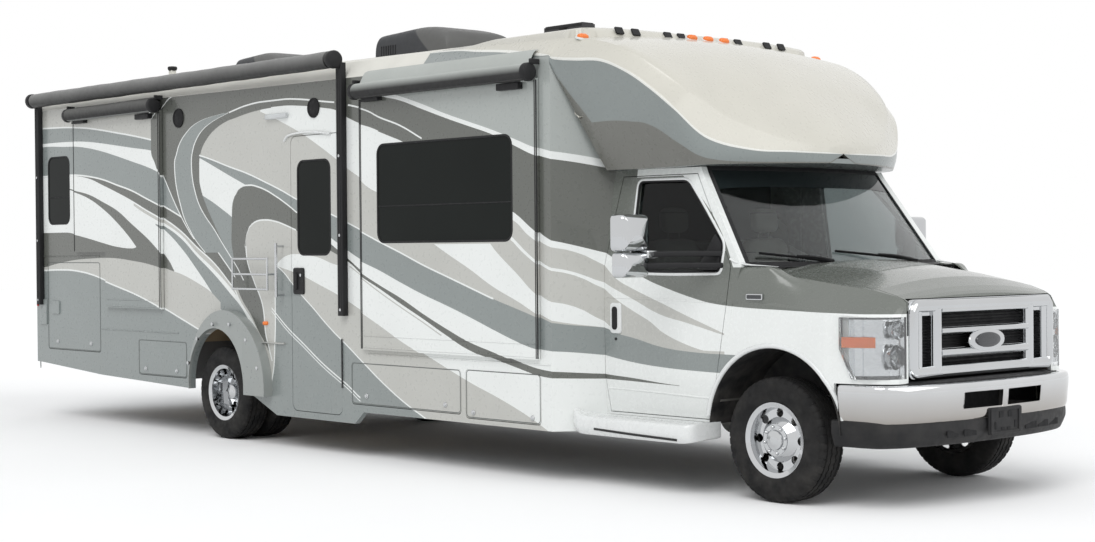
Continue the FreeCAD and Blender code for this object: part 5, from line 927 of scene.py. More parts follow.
class MOTORHOME_OT_cap(bpy.types.Operator):
    """The moulded cap over the cab, with its crease, its scoop and its clearance lamps"""

    bl_idname = "motorhome.cap"
    bl_label = "Front cap"

    def execute(self, context):
        outer, along, level = cap_surface()
        tip = outer[-1:] * [1.0, 0.04, 0.04] + np.array([0.003, 0.0, 0.96 * 2.095])
        outer = np.concatenate([outer, tip])
        along, level = (np.concatenate([grid, grid[-1:]]) for grid in (along, level))
        inner = outer.copy()
        inner[..., 0] -= 0.03 * (along > 0.65)
        inner[..., 1] *= 0.962
        floor_line = outer[:, :1, 2]
        inner[..., 2] = floor_line + (outer[..., 2] - floor_line) * 0.955
        inner[-1] = inner[-2] * [1.0, 0.04, 0.04] + np.array([0.001, 0.0, 0.96 * 2.095])
        rings = np.concatenate([outer, inner[:, ::-1]], 1)
        skin = shell(rings)
        rows = smooth_line(np.array(CAP_ROWS)[5:], 30)
        base = np.stack([np.stack([CAP_SEAM + rows[:, 0], side * rows[:, 1] * inset, rows[:, 2] + rise], -1)
                         for side, inset, rise in ((-1, 0.995, 0.0), (1, 0.995, 0.0), (1, 0.975, 0.03),
                                                   (-1, 0.975, 0.03))], 1)
        piece = make("front_cap_shell", [skin, shell(base)], "cap_gel", "vehicle", ["front_cap"],
                     sharp=50.0)
        flat = np.concatenate([np.stack([along, level], -1), np.stack([along, level * 0], -1)], 1).reshape(-1, 2)
        rest = np.zeros((len(piece.data.vertices) - len(flat), 2))
        values = np.concatenate([flat, rest])
        layer = piece.data.uv_layers.new(name="along_and_up")
        corners = np.empty(len(piece.data.loops), int)
        piece.data.loops.foreach_get("vertex_index", corners)
        layer.data.foreach_set("uv", values[corners].ravel())
        x = np.linspace(1.05, 2.455, 40)[:, None]
        y = np.linspace(-1.16, 1.16, 61)[None]
        base = cap_height(x, y) - 0.012
        roofline = 2.957 - 0.03 * np.abs(y / 1.16) ** 4
        front = np.clip((2.455 - x) / 0.075, 0, 1) ** 0.55
        back = np.clip((x - 1.05) / 0.5, 0, 1)
        edge = np.clip((1.16 - np.abs(y)) / 0.05, 0, 1) ** 0.6
        top = base + np.maximum(roofline - base, 0.0) * front * (3 * back ** 2 - 2 * back ** 3) * edge
        grid = np.concatenate([np.stack([x + 0 * y, y + 0 * x, top], -1),
                               np.stack([x + 0 * y, y + 0 * x, base], -1)[:, ::-1]], 1)
        make("cap_brow", [shell(grid)], "brow_gel", "vehicle", sharp=60.0)
        vents = []
        for y in (-0.805, -0.653, -0.350, -0.218, 0.218, 0.350, 0.653, 0.805):
            vents.append(slab((2.430, y, 2.926), (0.0, 1.0, 0.0), (-0.5, 0.0, 0.866), 0.034, 0.026, 0.012, 0.006,
                              0.003))
        make("brow_vents", vents, "moulded_black")
        lamps, beds = [], []
        for y in (-0.159, 0.0, 0.159, -1.155, 1.155):
            x, z = (2.470, float(cap_height(np.array([[2.47]]), np.array([[y]]))[0,
                    0])) if abs(y) < 0.5 else (2.455, 2.852)
            tilt = np.array([0.5, 0.0, 1.0]) if abs(y) < 0.5 else np.array([0.3, 0.5 * np.sign(y), 1.0])
            tilt /= np.linalg.norm(tilt)
            u = np.array([0.0, 1.0, 0.0])
            v = np.cross(tilt, u)
            v /= np.linalg.norm(v)
            lamps.append(slab((x, y, z - 0.004), u, v, 0.042, 0.024, 0.032, 0.022, 0.016, 0.004))
            beds.append(slab((x, y, z - 0.006), u, v, 0.052, 0.033, 0.013, 0.03, 0.004))
        make("clearance_lamps", lamps, "amber_lens")
        make("clearance_lamp_beds", beds, "gel_white", "vehicle")
        return {"FINISHED"}


def cap_height(x, y):
    """The height of the cap's skin over a point, from the outer skin's own grid."""
    grid, _, _ = cap_surface()
    spots = grid.reshape(-1, 3)
    x, y = np.broadcast_arrays(np.asarray(x, float), np.asarray(y, float))
    gap = (spots[:, 0][None] - x.ravel()[:, None]) ** 2 + (spots[:, 1][None] - y.ravel()[:, None]) ** 2
    near = np.argsort(gap, axis=1)[:, :4]
    weight = 1.0 / (np.take_along_axis(gap, near, 1) + 1e-6)
    return ((spots[:, 2][near] * weight).sum(1) / weight.sum(1)).reshape(x.shape)


# ------------------------------------------------------------------ front end
def bowed_line(count, x_side, x_middle, half, z):
    """A line across the front that bows forward in the middle as a parabola."""
    y = np.linspace(-half, half, count)
    return np.stack([x_middle - (x_middle - x_side) * (y / half) ** 2, y, z + 0 * y], -1)


GRILLE_X = 4.670
EMBLEM_Z, EMBLEM_WIDE, EMBLEM_TALL = 0.953, 0.183, 0.068
# Each row of the grille's openings: low y, high y, low z, high z.
GRILLE_OPENINGS = [(-0.425, 0.425, 0.796, 0.865), (-0.425, 0.425, 0.917, 0.998), (-0.425, 0.425, 1.039, 1.120),
                   (-0.604, -0.512, 0.800, 1.110), (0.512, 0.604, 0.800, 1.110)]


def grille_net():
    """Level slats behind each opening, each a flat D."""
    parts = []
    for y0, y1, z0, z1 in GRILLE_OPENINGS:
        parts.append(slab((4.620, (y0 + y1) / 2, (z0 + z1) / 2), TO_LEFT, UP, (y1 - y0) / 2 + 0.004,
                          (z1 - z0) / 2 + 0.004,
                          0.008, 0.004, 0.001))
        for z in np.arange(z0, z1, 0.017)[1:]:
            parts.append(strip([(4.634, y0, z), (4.634, y1, z)], 0.004, 0.006, TO_FRONT))
    return parts


def ridge(path, width, height, closed=False):
    """A broad rounded bar on the grille's face: half of a flattened circle carried along its path."""
    angle = np.linspace(0, np.pi, 15)
    profile = np.stack([np.cos(angle) * width / 2, height * np.sin(angle) ** 0.75], -1)
    profile = np.concatenate([profile, [[-width / 2, -0.004], [width / 2, -0.004]]])
    return shell(carry(path, profile, TO_FRONT, closed), wrap=closed)


def grille_bars():
    """The chrome frame and bars: a ridge's profile carried round a rounded rectangle, and along straight lines."""
    x = GRILLE_X
    loop = window_line(-0.687, 0.687, 0.786, 1.165, 0.04, on_end(x), 9)
    parts = [ridge(loop, 0.072, 0.030, closed=True)]
    for side in (-1, 1):
        parts.append(ridge([(x, side * 0.637, 0.80), (x, side * 0.637, 1.15)], 0.060, 0.018))
        parts.append(ridge([(x, side * 0.4685, 0.79), (x, side * 0.4685, 1.15)], 0.080, 0.030))
    for z, width in ((0.891, 0.050), (1.0185, 0.040), (0.776, 0.036), (1.140, 0.040)):
        parts.append(ridge([(x, -0.44, z), (x, 0.44, z)], width, 0.030))
    return parts


BUMPER_X = 4.830
BUMPER_PLAN = [(0.0, 0.0), (-0.018, 0.400), (-0.070, 0.720), (-0.135, 0.880), (-0.230, 0.965), (-0.480, 1.000)]
# The bumper's side view: how far out of its plan line, and how high.
BUMPER_FACE = [(-0.112, 0.7236), (-0.045, 0.7246), (-0.018, 0.7225), (-0.006, 0.7140), (-0.001, 0.698),
               (0.0, 0.672),
               (-0.0015, 0.640), (-0.0045, 0.610), (-0.007, 0.585), (-0.009, 0.555), (-0.0125, 0.530),
               (-0.0195, 0.511),
               (-0.033, 0.5015), (-0.055, 0.5005)]


def bumper_line(count):
    """The bumper's plan from end to end, as a smooth line."""
    half = smooth_line([(BUMPER_X + x, y) for x, y in BUMPER_PLAN], count)
    plan = np.concatenate([half[:0:-1] * [1, -1], half])
    return np.concatenate([plan, np.zeros((len(plan), 1))], 1)


def bumper_skin():
    """The bumper: its side view carried along its plan, with two openings left out of the grid."""
    line = bumper_line(150)
    profile = smooth_line(BUMPER_FACE, 49)
    rings = carry(line, profile, UP)
    if rings[len(line) // 2, 20, 0] < line[len(line) // 2, 0] - 0.02:
        rings = carry(line, profile * [-1, 1], UP)
    rings = rings[3:-3]
    rows, cols = rings.shape[:2]
    points = rings.reshape(-1, 3)
    quads = grid_faces(rows, cols, False, False)
    middle = points[quads].mean(1)
    across = np.abs(middle[:, 1])
    hole = (across > 0.032) & (across < 0.390) & (middle[:, 2] > 0.570) & (middle[:, 2] < 0.665) & (middle[:,
            0] > 4.76)
    quads = quads[~hole]
    corner = points[quads]
    facing = np.cross(corner[:, 2] - corner[:, 0], corner[:, 3] - corner[:, 1])
    front = (across[~hole] < 0.3) & (middle[~hole][:, 2] < 0.7)
    if facing[front][:, 0].sum() < 0:
        quads = quads[:, ::-1]
    used, index = np.unique(quads, return_inverse=True)
    return points[used], index.reshape(-1, 4).tolist()


def thicken(piece, amount, offset=-1.0):
    """Gives a skin its wall."""
    wall = piece.modifiers.new("wall", "SOLIDIFY")
    wall.thickness, wall.offset = amount, offset
    return piece


WINDSHIELD = ((3.655, 3.800, 0.9527, 1.392), (3.259, 3.394, 0.8546, 1.965))


def windshield_point(across, height, lift=0.0):
    """A point on the windshield: across from -1 to 1, height in metres, and how far it is lifted off."""
    low, high = (np.array(row) for row in WINDSHIELD)
    share = (np.asarray(height, float) - low[3]) / (high[3] - low[3])
    side, middle, half = (low[k] + (high[k] - low[k]) * share for k in range(3))
    half = half * np.ones_like(across)
    y = across * half
    sag = middle - side
    radius = (half ** 2 + sag ** 2) / (2 * sag)
    x = middle - radius + np.sqrt(np.maximum(radius ** 2 - y ** 2, 0))
    return np.stack(np.broadcast_arrays(x + lift * 0.82, y, height + lift * 0.57), -1)


def arch_path(side, radius, count=60, low=8.0, high=172.0):
    """The edge of the front wheel's arch: a circle about the axle, on the fender's side."""
    angle = np.radians(np.linspace(low, high, count))
    x, z = 3.890 + radius * np.cos(angle), 0.418 + radius * np.sin(angle)
    half = np.interp(x, [3.44, 3.90, 4.28, 4.49], [1.005, 1.006, 0.998, 0.950])
    return np.stack([x, side * (half + 0.0005), z], -1)


def arch_liner(side):
    """The front wheel well: a barrel vault over the wheel, and the wall at its inner end above the axle."""
    angle = np.radians(np.linspace(2.0, 178.0, 48))
    rings = []
    for radius, y in ((0.5045, 0.996), (0.4985, 0.996), (0.4985, 0.600), (0.5045, 0.600)):
        rings.append(np.stack([3.890 + radius * np.cos(angle), side * y + 0 * angle,
                               0.418 + radius * np.sin(angle)], -1))
    vault = shell(np.stack(rings, 1))
    top = np.radians(np.linspace(24.0, 156.0, 40))
    arc = np.stack([3.890 + 0.4985 * np.cos(top), 0.418 + 0.4985 * np.sin(top)], -1)
    chord = np.stack([arc[:, 0], np.full(40, 0.622)], -1)
    wall = [np.stack([line[:, 0], np.full(40, side * y), line[:, 1]], -1)
            for line, y in ((arc, 0.600), (chord, 0.600), (chord, 0.594), (arc, 0.594))]
    return [vault, shell(np.stack(wall, 1))]


# The fender's shoulder behind the hood: for each x, points (y, z) from the side up over the top.
SHOULDER_ROWS = [
    (3.585, 1.0085, 1.170, 1.0085, 1.290, 1.006, 1.362, 0.994, 1.398, 0.960, 1.412),
    (3.660, 1.0045, 1.172, 1.004, 1.285, 0.996, 1.358, 0.974, 1.393, 0.925, 1.400),
    (3.760, 1.0005, 1.170, 0.999, 1.275, 0.989, 1.350, 0.969, 1.389, 0.910, 1.392),
    (3.850, 0.9980, 1.168, 0.991, 1.260, 0.979, 1.340, 0.966, 1.387, 0.900, 1.389),
    (3.930, 0.9950, 1.166, 0.976, 1.232, 0.957, 1.292, 0.933, 1.332, 0.885, 1.347),
    (4.050, 0.9900, 1.164, 0.963, 1.206, 0.936, 1.242, 0.908, 1.276, 0.875, 1.306),
    (4.170, 0.9730, 1.140, 0.943, 1.176, 0.914, 1.211, 0.885, 1.247, 0.858, 1.278)]


def fender_shoulder(side):
    """A smooth surface through the shoulder's points, first across each section and then along the car."""
    table = np.array(SHOULDER_ROWS)
    sections = np.stack([np.concatenate([np.full((20, 1), row[0]), smooth_line(row[1:].reshape(5, 2), 20)],
                                        1) for row in table])
    rows = smooth_line(sections.reshape(len(table), -1), 44).reshape(44, 20, 3)
    under = rows - np.array([0.0, 0.006, 0.010])
    rings = np.concatenate([rows, under[:, ::-1]], 1) * [1.0, side, 1.0]
    return shell(rings)


class MOTORHOME_OT_front(bpy.types.Operator):
    """Grille, emblem, bumper, lamp bowls, wipers, windshield border and the arch lips"""

    bl_idname = "motorhome.front"
    bl_label = "Front end"

    def execute(self, context):
        make("grille_net", grille_net(), "mesh_black")
        make("grille_bars", grille_bars(), "chrome")
        angle = np.linspace(0, 2 * np.pi, 64, endpoint=False)
        for name, size, finish, lift in (("oval_rim", 1.0, "chrome", 0.0),
                                         ("blank_oval", 0.66, "emblem_plate", 0.012)):
            rings = [np.stack([GRILLE_X + 0.018 + lift + rise + 0 * angle, EMBLEM_WIDE * size * scale * np.cos(angle),
                               EMBLEM_Z + EMBLEM_TALL * size * scale * np.sin(angle)], -1)
                     for scale, rise in ((1.0, 0.0), (1.0, 0.008), (0.97, 0.013), (0.92, 0.0145), (0.6, 0.0155),
                                         (0.3, 0.0165), (0.04, 0.017))]
            make(name, [shell(rings)], finish, "vehicle")
        # The bumper's finish carries a painted reflection: dark warm ground below, pale sky above
        bumper = make("bumper_bar", [bumper_skin()], "bumper_chrome", "vehicle", ["front_bumper"],
                      sharp=60.0)
        thicken(bumper, 0.004)
        for name, sign in SIDES:
            bowls, bulbs, amber, housing = [], [], [], []
            for y, x, z, wide, tall in ((0.785, 4.640, 1.035, 0.050, 0.052), (0.800, 4.632, 0.880, 0.052, 0.068)):
                spots = [(-0.050, 0.012), (-0.040, 0.28 * wide + 0.008), (-0.022, 0.62 * wide),
                         (-0.006, 0.9 * wide), (0.0, wide),
                         (0.003, wide * 1.03), (-0.002, wide * 1.06), (-0.03, wide * 0.9), (-0.052, 0.03)]
                bowl, faces = turned(spots, (0, 0, 0), TO_FRONT, 32)
                bowls.append((bowl * [1, 1, tall / wide] + [x, sign * y, z], faces))
                bulbs.append(turned([(-0.045, 0.006), (-0.03, 0.008), (-0.02, 0.012), (-0.012, 0.008),
                                     (-0.010, 0.002)],
                                    (x, sign * y, z), TO_FRONT, 12))
            line = smooth_line([(4.578, 0.908), (4.555, 0.922), (4.500, 0.953), (4.440, 0.973), (4.400, 0.985)], 24)
            path = np.stack([line[:, 0], sign * line[:, 1], 0.966 + 0 * line[:, 0]], -1)
            out = np.stack([0.5 + 0 * line[:, 0], sign * np.ones(len(line)), 0 * line[:, 0]], -1)
            amber.append(shell(carry(path, [(-0.030, 0), (-0.030, 0.004), (0.0, 0.008), (0.030, 0.004), (0.030, 0),
                                            (0, -0.004)], out)))
            make("lamp_bowls_" + name, bowls, "reflector", "vehicle")
            make("lamp_bulbs_" + name, bulbs, "frosted", "vehicle")
            make("turn_lamp_" + name, amber, "amber_lens")
            back = smooth_line([(4.588, 0.745), (4.560, 0.83), (4.500, 0.90), (4.41, 0.945)], 20)
            wall = np.stack([np.stack([back[:, 0], sign * back[:, 1], level + 0 * back[:, 0]],
                                      -1) for level in (0.775, 0.90, 1.00, 1.095)])
            housing.append(shell(np.concatenate([wall, (wall + np.array([0.006, 0, 0]))[::-1]]), wrap=True,
                                 round_=False, ends=False))
            make("lamp_housing_" + name, housing, "reflector", "vehicle")
            lip = strip(arch_path(sign, 0.512), 0.030, 0.011, (0, sign, 0))
            make("arch_lip_" + name, [lip], "gel_white", "vehicle")
            make("arch_liner_" + name, arch_liner(sign), "chassis_black", "vehicle")
            make("fender_shoulder_" + name, [fender_shoulder(sign)], "nose_paint", "vehicle",
                 sharp=60.0)
            foot = smooth_line([(3.572, sign * 0.985, 1.440), (3.620, sign * 0.982, 1.418),
                                (3.690, sign * 0.966, 1.405),
                                (3.770, sign * 0.930, 1.399), (3.850, sign * 0.885, 1.393)], 26)
            taper = np.linspace(1.0, 0.12, 26)[:, None, None]
            angle = np.linspace(0, 2 * np.pi, 16, endpoint=False)
            rings = carry(foot, np.stack([0.030 * np.cos(angle), 0.010 * np.sin(angle)], -1), UP)
            make("pillar_foot_" + name, [shell(foot[:, None] + (rings - foot[:, None]) * taper)], "gel_white",
                 "vehicle")
            flat = (1 if sign < 0 else -1, 0, 0)
            badge = [slab((3.763, sign * 1.0000, 1.215), flat, UP, 0.064, 0.018, 0.011, 0.008, 0.002)]
            make("fender_plate_" + name, badge, "chrome")
            badge = [slab((3.763, sign * 1.0100, 1.215), flat, UP, 0.057, 0.012, 0.0025, 0.006, 0.001)]
            make("fender_plate_face_" + name, badge, "emblem_plate", "vehicle")
        wipers = []
        for pivot, mid, tip in (((3.805, 0.46, 1.412), (3.775, 0.14, 1.452), (3.730, -0.22, 1.482)),
                                ((3.770, -0.30, 1.412), (3.715, -0.58, 1.448), (3.650, -0.84, 1.474))):
            pivot, mid, tip = (np.array(spot) for spot in (pivot, mid, tip))
            arm = smooth_line([pivot + [0.02, 0, 0.012], (pivot + mid) / 2 + [0.03, 0, 0.016],
                               mid + [0.022, 0, 0.008]], 14)
            wipers.append(bar(arm, np.linspace(0.009, 0.006, 14), 10))
            blade = smooth_line([2 * mid - tip + [0.0, 0, -0.004], mid + [0.004, 0, 0], tip], 24)
            wipers.append(strip(blade + [0.008, 0, 0.0], 0.013, 0.012, (1, 0, 0.6)))
            wipers.append(turned([(-0.02, 0.022), (0.012, 0.022), (0.020, 0.016), (0.022, 0.003)], pivot,
                                 (0.3, 0, 1), 20))
        make("wipers", wipers, "moulded_black")
        edge = []
        across = np.linspace(-0.985, 0.985, 40)
        up = np.linspace(1.42, 1.99, 14)
        loop = np.concatenate([windshield_point(across, np.full(40, 1.404), 0.002),
                               windshield_point(np.full(14, 0.985), up, 0.002),
                               windshield_point(across[::-1], np.full(40, 2.002), 0.002),
                               windshield_point(np.full(14, -0.985), up[::-1], 0.002)])
        outward = np.array([0.82, 0.0, 0.57]) + 0 * loop
        outward[:, 1] = loop[:, 1] * 0.5
        edge.append(shell(carry(loop, [(-0.017, 0.0), (-0.015, 0.004), (0.015, 0.004), (0.017, 0.0),
                                       (0.0, -0.003)], outward, True), wrap=True))
        make("windshield_rubber", edge, "seal_rubber")
        rows = np.linspace(1.885, 2.0, 8)[:, None]
        across = np.linspace(-0.98, 0.98, 41)[None]
        droop = rows - 0.02 * (np.abs(across) ** 6) * (rows < 1.9)
        band = windshield_point(across + 0 * rows, droop, 0.0012)
        back = windshield_point(across + 0 * rows, droop, -0.0005)
        make("shade_band", [shell(np.concatenate([band, back[:, ::-1]], 1))], "shade_glass", "vehicle")
        line = bowed_line(41, 3.650, 3.842, 0.945, 1.3875)
        profile = [(-0.055, 0.0), (-0.050, 0.006), (-0.02, 0.011), (0.01, 0.012), (0.035, 0.008), (0.045, 0.0),
                   (0.0, -0.004)]
        slots = [slab((float(np.interp(y, line[:, 1], line[:, 0])) - 0.012, y, 1.3985), TO_LEFT, TO_REAR, 0.045,
                      0.004, 0.003, 0.003, 0.001)
                 for y in np.linspace(-0.78, 0.78, 14)]
        make("cowl_cover", [shell(carry(line, profile, UP))] + slots, "moulded_black")
        return {"FINISHED"}


# ------------------------------------------------------------------ cab doors and mirrors
def door_skin_y(z):
    """How far out the cab door's skin stands at a height."""
    return np.interp(z, [0.465, 0.700, 1.180, 1.400, 1.965], [0.985, 1.003, 1.008, 1.003, 0.905])


def soften(corners, reach, steps=7):
    """A closed outline whose corners are rounded by short curves: each is the square-law blend of its two
    edges."""
    corners = np.asarray(corners, float)
    before, after = np.roll(corners, 1, 0) - corners, np.roll(corners, -1, 0) - corners
    start = corners + before / np.linalg.norm(before, axis=1, keepdims=True) * reach
    end = corners + after / np.linalg.norm(after, axis=1, keepdims=True) * reach
    t = np.linspace(0, 1, steps)[None, :, None]
    arcs = (1 - t) ** 2 * start[:, None] + 2 * t * (1 - t) * corners[:, None] + t ** 2 * end[:, None]
    return arcs.reshape(-1, corners.shape[1])


def fill_in(outline, step=0.03):
    """More points on an outline's long straight runs."""
    outline = np.concatenate([outline, outline[:1]])
    length = np.concatenate([[0], np.cumsum(np.linalg.norm(np.diff(outline, axis=0), axis=1))])
    at = np.linspace(0, length[-1], int(length[-1] / step), endpoint=False)
    at = np.unique(np.round(np.concatenate([at, length[:-1]]), 5))
    keep = np.concatenate([[True], np.diff(at) > 0.002])
    return np.stack([np.interp(at[keep], length, outline[:, k]) for k in range(outline.shape[1])], -1)


CAB_PANE = [(2.722, 1.358), (3.488, 1.358), (3.495, 1.538), (3.142, 1.926), (2.716, 1.934)]


class MOTORHOME_OT_cab_doors(bpy.types.Operator):
    """Window frames, handles, creases and mirrors of the two cab doors"""

    bl_idname = "motorhome.cab_doors"
    bl_label = "Cab doors"

    def execute(self, context):
        for name, side in SIDES:
            body = "cab_door_%s_body" % name
            out = (0.0, side, 0.0)

            def on_door(flat, lift=0.0):
                """Points (x, z) carried to the door's skin, lifted outwards by a distance."""
                flat = np.asarray(flat, float)
                return np.stack([flat[:, 0], side * (door_skin_y(flat[:, 1]) + lift), flat[:, 1]], -1)

            outline = fill_in(soften(CAB_PANE, 0.045))
            middle = outline.mean(0)
            grown = outline + (outline - middle) / np.linalg.norm(outline - middle, axis=1, keepdims=True) * 0.013
            make("door_window_frame_" + name, [strip(on_door(grown, -0.001), 0.020, 0.007, out, closed=True)],
                 "gel_white", body)
            make("door_window_rubber_" + name, [strip(on_door(outline, -0.004), 0.016, 0.007, out, closed=True)],
                 "seal_rubber", body)
            u = (1.0, 0, 0) if side < 0 else (-1.0, 0, 0)
            y = side * (float(door_skin_y(1.063)) - 0.001)
            bezel = [slab((2.592, y, 1.063), u, UP, 0.050, 0.098, 0.010, 0.022, 0.006)]
            make("door_handle_bezel_" + name, bezel, "gel_white", body)
            y = side * (float(door_skin_y(1.063)) + 0.008)
            pull = [slab((2.586, y, 1.063), u, UP, 0.024, 0.074, 0.006, 0.022, 0.004, 0.004),
                    turned([(0.0, 0.009), (0.006, 0.009), (0.008, 0.006), (0.008, 0.001)],
                           (2.588, side * (float(door_skin_y(0.93)) - 0.001), 0.930), (0, side, 0), 16)]
            make("door_handle_" + name, pull, "moulded_black", body)
            creases = []
            for line in ([(2.500, 1.196), (2.9, 1.190), (3.53, 1.176)],
                         [(2.51, 0.612), (2.9, 0.606), (3.40, 0.592)]):
                creases.append(strip(on_door(smooth_line(line, 24), -0.0015), 0.016, 0.0042, out))
            make("door_creases_" + name, creases, "cab_paint", body)
            y_mid = side * 1.395
            heads = [slab((3.068, y_mid, 1.6015), TO_LEFT, UP, 0.120, 0.1125, 0.112, 0.034, 0.046, 0.004),
                     slab((3.076, y_mid, 1.4085), TO_LEFT, UP, 0.116, 0.0765, 0.100, 0.030, 0.040, 0.004)]
            make("mirror_heads_" + name, heads, "chrome", body, ["mirror_" + name], sharp=50.0)
            glasses = [slab((3.070, y_mid, 1.6015), TO_RIGHT, UP, 0.108, 0.100, 0.008, 0.026, 0.003, 0.001, 0.0),
                       slab((3.078, y_mid, 1.4085), TO_RIGHT, UP, 0.104, 0.064, 0.008, 0.022, 0.003, 0.003, 0.0)]
            make("mirror_glass_" + name, glasses, "mirror_glass", body)
            backs = [slab((3.074, y_mid, 1.6015), TO_RIGHT, UP, 0.1195, 0.112, 0.009, 0.034, 0.004),
                     slab((3.082, y_mid, 1.4085), TO_RIGHT, UP, 0.1155, 0.076, 0.009, 0.030, 0.004)]
            for z, start, reach in ((1.472, 0.972, 0.017), (1.402, 0.995, 0.017)):
                line = smooth_line([(3.500, side * start, z), (3.475, side * (start + 0.030), z),
                                    (3.330, side * 1.150, z + 0.002),
                                    (3.160, side * 1.290, z)], 18)
                section = rounded(0.016, reach, 0.009, 4)
                backs.append(shell(carry(line, section, UP)))
            sail = fill_in(soften([(3.300, 1.372), (3.478, 1.372), (3.484, 1.530), (3.420, 1.600)], 0.02), 0.03)
            middle = sail.mean(0)
            rings = [on_door(middle + (sail - middle) * scale, lift) for scale, lift in
                     ((1.0, -0.020), (1.0, -0.004), (0.98, 0.002), (0.9, 0.005), (0.5, 0.007), (0.1, 0.0075))]
            backs.append(shell(rings))
            make("mirror_arms_" + name, backs, "moulded_black", body)
            clip = [slab((3.150, side * 1.285, 1.472), (0, side, 0), (0, 0, 1 if side > 0 else -1), 0.045, 0.024,
                         0.05, 0.012, 0.008)]
            make("mirror_clips_" + name, clip, "chrome", body)
        return {"FINISHED"}


# ------------------------------------------------------------------ coach sides
WALL_Y, FLANGE_Y = 1.290, 1.320
SEAL_TOPS = {"front": 2.60, "rear": 2.68}
ENTRY_HINGE = (0.0068, -1.2975, 0.0055)  # x and y of its axis, and its radius
FLARE_CENTRE, FLARE_BOLT_CIRCLE = (-1.52, 0.400), 0.545
# Each row: name, side, body, plane, low x, high x, low z, high z, corner, split height or None.
PANES = [
    ("dinette", -1, "slide_front_body", FLANGE_Y, 0.484, 1.948, 1.562, 2.262, 0.07, 1.82),
    ("bedroom", -1, "vehicle", WALL_Y, -4.562, -4.155, 1.766, 2.378, 0.07, 2.01),
    ("entry", -1, "entry_door_body", WALL_Y, -0.557, -0.129, 1.476, 2.188, 0.07, None),
]


class MOTORHOME_OT_side_trim(bpy.types.Operator):
    """Window rubbers, seals, mouldings, latches and small fittings of the coach's sides"""

    bl_idname = "motorhome.side_trim"
    bl_label = "Side trim"

    def execute(self, context):
        for name, side, body, plane, x0, x1, z0, z1, corner, split in PANES:
            rim = window_line(x0 + 0.003, x1 - 0.003, z0 + 0.003, z1 - 0.003, corner,
                              on_side(side * (plane - 0.001)))
            parts = [strip(rim, 0.016, 0.005, (0, side, 0), closed=True)]
            if split:
                parts.append(strip([(x0 + 0.01, side * (plane - 0.004), split),
                                    (x1 - 0.01, side * (plane - 0.004), split)],
                                   0.010, 0.004, (0, side, 0), sink=0.001))
            make("window_rubber_" + name, parts, "seal_rubber", body)
        sizes = context.scene.motorhome_sizes
        for name, posts in (("front", ((0.278, 0.80), (0.292, 0.80), (2.172, 0.80), (2.186, 0.80))),
                            ("rear", ((-4.018, 1.52), (-2.524, 1.04), (-2.548, 1.04)))):
            high = SEAL_TOPS[name]
            seals = [strip([(x, -FLANGE_Y, low), (x, -FLANGE_Y, high)], sizes.seal_width, 0.004, TO_RIGHT)
                     for x, low in posts]
            make("slide_%s_seals" % name, seals, "seal_rubber", "slide_%s_body" % name)
        for body, rows in (("slide_front_body", ((0.31, 2.16, 0.895, 0.010), (0.31, 2.16, 0.812, 0.012))),
                           ("slide_rear_body", ((-3.45, -2.56, 1.100, 0.010), (-3.45, -2.56, 1.045, 0.012)))):
            lines = [strip([(x0, -FLANGE_Y, z), (x1, -FLANGE_Y, z)], width, 0.005, TO_RIGHT) for x0, x1, z,
                     width in rows]
            make("mouldings_" + body[:-5], lines, "coach_paint", body)
        lines = [strip([(x0, -WALL_Y, z), (x1, -WALL_Y, z)], 0.010, 0.006, TO_RIGHT)
                 for x0, x1, z in ((-3.60, -2.30, 0.835), (0.32, 2.28, 0.762), (-4.76, -3.62, 1.475))]
        make("wall_mouldings", lines, "coach_paint")
        wide = sizes.latch_radius
        button = [(0.0, wide), (0.004, wide * 0.97), (0.006, 0.014), (0.007, 0.013), (0.011, 0.0125),
                  (0.0125, 0.009),
                  (0.0125, 0.002)]
        for name, spots in (("bedroom", ((-4.40, 0.70), (-3.78, 0.70))), ("front", ((1.50, 0.41), (2.10, 0.41))),
                            ("middle", ((0.30, 0.455), (1.20, 0.445))), ("rear", ((-2.83, 0.52), (-2.33, 0.52)))):
            parts = [turned(button, (x, -WALL_Y - 0.001, z), TO_RIGHT, 24) for x, z in spots]
            make("latches_hatch_right_" + name, parts, "bright_steel", "hatch_right_%s_body" % name)
        gaps = {"hatch_right_bedroom": (-4.586, -3.612, 0.631, 1.423),
                "hatch_right_rear": (-2.948, -2.174, 0.470, 0.766),
                "hatch_right_middle": (0.12, 1.366, 0.392, 0.695),
                "hatch_right_front": (1.423, 2.179, 0.371, 0.700),
                "hatch_left_rear": (-4.400, -3.400, 0.560, 1.180),
                "hatch_left_middle": (0.200, 1.366, 0.392, 0.695)}
        for name, (x0, x1, z0, z1) in gaps.items():
            side = -1.0 if "right" in name else 1.0
            rim = window_line(x0 + 0.006, x1 - 0.006, z0 + 0.006, z1 - 0.006, 0.026,
                              on_side(side * (WALL_Y - 0.001)))
            make("edge_" + name, [strip(rim, 0.008, 0.0025, (0, side, 0), closed=True)], "seam_grey",
                 name + "_body")
        return {"FINISHED"}


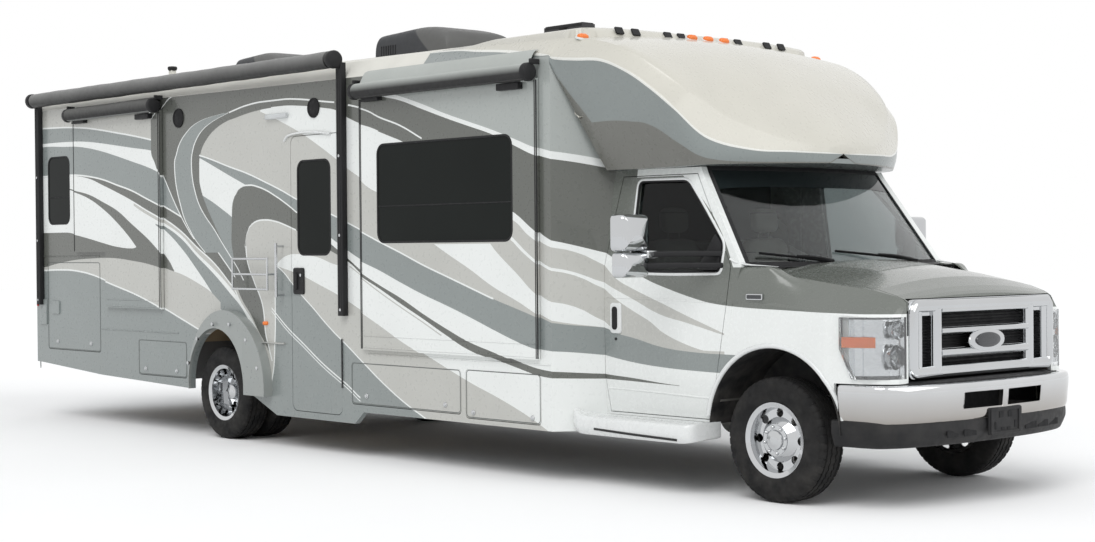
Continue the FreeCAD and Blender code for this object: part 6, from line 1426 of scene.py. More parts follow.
class MOTORHOME_OT_entry(bpy.types.Operator):
    """The entry door's handle, hinge, grab bar, lamps and speaker"""

    bl_idname = "motorhome.entry"
    bl_label = "Entry"

    def execute(self, context):
        body = "entry_door_body"
        plate = [block((-0.61, -1.302, 1.18), (-0.47, -1.289, 1.38), "-y", 0.018, 0.005),
                 block((-0.585, -1.316, 1.215), (-0.545, -1.300, 1.345), "-y", 0.014, 0.006)]
        make("entry_handle", plate, "moulded_black", body)
        lock = [turned([(0.0, 0.012), (0.006, 0.012), (0.008, 0.009), (0.008, 0.001)], (-0.505, -1.302, 1.325),
                       TO_RIGHT, 20)]
        make("entry_lock", lock, "bright_steel", body)
        x, y, radius = ENTRY_HINGE
        hinge = [bar([(x, y, low), (x, y, high)], radius, 10) for low,
                 high in ((0.50, 0.86), (1.20, 1.40), (2.00, 2.20))]
        make("entry_hinges", hinge, "moulded_black", "vehicle")
        arch = smooth_line([(-0.725, -1.293, 2.345), (-0.66, -1.297, 2.384), (-0.50, -1.300, 2.398),
                            (-0.30, -1.300, 2.392),
                            (-0.115, -1.297, 2.372)], 40)
        rail = strip(arch, 0.018, 0.010, TO_RIGHT)
        make("rain_rail", [rail], "gel_white")
        lamp = [block((-0.955, -1.318, 2.520), (-0.665, -1.289, 2.560), "-y", 0.012, 0.008, 0.002)]
        make("porch_lamp", lamp, "frosted", "vehicle")
        for name, x, z, radius in (("front", -0.33, 2.575, 0.075), ("rear", -2.26, 2.61, 0.080)):
            spots = [(0.0, radius), (0.010, radius * 0.985), (0.014, radius * 0.93), (0.012, radius * 0.86),
                     (0.006, radius * 0.82),
                     (0.010, radius * 0.55), (0.013, radius * 0.3), (0.014, radius * 0.04)]
            make("speaker_" + name, [turned(spots, (x, -1.289, z), TO_RIGHT, 48)], "speaker_cloth", "vehicle")
        angle = np.radians([22, 50, 78, 104, 132, 158])
        clips = [turned([(-0.01, 0.015), (0.006, 0.015), (0.009, 0.010), (0.010, 0.002)],
                        (FLARE_CENTRE[0] + FLARE_BOLT_CIRCLE * math.cos(a), -1.368,
                         FLARE_CENTRE[1] + FLARE_BOLT_CIRCLE * math.sin(a)), TO_RIGHT, 16) for a in angle]
        make("flare_clips", clips, "bright_steel")
        marks = [block((-1.03, -1.306, 0.935), (-0.97, -1.289, 0.965), "-y", 0.014, 0.008, 0.003)]
        make("side_marker", marks, "amber_lens")
        marks = [block((-4.795, -1.304, 1.015), (-4.770, -1.289, 1.050), "-y", 0.012, 0.006, 0.002)]
        make("rear_side_marker", marks, "red_lens", "vehicle")
        ledge = [strip([(-1.13, -1.291, 0.80), (-0.73, -1.291, 0.80)], 0.016, 0.020, TO_RIGHT)]
        make("step_rail", ledge, "alloy_rail", "vehicle")
        boxes = [block((-4.50, -1.302, 0.95), (-4.36, -1.289, 1.07), "-y", 0.012, 0.004),
                 block((-4.73, -1.304, 0.85), (-4.60, -1.289, 1.08), "-y", 0.012, 0.004)]
        make("service_covers", boxes, "coach_paint")
        return {"FINISHED"}


# ------------------------------------------------------------------ awnings
class MOTORHOME_OT_awnings(bpy.types.Operator):
    """The long awning's wrapped roll and arms, and the covers over the slide-out rooms"""

    bl_idname = "motorhome.awnings"
    bl_label = "Awnings"

    def execute(self, context):
        x0, x1, y, z = -4.655, 0.015, -1.375, 2.900
        angle = np.linspace(0, 2 * np.pi, 56, endpoint=False)
        along = np.linspace(x0 + 0.02, x1 - 0.02, 60)
        wave = 0.0012 * np.sin(along[:, None] * 9.0 + 1.5 * np.sin(angle[None])) + 0.0009 * np.sin(along[:,
                None] * 23.0 + angle[None] * 2)
        radius = 0.0655 - 0.0035 * (angle[None] / (2 * np.pi)) + wave - 0.001
        rings = np.stack([along[:, None] + 0 * angle[None], y + radius * np.cos(angle[None]),
                          z + radius * np.sin(angle[None])], -1)
        # The roll's finish is painted paler on top as light and darker underneath as shade
        make("awning_roll", [shell(rings)], "awning_vinyl", "vehicle", ["awning"])
        arms, joints = [], []
        for x in (-4.725, 0.015):
            section = rounded(0.0345, 0.0245, 0.008, 4)
            path = np.array([(x + 0.035, -1.3155, 1.031), (x + 0.035, -1.3155, 1.6), (x + 0.035, -1.3155, 2.2),
                             (x + 0.035, -1.3155, 2.88)])
            arms.append(shell(carry(path, section, TO_RIGHT)))
            for offset in (-0.012, 0.012):
                arms.append(strip([(x + 0.035 + offset, -1.340, 1.06), (x + 0.035 + offset, -1.340, 2.84)], 0.006,
                                  0.003, TO_RIGHT))
            for level in (1.075, 1.62, 2.20):
                joints.append(turned([(0.0, 0.011), (0.003, 0.011), (0.005, 0.006), (0.005, 0.001)],
                                     (x + 0.035, -1.3400, level),
                                     TO_RIGHT, 16))
            cap = [(0.0, 0.030), (0.004, 0.062), (0.018, 0.0665), (0.045, 0.0665), (0.060, 0.058), (0.066, 0.030),
                   (0.068, 0.004)]
            arms.append(turned(cap, (x if x > -1 else x + 0.070, y, z), (1.0 if x > -1 else -1.0, 0, 0), 40))
            neck = smooth_line([(x + 0.035, -1.318, 2.80), (x + 0.035, -1.330, 2.86), (x + 0.035, -1.352, 2.895)],
                               12)
            arms.append(bar(neck, 0.020, 12))
        make("awning_arms", arms, "moulded_black")
        make("awning_bolts", joints, "bright_steel")
        for name, x0, x1, z in (("front", 0.275, 2.190, 2.648), ("rear", -4.030, -2.510, 2.728)):
            body = "slide_%s_body" % name
            angle = np.linspace(0, 2 * np.pi, 48, endpoint=False)
            along = np.linspace(x0 + 0.03, x1 - 0.03, 40)
            radius = 0.0530 + 0.0006 * np.sin(along[:, None] * 14 + angle[None] * 2)
            rings = np.stack([along[:, None] + 0 * angle[None], -1.372 + radius * np.cos(angle[None]),
                              z + radius * np.sin(angle[None])], -1)
            covers = [shell(rings)]
            # The roll's finish is painted paler on top as light and darker underneath as shade
            make("topper_roll_" + name, covers, "topper_vinyl", body)
            ends = []
            for x, way in ((x0, 1.0), (x1, -1.0)):
                cap = [(-0.004, 0.012), (-0.003, 0.045), (0.001, 0.056), (0.008, 0.0600), (0.038, 0.0600),
                       (0.042, 0.056), (0.043, 0.01)]
                ends.append(turned(cap, (x, -1.372, z), (way, 0, 0), 32))
                near = x + 0.055 if way > 0 else x - 0.35
                drop = 0.030 if way > 0 else 0.055
                ends.append(block((near, -1.362, z - drop - 0.045), (near + 0.22, -1.318, z - drop), "-y", 0.006,
                                  0.004))
                ends.append(block((x - 0.012, -1.372, z + 0.050), (x + 0.012, -1.300, z + 0.085), "-y", 0.006,
                                  0.004))
            make("topper_ends_" + name, ends, "moulded_black", body)
        return {"FINISHED"}


# ------------------------------------------------------------------ lower front
class MOTORHOME_OT_lower_front(bpy.types.Operator):
    """The black air dam with its slots, the blank plate holder and the radiator behind the bumper"""

    bl_idname = "motorhome.lower_front"
    bl_label = "Lower front"

    def execute(self, context):
        line = bumper_line(120) - [0.020, 0, 0]
        profile = [(-0.085, 0.520), (-0.030, 0.523), (-0.008, 0.517), (-0.004, 0.500), (-0.002, 0.470),
                   (-0.006, 0.440),
                   (-0.030, 0.385), (-0.040, 0.372), (-0.055, 0.366), (-0.090, 0.366)]
        profile = smooth_line(profile, 37)
        shut = np.concatenate([profile, profile[::-1] * [1, 1] + [-0.006, 0.0]])
        shut[37:, 1] = np.clip(shut[37:, 1], 0.371, 0.515)
        rings = carry(line, shut, UP)
        if rings[60, 15, 0] < line[60, 0] - 0.05:
            rings = carry(line, shut * [-1, 1], UP)
        make("air_dam", [shell(rings)], "moulded_black", "vehicle", ["front_valance"], sharp=50.0)
        slots = []
        for y, half in ((-0.46, 0.055), (-0.31, 0.060), (0.31, 0.060), (0.46, 0.055), (0.61, 0.05)):
            x = float(np.interp(abs(y), [row[1] for row in BUMPER_PLAN],
                                [BUMPER_X + row[0] for row in BUMPER_PLAN])) - 0.024
            slots.append(slab((x, y, 0.432), TO_LEFT, UP, half, 0.020, 0.003, 0.005, 0.001))
        make("air_dam_slots", slots, "mesh_black")
        holder = [slab((4.810, 0, 0.484), TO_LEFT, UP, 0.162, 0.080, 0.014, 0.012, 0.004)]
        for y in (-0.142, 0.142):
            holder.append(slab((4.812, y, 0.484), TO_LEFT, UP, 0.014, 0.074, 0.0195, 0.006, 0.003))
        for z in (0.415, 0.552):
            holder.append(slab((4.812, 0, z), TO_LEFT, UP, 0.150, 0.009, 0.0185, 0.004, 0.003))
        make("plate_holder", holder, "moulded_black")
        marks = [slab((4.8245, y, z), TO_LEFT, UP, half, tall, 0.0022, 0.004, 0.001)
                 for y, z, half, tall in ((-0.045, 0.520, 0.022, 0.018), (0.045, 0.520, 0.022, 0.018),
                                          (-0.10, 0.458, 0.010, 0.022),
                                          (0.10, 0.458, 0.010, 0.022), (-0.03, 0.437, 0.018, 0.008),
                                          (0.03, 0.437, 0.018, 0.008))]
        make("plate_holder_slots", marks, "mesh_black")
        core = [slab((4.545, 0, 0.900), TO_LEFT, UP, 0.600, 0.230, 0.020, 0.010, 0.004),
                slab((4.560, 0, 0.640), TO_LEFT, UP, 0.680, 0.105, 0.030, 0.010, 0.004)]
        for z in np.arange(0.60, 1.10, 0.022):
            core.append(strip([(4.565, -0.57, z), (4.565, 0.57, z)], 0.008, 0.006, TO_FRONT))
        make("radiator", core, "mesh_black")
        pan_line = bumper_line(90)
        pan = carry(pan_line, [(-0.30, 0.742), (-0.10, 0.738), (-0.075, 0.728), (-0.075, 0.722), (-0.30, 0.730)],
                    UP)
        if pan[45, 0, 0] > pan_line[45, 0]:
            pan = carry(pan_line, [(0.30, 0.742), (0.10, 0.738), (0.075, 0.728), (0.075, 0.722), (0.30, 0.730)], UP)
        make("bumper_pad", [shell(pan)], "moulded_black")
        return {"FINISHED"}


# ------------------------------------------------------------------ running boards
# Each section: x, how far out, top, bottom.
BOARD_ROWS = [(2.292, 1.050, 0.560, 0.470), (2.330, 1.120, 0.520, 0.400), (2.380, 1.190, 0.480, 0.352),
              (2.450, 1.226, 0.452, 0.334),
              (2.520, 1.236, 0.446, 0.330), (3.340, 1.238, 0.446, 0.330), (3.395, 1.222, 0.448, 0.334),
              (3.424, 1.180, 0.450, 0.342),
              (3.434, 1.090, 0.452, 0.352)]


class MOTORHOME_OT_boards(bpy.types.Operator):
    """The moulded running boards below the cab doors, each with a tread let into its top"""

    bl_idname = "motorhome.boards"
    bl_label = "Running boards"

    def execute(self, context):
        table = np.array(BOARD_ROWS)
        rows = np.concatenate([smooth_line(table[:5], 22), smooth_line(table[5:], 18)])
        for name, side in SIDES:
            x, out, top, low = (rows[:, k:k + 1] for k in range(4))
            inner = 0.945
            turn = np.linspace(0, np.pi / 2, 7)[None]
            round_top = 0.026
            y = np.concatenate([inner + 0 * x, out - 0.105 + 0 * x, out - 0.098, out - 0.035,
                                out - 0.028 + round_top * np.sin(turn),
                                out + 0.002, out - 0.004, out - 0.022, inner + 0 * x], 1)
            sunk = np.clip((x - 2.50) / 0.02, 0, 1) * np.clip((3.36 - x) / 0.02, 0, 1) * 0.014
            z = np.concatenate([top - 0.002, top - 0.002, top - sunk, top - sunk,
                                top - round_top + round_top * np.cos(turn),
                                (top + low) / 2, low + 0.02, low, low + 0.01], 1)
            rings = np.stack([x + 0 * y, side * y, z], -1)
            skin = [shell(rings)]
            make("running_board_" + name, skin, "gel_white", "vehicle",
                 ["running_boards"] if side < 0 else (), sharp=40.0)
            tread = [slab((2.93, side * 1.168, 0.4285), (side, 0, 0), (0, side, 0), 0.420, 0.030, 0.004, 0.012,
                          0.002)]
            for at in np.arange(2.54, 3.33, 0.03):
                tread.append(strip([(at, side * 1.142, 0.4325), (at, side * 1.194, 0.4325)], 0.008, 0.003, UP))
            line = smooth_line([(2.62, side * 1.2385, 0.372), (2.98, side * 1.2395, 0.360),
                                (3.34, side * 1.2385, 0.352)], 20)
            tread.append(strip(line, 0.014, 0.002, (0, side, 0)))
            make("board_tread_" + name, tread, "moulded_black")
        return {"FINISHED"}


# ------------------------------------------------------------------ roof
def shroud(low_x, high_x, half, base, height):
    """A boxy cover with a sloping front. Its height follows a smooth line along it, and each section is a
    half superellipse: a cosine raised to a small power across, and a sine raised to one upwards."""
    line = smooth_line([(0.0, 0.09), (0.001, 0.66), (0.013, 0.87), (0.053, 0.912), (0.24, 0.947), (0.46, 0.99),
                        (0.60, 1.0),
                        (0.75, 0.94), (0.91, 0.79), (0.97, 0.66), (0.996, 0.39), (1.0, 0.09)], 64)
    angle = np.linspace(0, np.pi, 45)[None]
    x, tall = low_x + line[:, :1] * (high_x - low_x), line[:, 1:] * height
    y = half * np.sign(np.cos(angle)) * np.abs(np.cos(angle)) ** 0.30
    z = base + tall * np.sin(angle) ** 0.42
    return shell(np.stack(np.broadcast_arrays(x, y, z), -1))


class MOTORHOME_OT_roof(bpy.types.Operator):
    """The air conditioner's shroud, the vent lids, the vent pipe's cap and the antenna"""

    bl_idname = "motorhome.roof"
    bl_label = "Roof"

    def execute(self, context):
        make("cooler_shroud", [shroud(-0.818, 0.082, 0.345, 3.027, 0.228)], "cooler_shell", "vehicle",
             ["roof_air_conditioner"], sharp=60.0)
        make("rear_shroud", [shroud(-2.930, -2.250, 0.320, 3.030, 0.212)], "cooler_shell", "vehicle",
             sharp=60.0)
        slats = []
        for y in np.linspace(-0.27, 0.27, 13):
            slats.append(strip([(-0.8165, y, 3.050), (-0.8160, y, 3.165)], 0.018, 0.005, TO_REAR))
        for side in (-1, 1):
            for at in np.linspace(-0.74, -0.56, 7):
                slats.append(strip([(at, side * 0.3445, 3.05), (at, side * 0.3445, 3.13)], 0.012, 0.005,
                                   (0, side, 0)))
        make("cooler_slats", slats, "moulded_black")
        lid = [slab((-3.40, 0, 3.122), TO_FRONT, TO_LEFT, 0.212, 0.212, 0.054, 0.04, 0.020, 0.026)]
        make("vent_lid", lid, "cooler_grey", "vehicle")
        pipe = [turned([(0.0, 0.020), (0.01, 0.040), (0.030, 0.046), (0.042, 0.040), (0.046, 0.004)],
                       (-4.105, -0.25, 3.198), UP, 28),
                slab((1.09, 0, 3.128), TO_FRONT, TO_LEFT, 0.208, 0.062, 0.026, 0.020, 0.010, 0.004),
                turned([(0.0, 0.034), (0.06, 0.040), (0.10, 0.075), (0.104, 0.080), (0.106, 0.02)],
                       (1.09, 0, 3.024), UP, 28)]
        make("antenna_and_pipe", pipe, "moulded_black")
        return {"FINISHED"}


# ------------------------------------------------------------------ rear and left side
class MOTORHOME_OT_rear(bpy.types.Operator):
    """Window rubbers, lamp bezels, clearance lamps, plate panel and latches at the rear and on the left side"""

    bl_idname = "motorhome.rear"
    bl_label = "Rear and left side"

    def execute(self, context):
        rubber = []
        for x0, x1, z0, z1 in ((-4.562, -4.155, 1.766, 2.378), (0.484, 1.948, 1.562, 2.262),
                               (-2.700, -1.700, 1.560, 2.260)):
            rim = window_line(x0 + 0.003, x1 - 0.003, z0 + 0.003, z1 - 0.003, 0.07, on_side(WALL_Y - 0.001))
            rubber.append(strip(rim, 0.016, 0.005, TO_LEFT, closed=True))
            split = z0 + 0.36 * (z1 - z0)
            rubber.append(strip([(x0 + 0.01, WALL_Y - 0.004, split), (x1 - 0.01, WALL_Y - 0.004, split)], 0.010,
                                0.004, TO_LEFT, sink=0.001))
        rim = window_line(-0.597, 0.597, 1.769, 2.375, 0.07, on_end(-4.809))
        rubber.append(strip(rim, 0.016, 0.005, TO_REAR, closed=True))
        make("window_rubber_left_and_rear", rubber, "seal_rubber")
        bezels, lamps = [], []
        for side in (-1, 1):
            for z in (0.754, 0.894, 1.034):
                bezels.append(turned([(0.0, 0.066), (0.006, 0.064), (0.008, 0.060), (0.004, 0.054),
                                      (-0.004, 0.054), (-0.004, 0.060)],
                                     (-4.810, side * 1.170, z), TO_REAR, 32, wrap=True))
            lamps.append(slab((-4.811, side * 1.12, 2.700), TO_RIGHT, UP, 0.045, 0.017, 0.018, 0.012, 0.008, 0.003))
            lamps.append(slab((-4.811, side * 0.55, 0.55), TO_RIGHT, UP, 0.045, 0.017, 0.014, 0.012, 0.006, 0.002))
        for y in (-0.18, 0.0, 0.18):
            lamps.append(slab((-4.811, y, 2.735), TO_RIGHT, UP, 0.040, 0.014, 0.018, 0.010, 0.008, 0.003))
        lamps.append(slab((-4.811, 0.0, 2.640), TO_RIGHT, UP, 0.110, 0.014, 0.014, 0.010, 0.006, 0.003))
        make("tail_lamp_bezels", bezels, "chrome")
        make("rear_marker_lamps", lamps, "red_lens", "vehicle")
        panel = [slab((-4.811, 0.62, 0.905), TO_RIGHT, UP, 0.17, 0.10, 0.006, 0.02, 0.004)]
        make("plate_panel", panel, "moulded_black")
        blank = [slab((-4.816, 0.62, 0.905), TO_RIGHT, UP, 0.152, 0.076, 0.004, 0.010, 0.001),
                 slab((1.90, 1.290, 1.10), TO_REAR, UP, 0.09, 0.09, 0.008, 0.02, 0.004),
                 slab((2.06, 1.290, 0.80), TO_REAR, UP, 0.06, 0.06, 0.008, 0.02, 0.004),
                 slab((-3.10, 1.290, 1.00), TO_REAR, UP, 0.11, 0.20, 0.008, 0.02, 0.004)]
        make("blank_covers", blank, "gel_white")
        gills = [strip([(x - 0.085, 1.299, z), (x + 0.085, 1.299, z)], 0.014, 0.006, TO_LEFT)
                 for x, low, high in ((-3.10, 0.85, 1.16),) for z in np.arange(low, high, 0.03)]
        make("furnace_gills", gills, "gel_white")
        for name, spots in (("hatch_left_rear", ((-4.25, 0.62), (-3.55, 0.62))),
                            ("hatch_left_middle", ((0.32, 0.445), (1.25, 0.445)))):
            parts = []
            for x, z in spots:
                parts.append(slab((x, WALL_Y + 0.001, z), TO_REAR, UP, 0.034, 0.024, 0.007, 0.012, 0.003))
                parts.append(turned([(0.004, 0.011), (0.010, 0.011), (0.012, 0.008), (0.012, 0.002)],
                                    (x, WALL_Y + 0.001, z), TO_LEFT, 20))
            make("latches_" + name, parts, "moulded_black", name + "_body")
        seams = [strip([(-4.8095, y, 0.44), (-4.8095, y, 2.66)], 0.012, 0.004, TO_REAR) for y in (-1.262, 1.262)]
        make("corner_mouldings", seams, "gel_white")
        return {"FINISHED"}


# ------------------------------------------------------------------ cab interior
def cushion(name, centre, half, power, lean, body, finish, piping, cap, pressure, replaces=()):
    """A padded block: a ball whose three powers square it off, filled by cloth pressure, with a sewn cord
    round its edge. lean tips it back by so much sideways shift per metre of height."""
    high = np.linspace(-np.pi / 2, np.pi / 2, 41)[:, None]
    turn = np.linspace(0, 2 * np.pi, 80, endpoint=False)[None]

    def power_of(value, amount):
        """The size of a value raised to a power, with its sign kept."""
        return np.sign(value) * np.abs(value) ** amount
    spots = np.stack(np.broadcast_arrays(power_of(np.cos(high), power) * power_of(np.cos(turn), power),
                                         power_of(np.cos(high), power) * power_of(np.sin(turn), power),
                                         power_of(np.sin(high), power)), -1) * np.array(half) * 0.97
    spots[..., 0] -= lean * spots[..., 2]
    piece = make(name, [shell(spots + np.array(centre))], finish, body, replaces, sharp=180.0)
    plump(piece, cap, pressure)
    corners = np.array([(half[0], half[1]), (-half[0], half[1]), (-half[0], -half[1]), (half[0], -half[1])]) * 0.955
    flat = soften(corners, min(half[0], half[1]) * 0.5, 9)
    lift = half[2] * 0.60
    loop = np.stack([flat[:, 0] - lean * lift, flat[:, 1], np.full(len(flat), lift)], -1) + np.array(centre)
    make(name + "_piping", [bar(loop, 0.0045, 8, closed=True)], piping, body)
    return piece


def plump(piece, cap, pressure):
    """Fills a padded piece with air as cloth, and keeps each point within the cap of where it began."""
    scene = bpy.context.scene
    remesh = piece.modifiers.new("even", "REMESH")
    remesh.mode, remesh.voxel_size = "VOXEL", 0.012
    bpy.context.view_layer.update()
    graph = bpy.context.evaluated_depsgraph_get()
    even = bpy.data.meshes.new_from_object(piece.evaluated_get(graph))
    piece.modifiers.clear()
    materials = list(piece.data.materials)
    piece.data = even
    even.materials.clear()
    for material in materials:
        even.materials.append(material)
    start = np.empty(len(even.vertices) * 3)
    even.vertices.foreach_get("co", start)
    cloth = piece.modifiers.new("air", "CLOTH")
    cloth.settings.use_pressure = True
    cloth.settings.uniform_pressure_force = pressure
    cloth.settings.effector_weights.gravity = 0.0
    cloth.point_cache.frame_start, cloth.point_cache.frame_end = 1, 14
    for frame_number in range(1, 15):
        scene.frame_set(frame_number)
    graph = bpy.context.evaluated_depsgraph_get()
    filled = piece.evaluated_get(graph).to_mesh()
    end = np.empty(len(filled.vertices) * 3)
    filled.vertices.foreach_get("co", end)
    piece.evaluated_get(graph).to_mesh_clear()
    piece.modifiers.clear()
    scene.frame_set(1)
    shift = (end - start).reshape(-1, 3)
    length = np.linalg.norm(shift, axis=1, keepdims=True)
    shift *= np.minimum(1.0, cap / np.maximum(length, 1e-9))
    even.vertices.foreach_set("co", (start + shift.ravel()))
    even.polygons.foreach_set("use_smooth", [True] * len(even.polygons))
    even.update()


class MOTORHOME_OT_cab_interior(bpy.types.Operator):
    """Padded cab seats, and the dashboard's pad and dials"""

    bl_idname = "motorhome.cab_interior"
    bl_label = "Cab interior"

    def execute(self, context):
        rise = context.scene.motorhome_sizes.cushion_rise
        for name, side in SIDES:
            y = side * 0.45
            owner = ["cab_seats"] if side < 0 else ()
            cushion("seat_cushion_" + name, (2.800, y, 0.930), (0.235, 0.245, 0.064), 0.38, 0.0, "vehicle",
                    "seat_cloth", "seat_cord",
                    rise, 3.0, owner)
            cushion("seat_back_" + name, (2.600, y, 1.300), (0.062, 0.225, 0.285), 0.38, 0.12, "vehicle",
                                          "seat_cloth", "seat_cord", rise, 3.0)
            cushion("headrest_" + name, (2.575, y, 1.690), (0.040, 0.125, 0.085), 0.5, 0.05, "vehicle",
                    "seat_cloth", "seat_cord",
                    rise * 0.6, 3.0)
            base = [slab((2.800, y, 0.602), TO_FRONT, TO_LEFT, 0.215, 0.210, 0.250, 0.03, 0.02),
                    bar([(2.575, y - 0.05, 1.56), (2.573, y - 0.05, 1.64)], 0.007, 10),
                    bar([(2.575, y + 0.05, 1.56), (2.573, y + 0.05, 1.64)], 0.007, 10)]
            make("seat_base_" + name, base, "cab_plastic", "vehicle")
        across = np.linspace(-0.90, 0.90, 61)[:, None]
        turn = np.linspace(0, 1, 15)[None]
        bulge = 0.030 * np.exp(-((across - 0.42) / 0.22) ** 2)
        x = 3.330 - 0.265 * turn - 0.02 * np.cos(across * 1.5) * turn
        z = 1.318 + bulge * np.sin(np.pi * turn) - 0.06 * turn ** 3
        top = np.stack([x + 0 * z, across + 0 * x, z], -1)
        under = top - np.array([0.0, 0.0, 0.012])
        pad = [shell(np.concatenate([top, under[:, ::-1]], 1))]
        for y in (-0.78, -0.10, 0.10, 0.78):
            pad.append(slab((3.052, y, 1.215), TO_RIGHT, UP, 0.060, 0.034, 0.014, 0.012, 0.006))
        make("dash_pad", pad, "cab_plastic", "vehicle")
        dials = [slab((3.055, 0.42, 1.245), TO_RIGHT, UP, 0.150, 0.048, 0.012, 0.030, 0.008),
                 slab((3.052, 0.0, 1.10), TO_RIGHT, UP, 0.095, 0.050, 0.010, 0.010, 0.004)]
        make("dash_dials", dials, "moulded_black")
        return {"FINISHED"}


# ------------------------------------------------------------------ slide-out fabric
class MOTORHOME_OT_toppers(bpy.types.Operator):
    """The fabric that runs from the coach's roof edge over each slide-out room's roll"""

    bl_idname = "motorhome.toppers"
    bl_label = "Slide-out fabric"

    def execute(self, context):
        for name, x0, x1, z, edge in (("front", 0.315, 2.150, 2.648, 2.802),
                                      ("rear", -3.990, -2.550, 2.728, 2.822)):
            side_line = [(-1.262, edge), (-1.300, edge - 0.022), (-1.345, z + 0.0560)]
            around = [(-1.372 + 0.0565 * math.cos(a), z + 0.0565 * math.sin(a)) for a in np.linspace(1.45, 4.0, 9)]
            line = smooth_line(side_line + around, 44)
            line = np.concatenate([line, (line - [0.0, 0.0016])[::-1]])
            along = np.linspace(x0, x1, 60)[:, None]
            sag = 0.0022 * np.sin(along * 7.0) * np.sin(np.linspace(0, 2 * np.pi, len(line)))[None] ** 2
            rings = np.stack(np.broadcast_arrays(along, line[None, :, 0], line[None, :, 1] - sag), -1)
            # The fabric's finish turns from its pale cloth on top to painted shade under the roll
            fabric = make("topper_fabric_" + name, [shell(rings)], "topper_cloth_" + name, None,
                          sharp=60.0)
            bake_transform(fabric)
        return {"FINISHED"}


# ------------------------------------------------------------------ operators
class StageSettings(bpy.types.PropertyGroup):
    """Camera place and light levels."""

    camera_place: bpy.props.FloatVectorProperty(
        name="Camera place", description="Where the camera stands", default=(10.99086, -9.20287, 1.51713),
        subtype="TRANSLATION", unit="LENGTH")
    heading: bpy.props.FloatProperty(
        name="Heading", description="Direction of view, from +X towards +Y", default=math.radians(137.835),
        subtype="ANGLE", unit="ROTATION")
    tilt: bpy.props.FloatProperty(
        name="Tilt", description="Angle of view above the horizon", default=math.radians(-0.7293),
        subtype="ANGLE", unit="ROTATION")
    roll: bpy.props.FloatProperty(
        name="Roll", description="Turn about the line of sight", default=math.radians(-0.4724),
        subtype="ANGLE", unit="ROTATION")
    focal_length: bpy.props.FloatProperty(
        name="Focal length", description="On a 36 mm wide sensor, in millimetres", default=60.287)
    sky: bpy.props.FloatProperty(name="Sky", description="Strength of the even light", default=0.62)
    key: bpy.props.FloatProperty(name="Key", description="Strength of the soft main light", default=1.35)


def paint_property(word, text):
    """A colour that a user can change, with its default from PAINT."""
    return bpy.props.FloatVectorProperty(name=word.replace("_", " ").capitalize(), description=text,
                                         default=PAINT[word],
                                         subtype="COLOR", min=0.0, max=1.0)


class PaintSettings(bpy.types.PropertyGroup):
    """The colours of the coach, the cab and the cap."""

    white: paint_property("white", "The body's white")
    taupe: paint_property("taupe", "The pale warm stripes")
    panel_grey: paint_property("panel_grey", "The light panels")
    blue_grey: paint_property("blue_grey", "The blue-grey stripes")
    olive: paint_property("olive", "The darkest stripes")
    cab_olive: paint_property("cab_olive", "The cab's upper colour")
    cap_beige: paint_property("cap_beige", "The front cap's colour")


class SizeSettings(bpy.types.PropertyGroup):
    """Sizes of small parts."""

    seal_width: bpy.props.FloatProperty(
        name="Seal width", description="Width of the slide-out rooms' side seals", default=0.008,
        subtype="DISTANCE", unit="LENGTH")
    latch_radius: bpy.props.FloatProperty(
        name="Latch radius", description="Radius of the hatch latches", default=0.019, subtype="DISTANCE",
        unit="LENGTH")
    cushion_rise: bpy.props.FloatProperty(
        name="Cushion rise", description="How far a cushion may swell", default=0.010, subtype="DISTANCE",
        unit="LENGTH")


def plain_world(strength):
    """Even light from everywhere, seen as white by the camera, in metal and through glass."""
    world = bpy.data.worlds.new("studio")
    bpy.context.scene.world = world
    world.use_nodes = True
    world.node_tree.nodes.clear()
    bench = Bench(world.node_tree)
    path = bench.node("LightPath").outputs
    seen = bench.math("MAXIMUM", path["Is Camera Ray"], path["Is Transmission Ray"])
    seen = bench.math("MAXIMUM", seen, path["Is Glossy Ray"])
    lit = bench.node("Background", {"Color": (0.97, 0.985, 1.0), "Strength": strength}).outputs[0]
    white = bench.node("Background", {"Color": (1.0, 1.0, 1.0), "Strength": 1.0}).outputs[0]
    mixed = bench.node("MixShader", {0: seen, 1: lit, 2: white}).outputs[0]
    bench.tree.links.new(mixed, bench.node("OutputWorld").inputs[0])


def floor_material():
    """A plain pale floor with faint broad noise."""
    material, bench = new_material("studio_floor")
    tint = bench.mix(bench.noise(0.6, 2.0), (0.97, 0.97, 0.97), (1.0, 1.0, 1.0))
    shader = bench.node("BsdfDiffuse", {"Color": tint}).outputs[0]
    bench.tree.links.new(shader, bench.node("OutputMaterial").inputs[0])
    return material


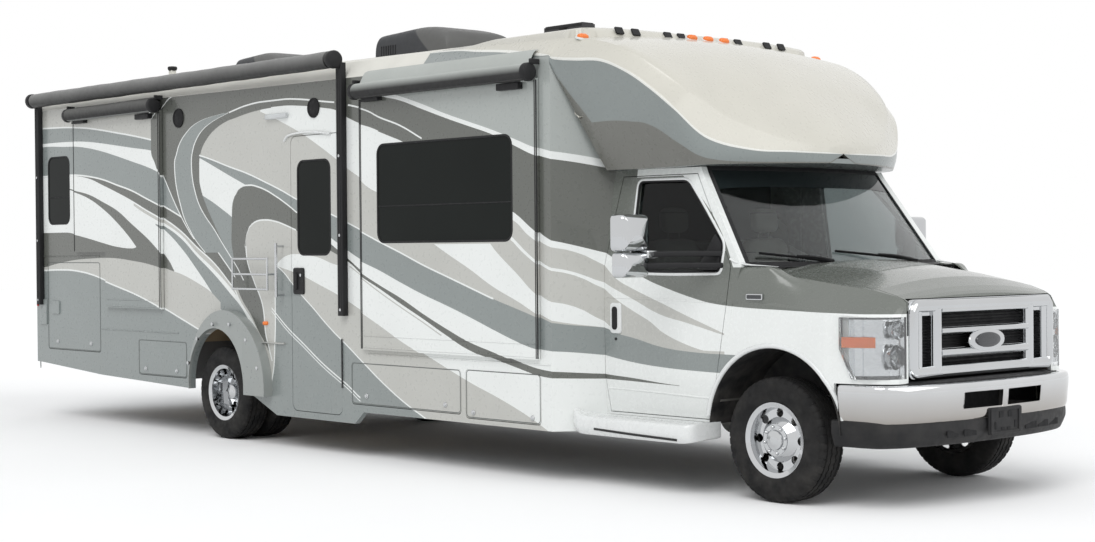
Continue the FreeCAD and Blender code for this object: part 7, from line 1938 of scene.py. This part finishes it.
class MOTORHOME_OT_stage(bpy.types.Operator):
    """Floor, even light and the camera"""

    bl_idname = "motorhome.stage"
    bl_label = "Stage"

    def execute(self, context):
        settings = context.scene.motorhome_stage
        scene = context.scene
        scene.view_settings.view_transform = "Standard"
        plain_world(settings.sky)
        angle = np.linspace(0, 2 * np.pi, 96, endpoint=False)
        rings = [np.stack([r * np.cos(angle), r * np.sin(angle), 0 * angle], -1) for r in (0.01, 60.0)]
        quads = [(i, (i + 1) % 96, 96 + (i + 1) % 96, 96 + i) for i in range(96)]
        mesh = bpy.data.meshes.new("studio_floor")
        mesh.from_pydata(np.concatenate(rings).tolist(), [], quads + [tuple(range(96))])
        mesh.flip_normals()
        floor = bpy.data.objects.new("studio_floor", mesh)
        scene.collection.objects.link(floor)
        mesh.materials.append(floor_material())
        for name, yaw, pitch, strength, size in (("key_light", -62.0, 48.0, settings.key, 40.0),
                                                  ("front_light", 12.0, 30.0, settings.key * 0.55, 50.0)):
            lamp = bpy.data.lights.new(name, "SUN")
            lamp.energy, lamp.angle = strength, math.radians(size)
            holder = bpy.data.objects.new(name, lamp)
            holder.rotation_euler = (0.0, math.radians(90 - pitch), math.radians(yaw))
            scene.collection.objects.link(holder)
        camera = bpy.data.cameras.new("camera")
        camera.sensor_width, camera.lens, camera.clip_end = 36.0, settings.focal_length, 200.0
        eye = bpy.data.objects.new("camera", camera)
        yaw, tilt, roll = settings.heading, settings.tilt, settings.roll
        ahead = np.array([math.cos(tilt) * math.cos(yaw), math.cos(tilt) * math.sin(yaw), math.sin(tilt)])
        side = np.array([math.sin(yaw), -math.cos(yaw), 0.0])
        up = np.cross(side, ahead)
        side, up = (math.cos(roll) * side + math.sin(roll) * up, math.cos(roll) * up - math.sin(roll) * side)
        turn = np.eye(4)
        turn[:3, 0], turn[:3, 1], turn[:3, 2], turn[:3, 3] = side, up, -ahead, settings.camera_place
        eye.matrix_world = Matrix(turn.tolist())
        scene.collection.objects.link(eye)
        scene.camera = eye
        return {"FINISHED"}


class MOTORHOME_OT_finishes(bpy.types.Operator):
    """Paint, glass, rubber and metal on every node of the frame"""

    bl_idname = "motorhome.finishes"
    bl_label = "Finishes"

    def execute(self, context):
        PAINT.update({word: tuple(getattr(context.scene.motorhome_paint, word)) for word in PAINT})
        FINISHES.update(make_materials())
        for finish, names in FINISH_OF.items():
            for name in names.split():
                for slot in NODES[name].material_slots:
                    slot.material = FINISHES[finish]
        return {"FINISHED"}


class MOTORHOME_PT_panel(bpy.types.Panel):
    """Lists the motorhome's pieces"""

    bl_idname = "MOTORHOME_PT_panel"
    bl_label = "Motorhome"
    bl_space_type = "VIEW_3D"
    bl_region_type = "UI"
    bl_category = "Motorhome"

    def draw(self, context):
        for word in STEPS:
            self.layout.operator("motorhome." + word)


STEPS = ("stage", "finishes", "wheels", "cap", "front", "cab_doors", "lower_front", "boards",
         "side_trim", "entry", "awnings", "toppers", "roof", "rear", "cab_interior")
CLASSES = (StageSettings, PaintSettings, SizeSettings, MOTORHOME_OT_stage, MOTORHOME_OT_finishes,
           MOTORHOME_OT_wheels, MOTORHOME_OT_cap,
           MOTORHOME_OT_front, MOTORHOME_OT_cab_doors, MOTORHOME_OT_lower_front,
           MOTORHOME_OT_boards, MOTORHOME_OT_side_trim, MOTORHOME_OT_entry, MOTORHOME_OT_awnings,
           MOTORHOME_OT_toppers,
           MOTORHOME_OT_roof, MOTORHOME_OT_rear, MOTORHOME_OT_cab_interior, MOTORHOME_PT_panel)


def register():
    for item in CLASSES:
        bpy.utils.register_class(item)
    bpy.types.Scene.motorhome_stage = bpy.props.PointerProperty(type=StageSettings)
    bpy.types.Scene.motorhome_paint = bpy.props.PointerProperty(type=PaintSettings)
    bpy.types.Scene.motorhome_sizes = bpy.props.PointerProperty(type=SizeSettings)


def unregister():
    del bpy.types.Scene.motorhome_stage, bpy.types.Scene.motorhome_paint, bpy.types.Scene.motorhome_sizes
    for item in reversed(CLASSES):
        bpy.utils.unregister_class(item)


def main():
    register()
    for word in STEPS:
        getattr(bpy.ops.motorhome, word)()


if __name__ == "__main__":
    main()
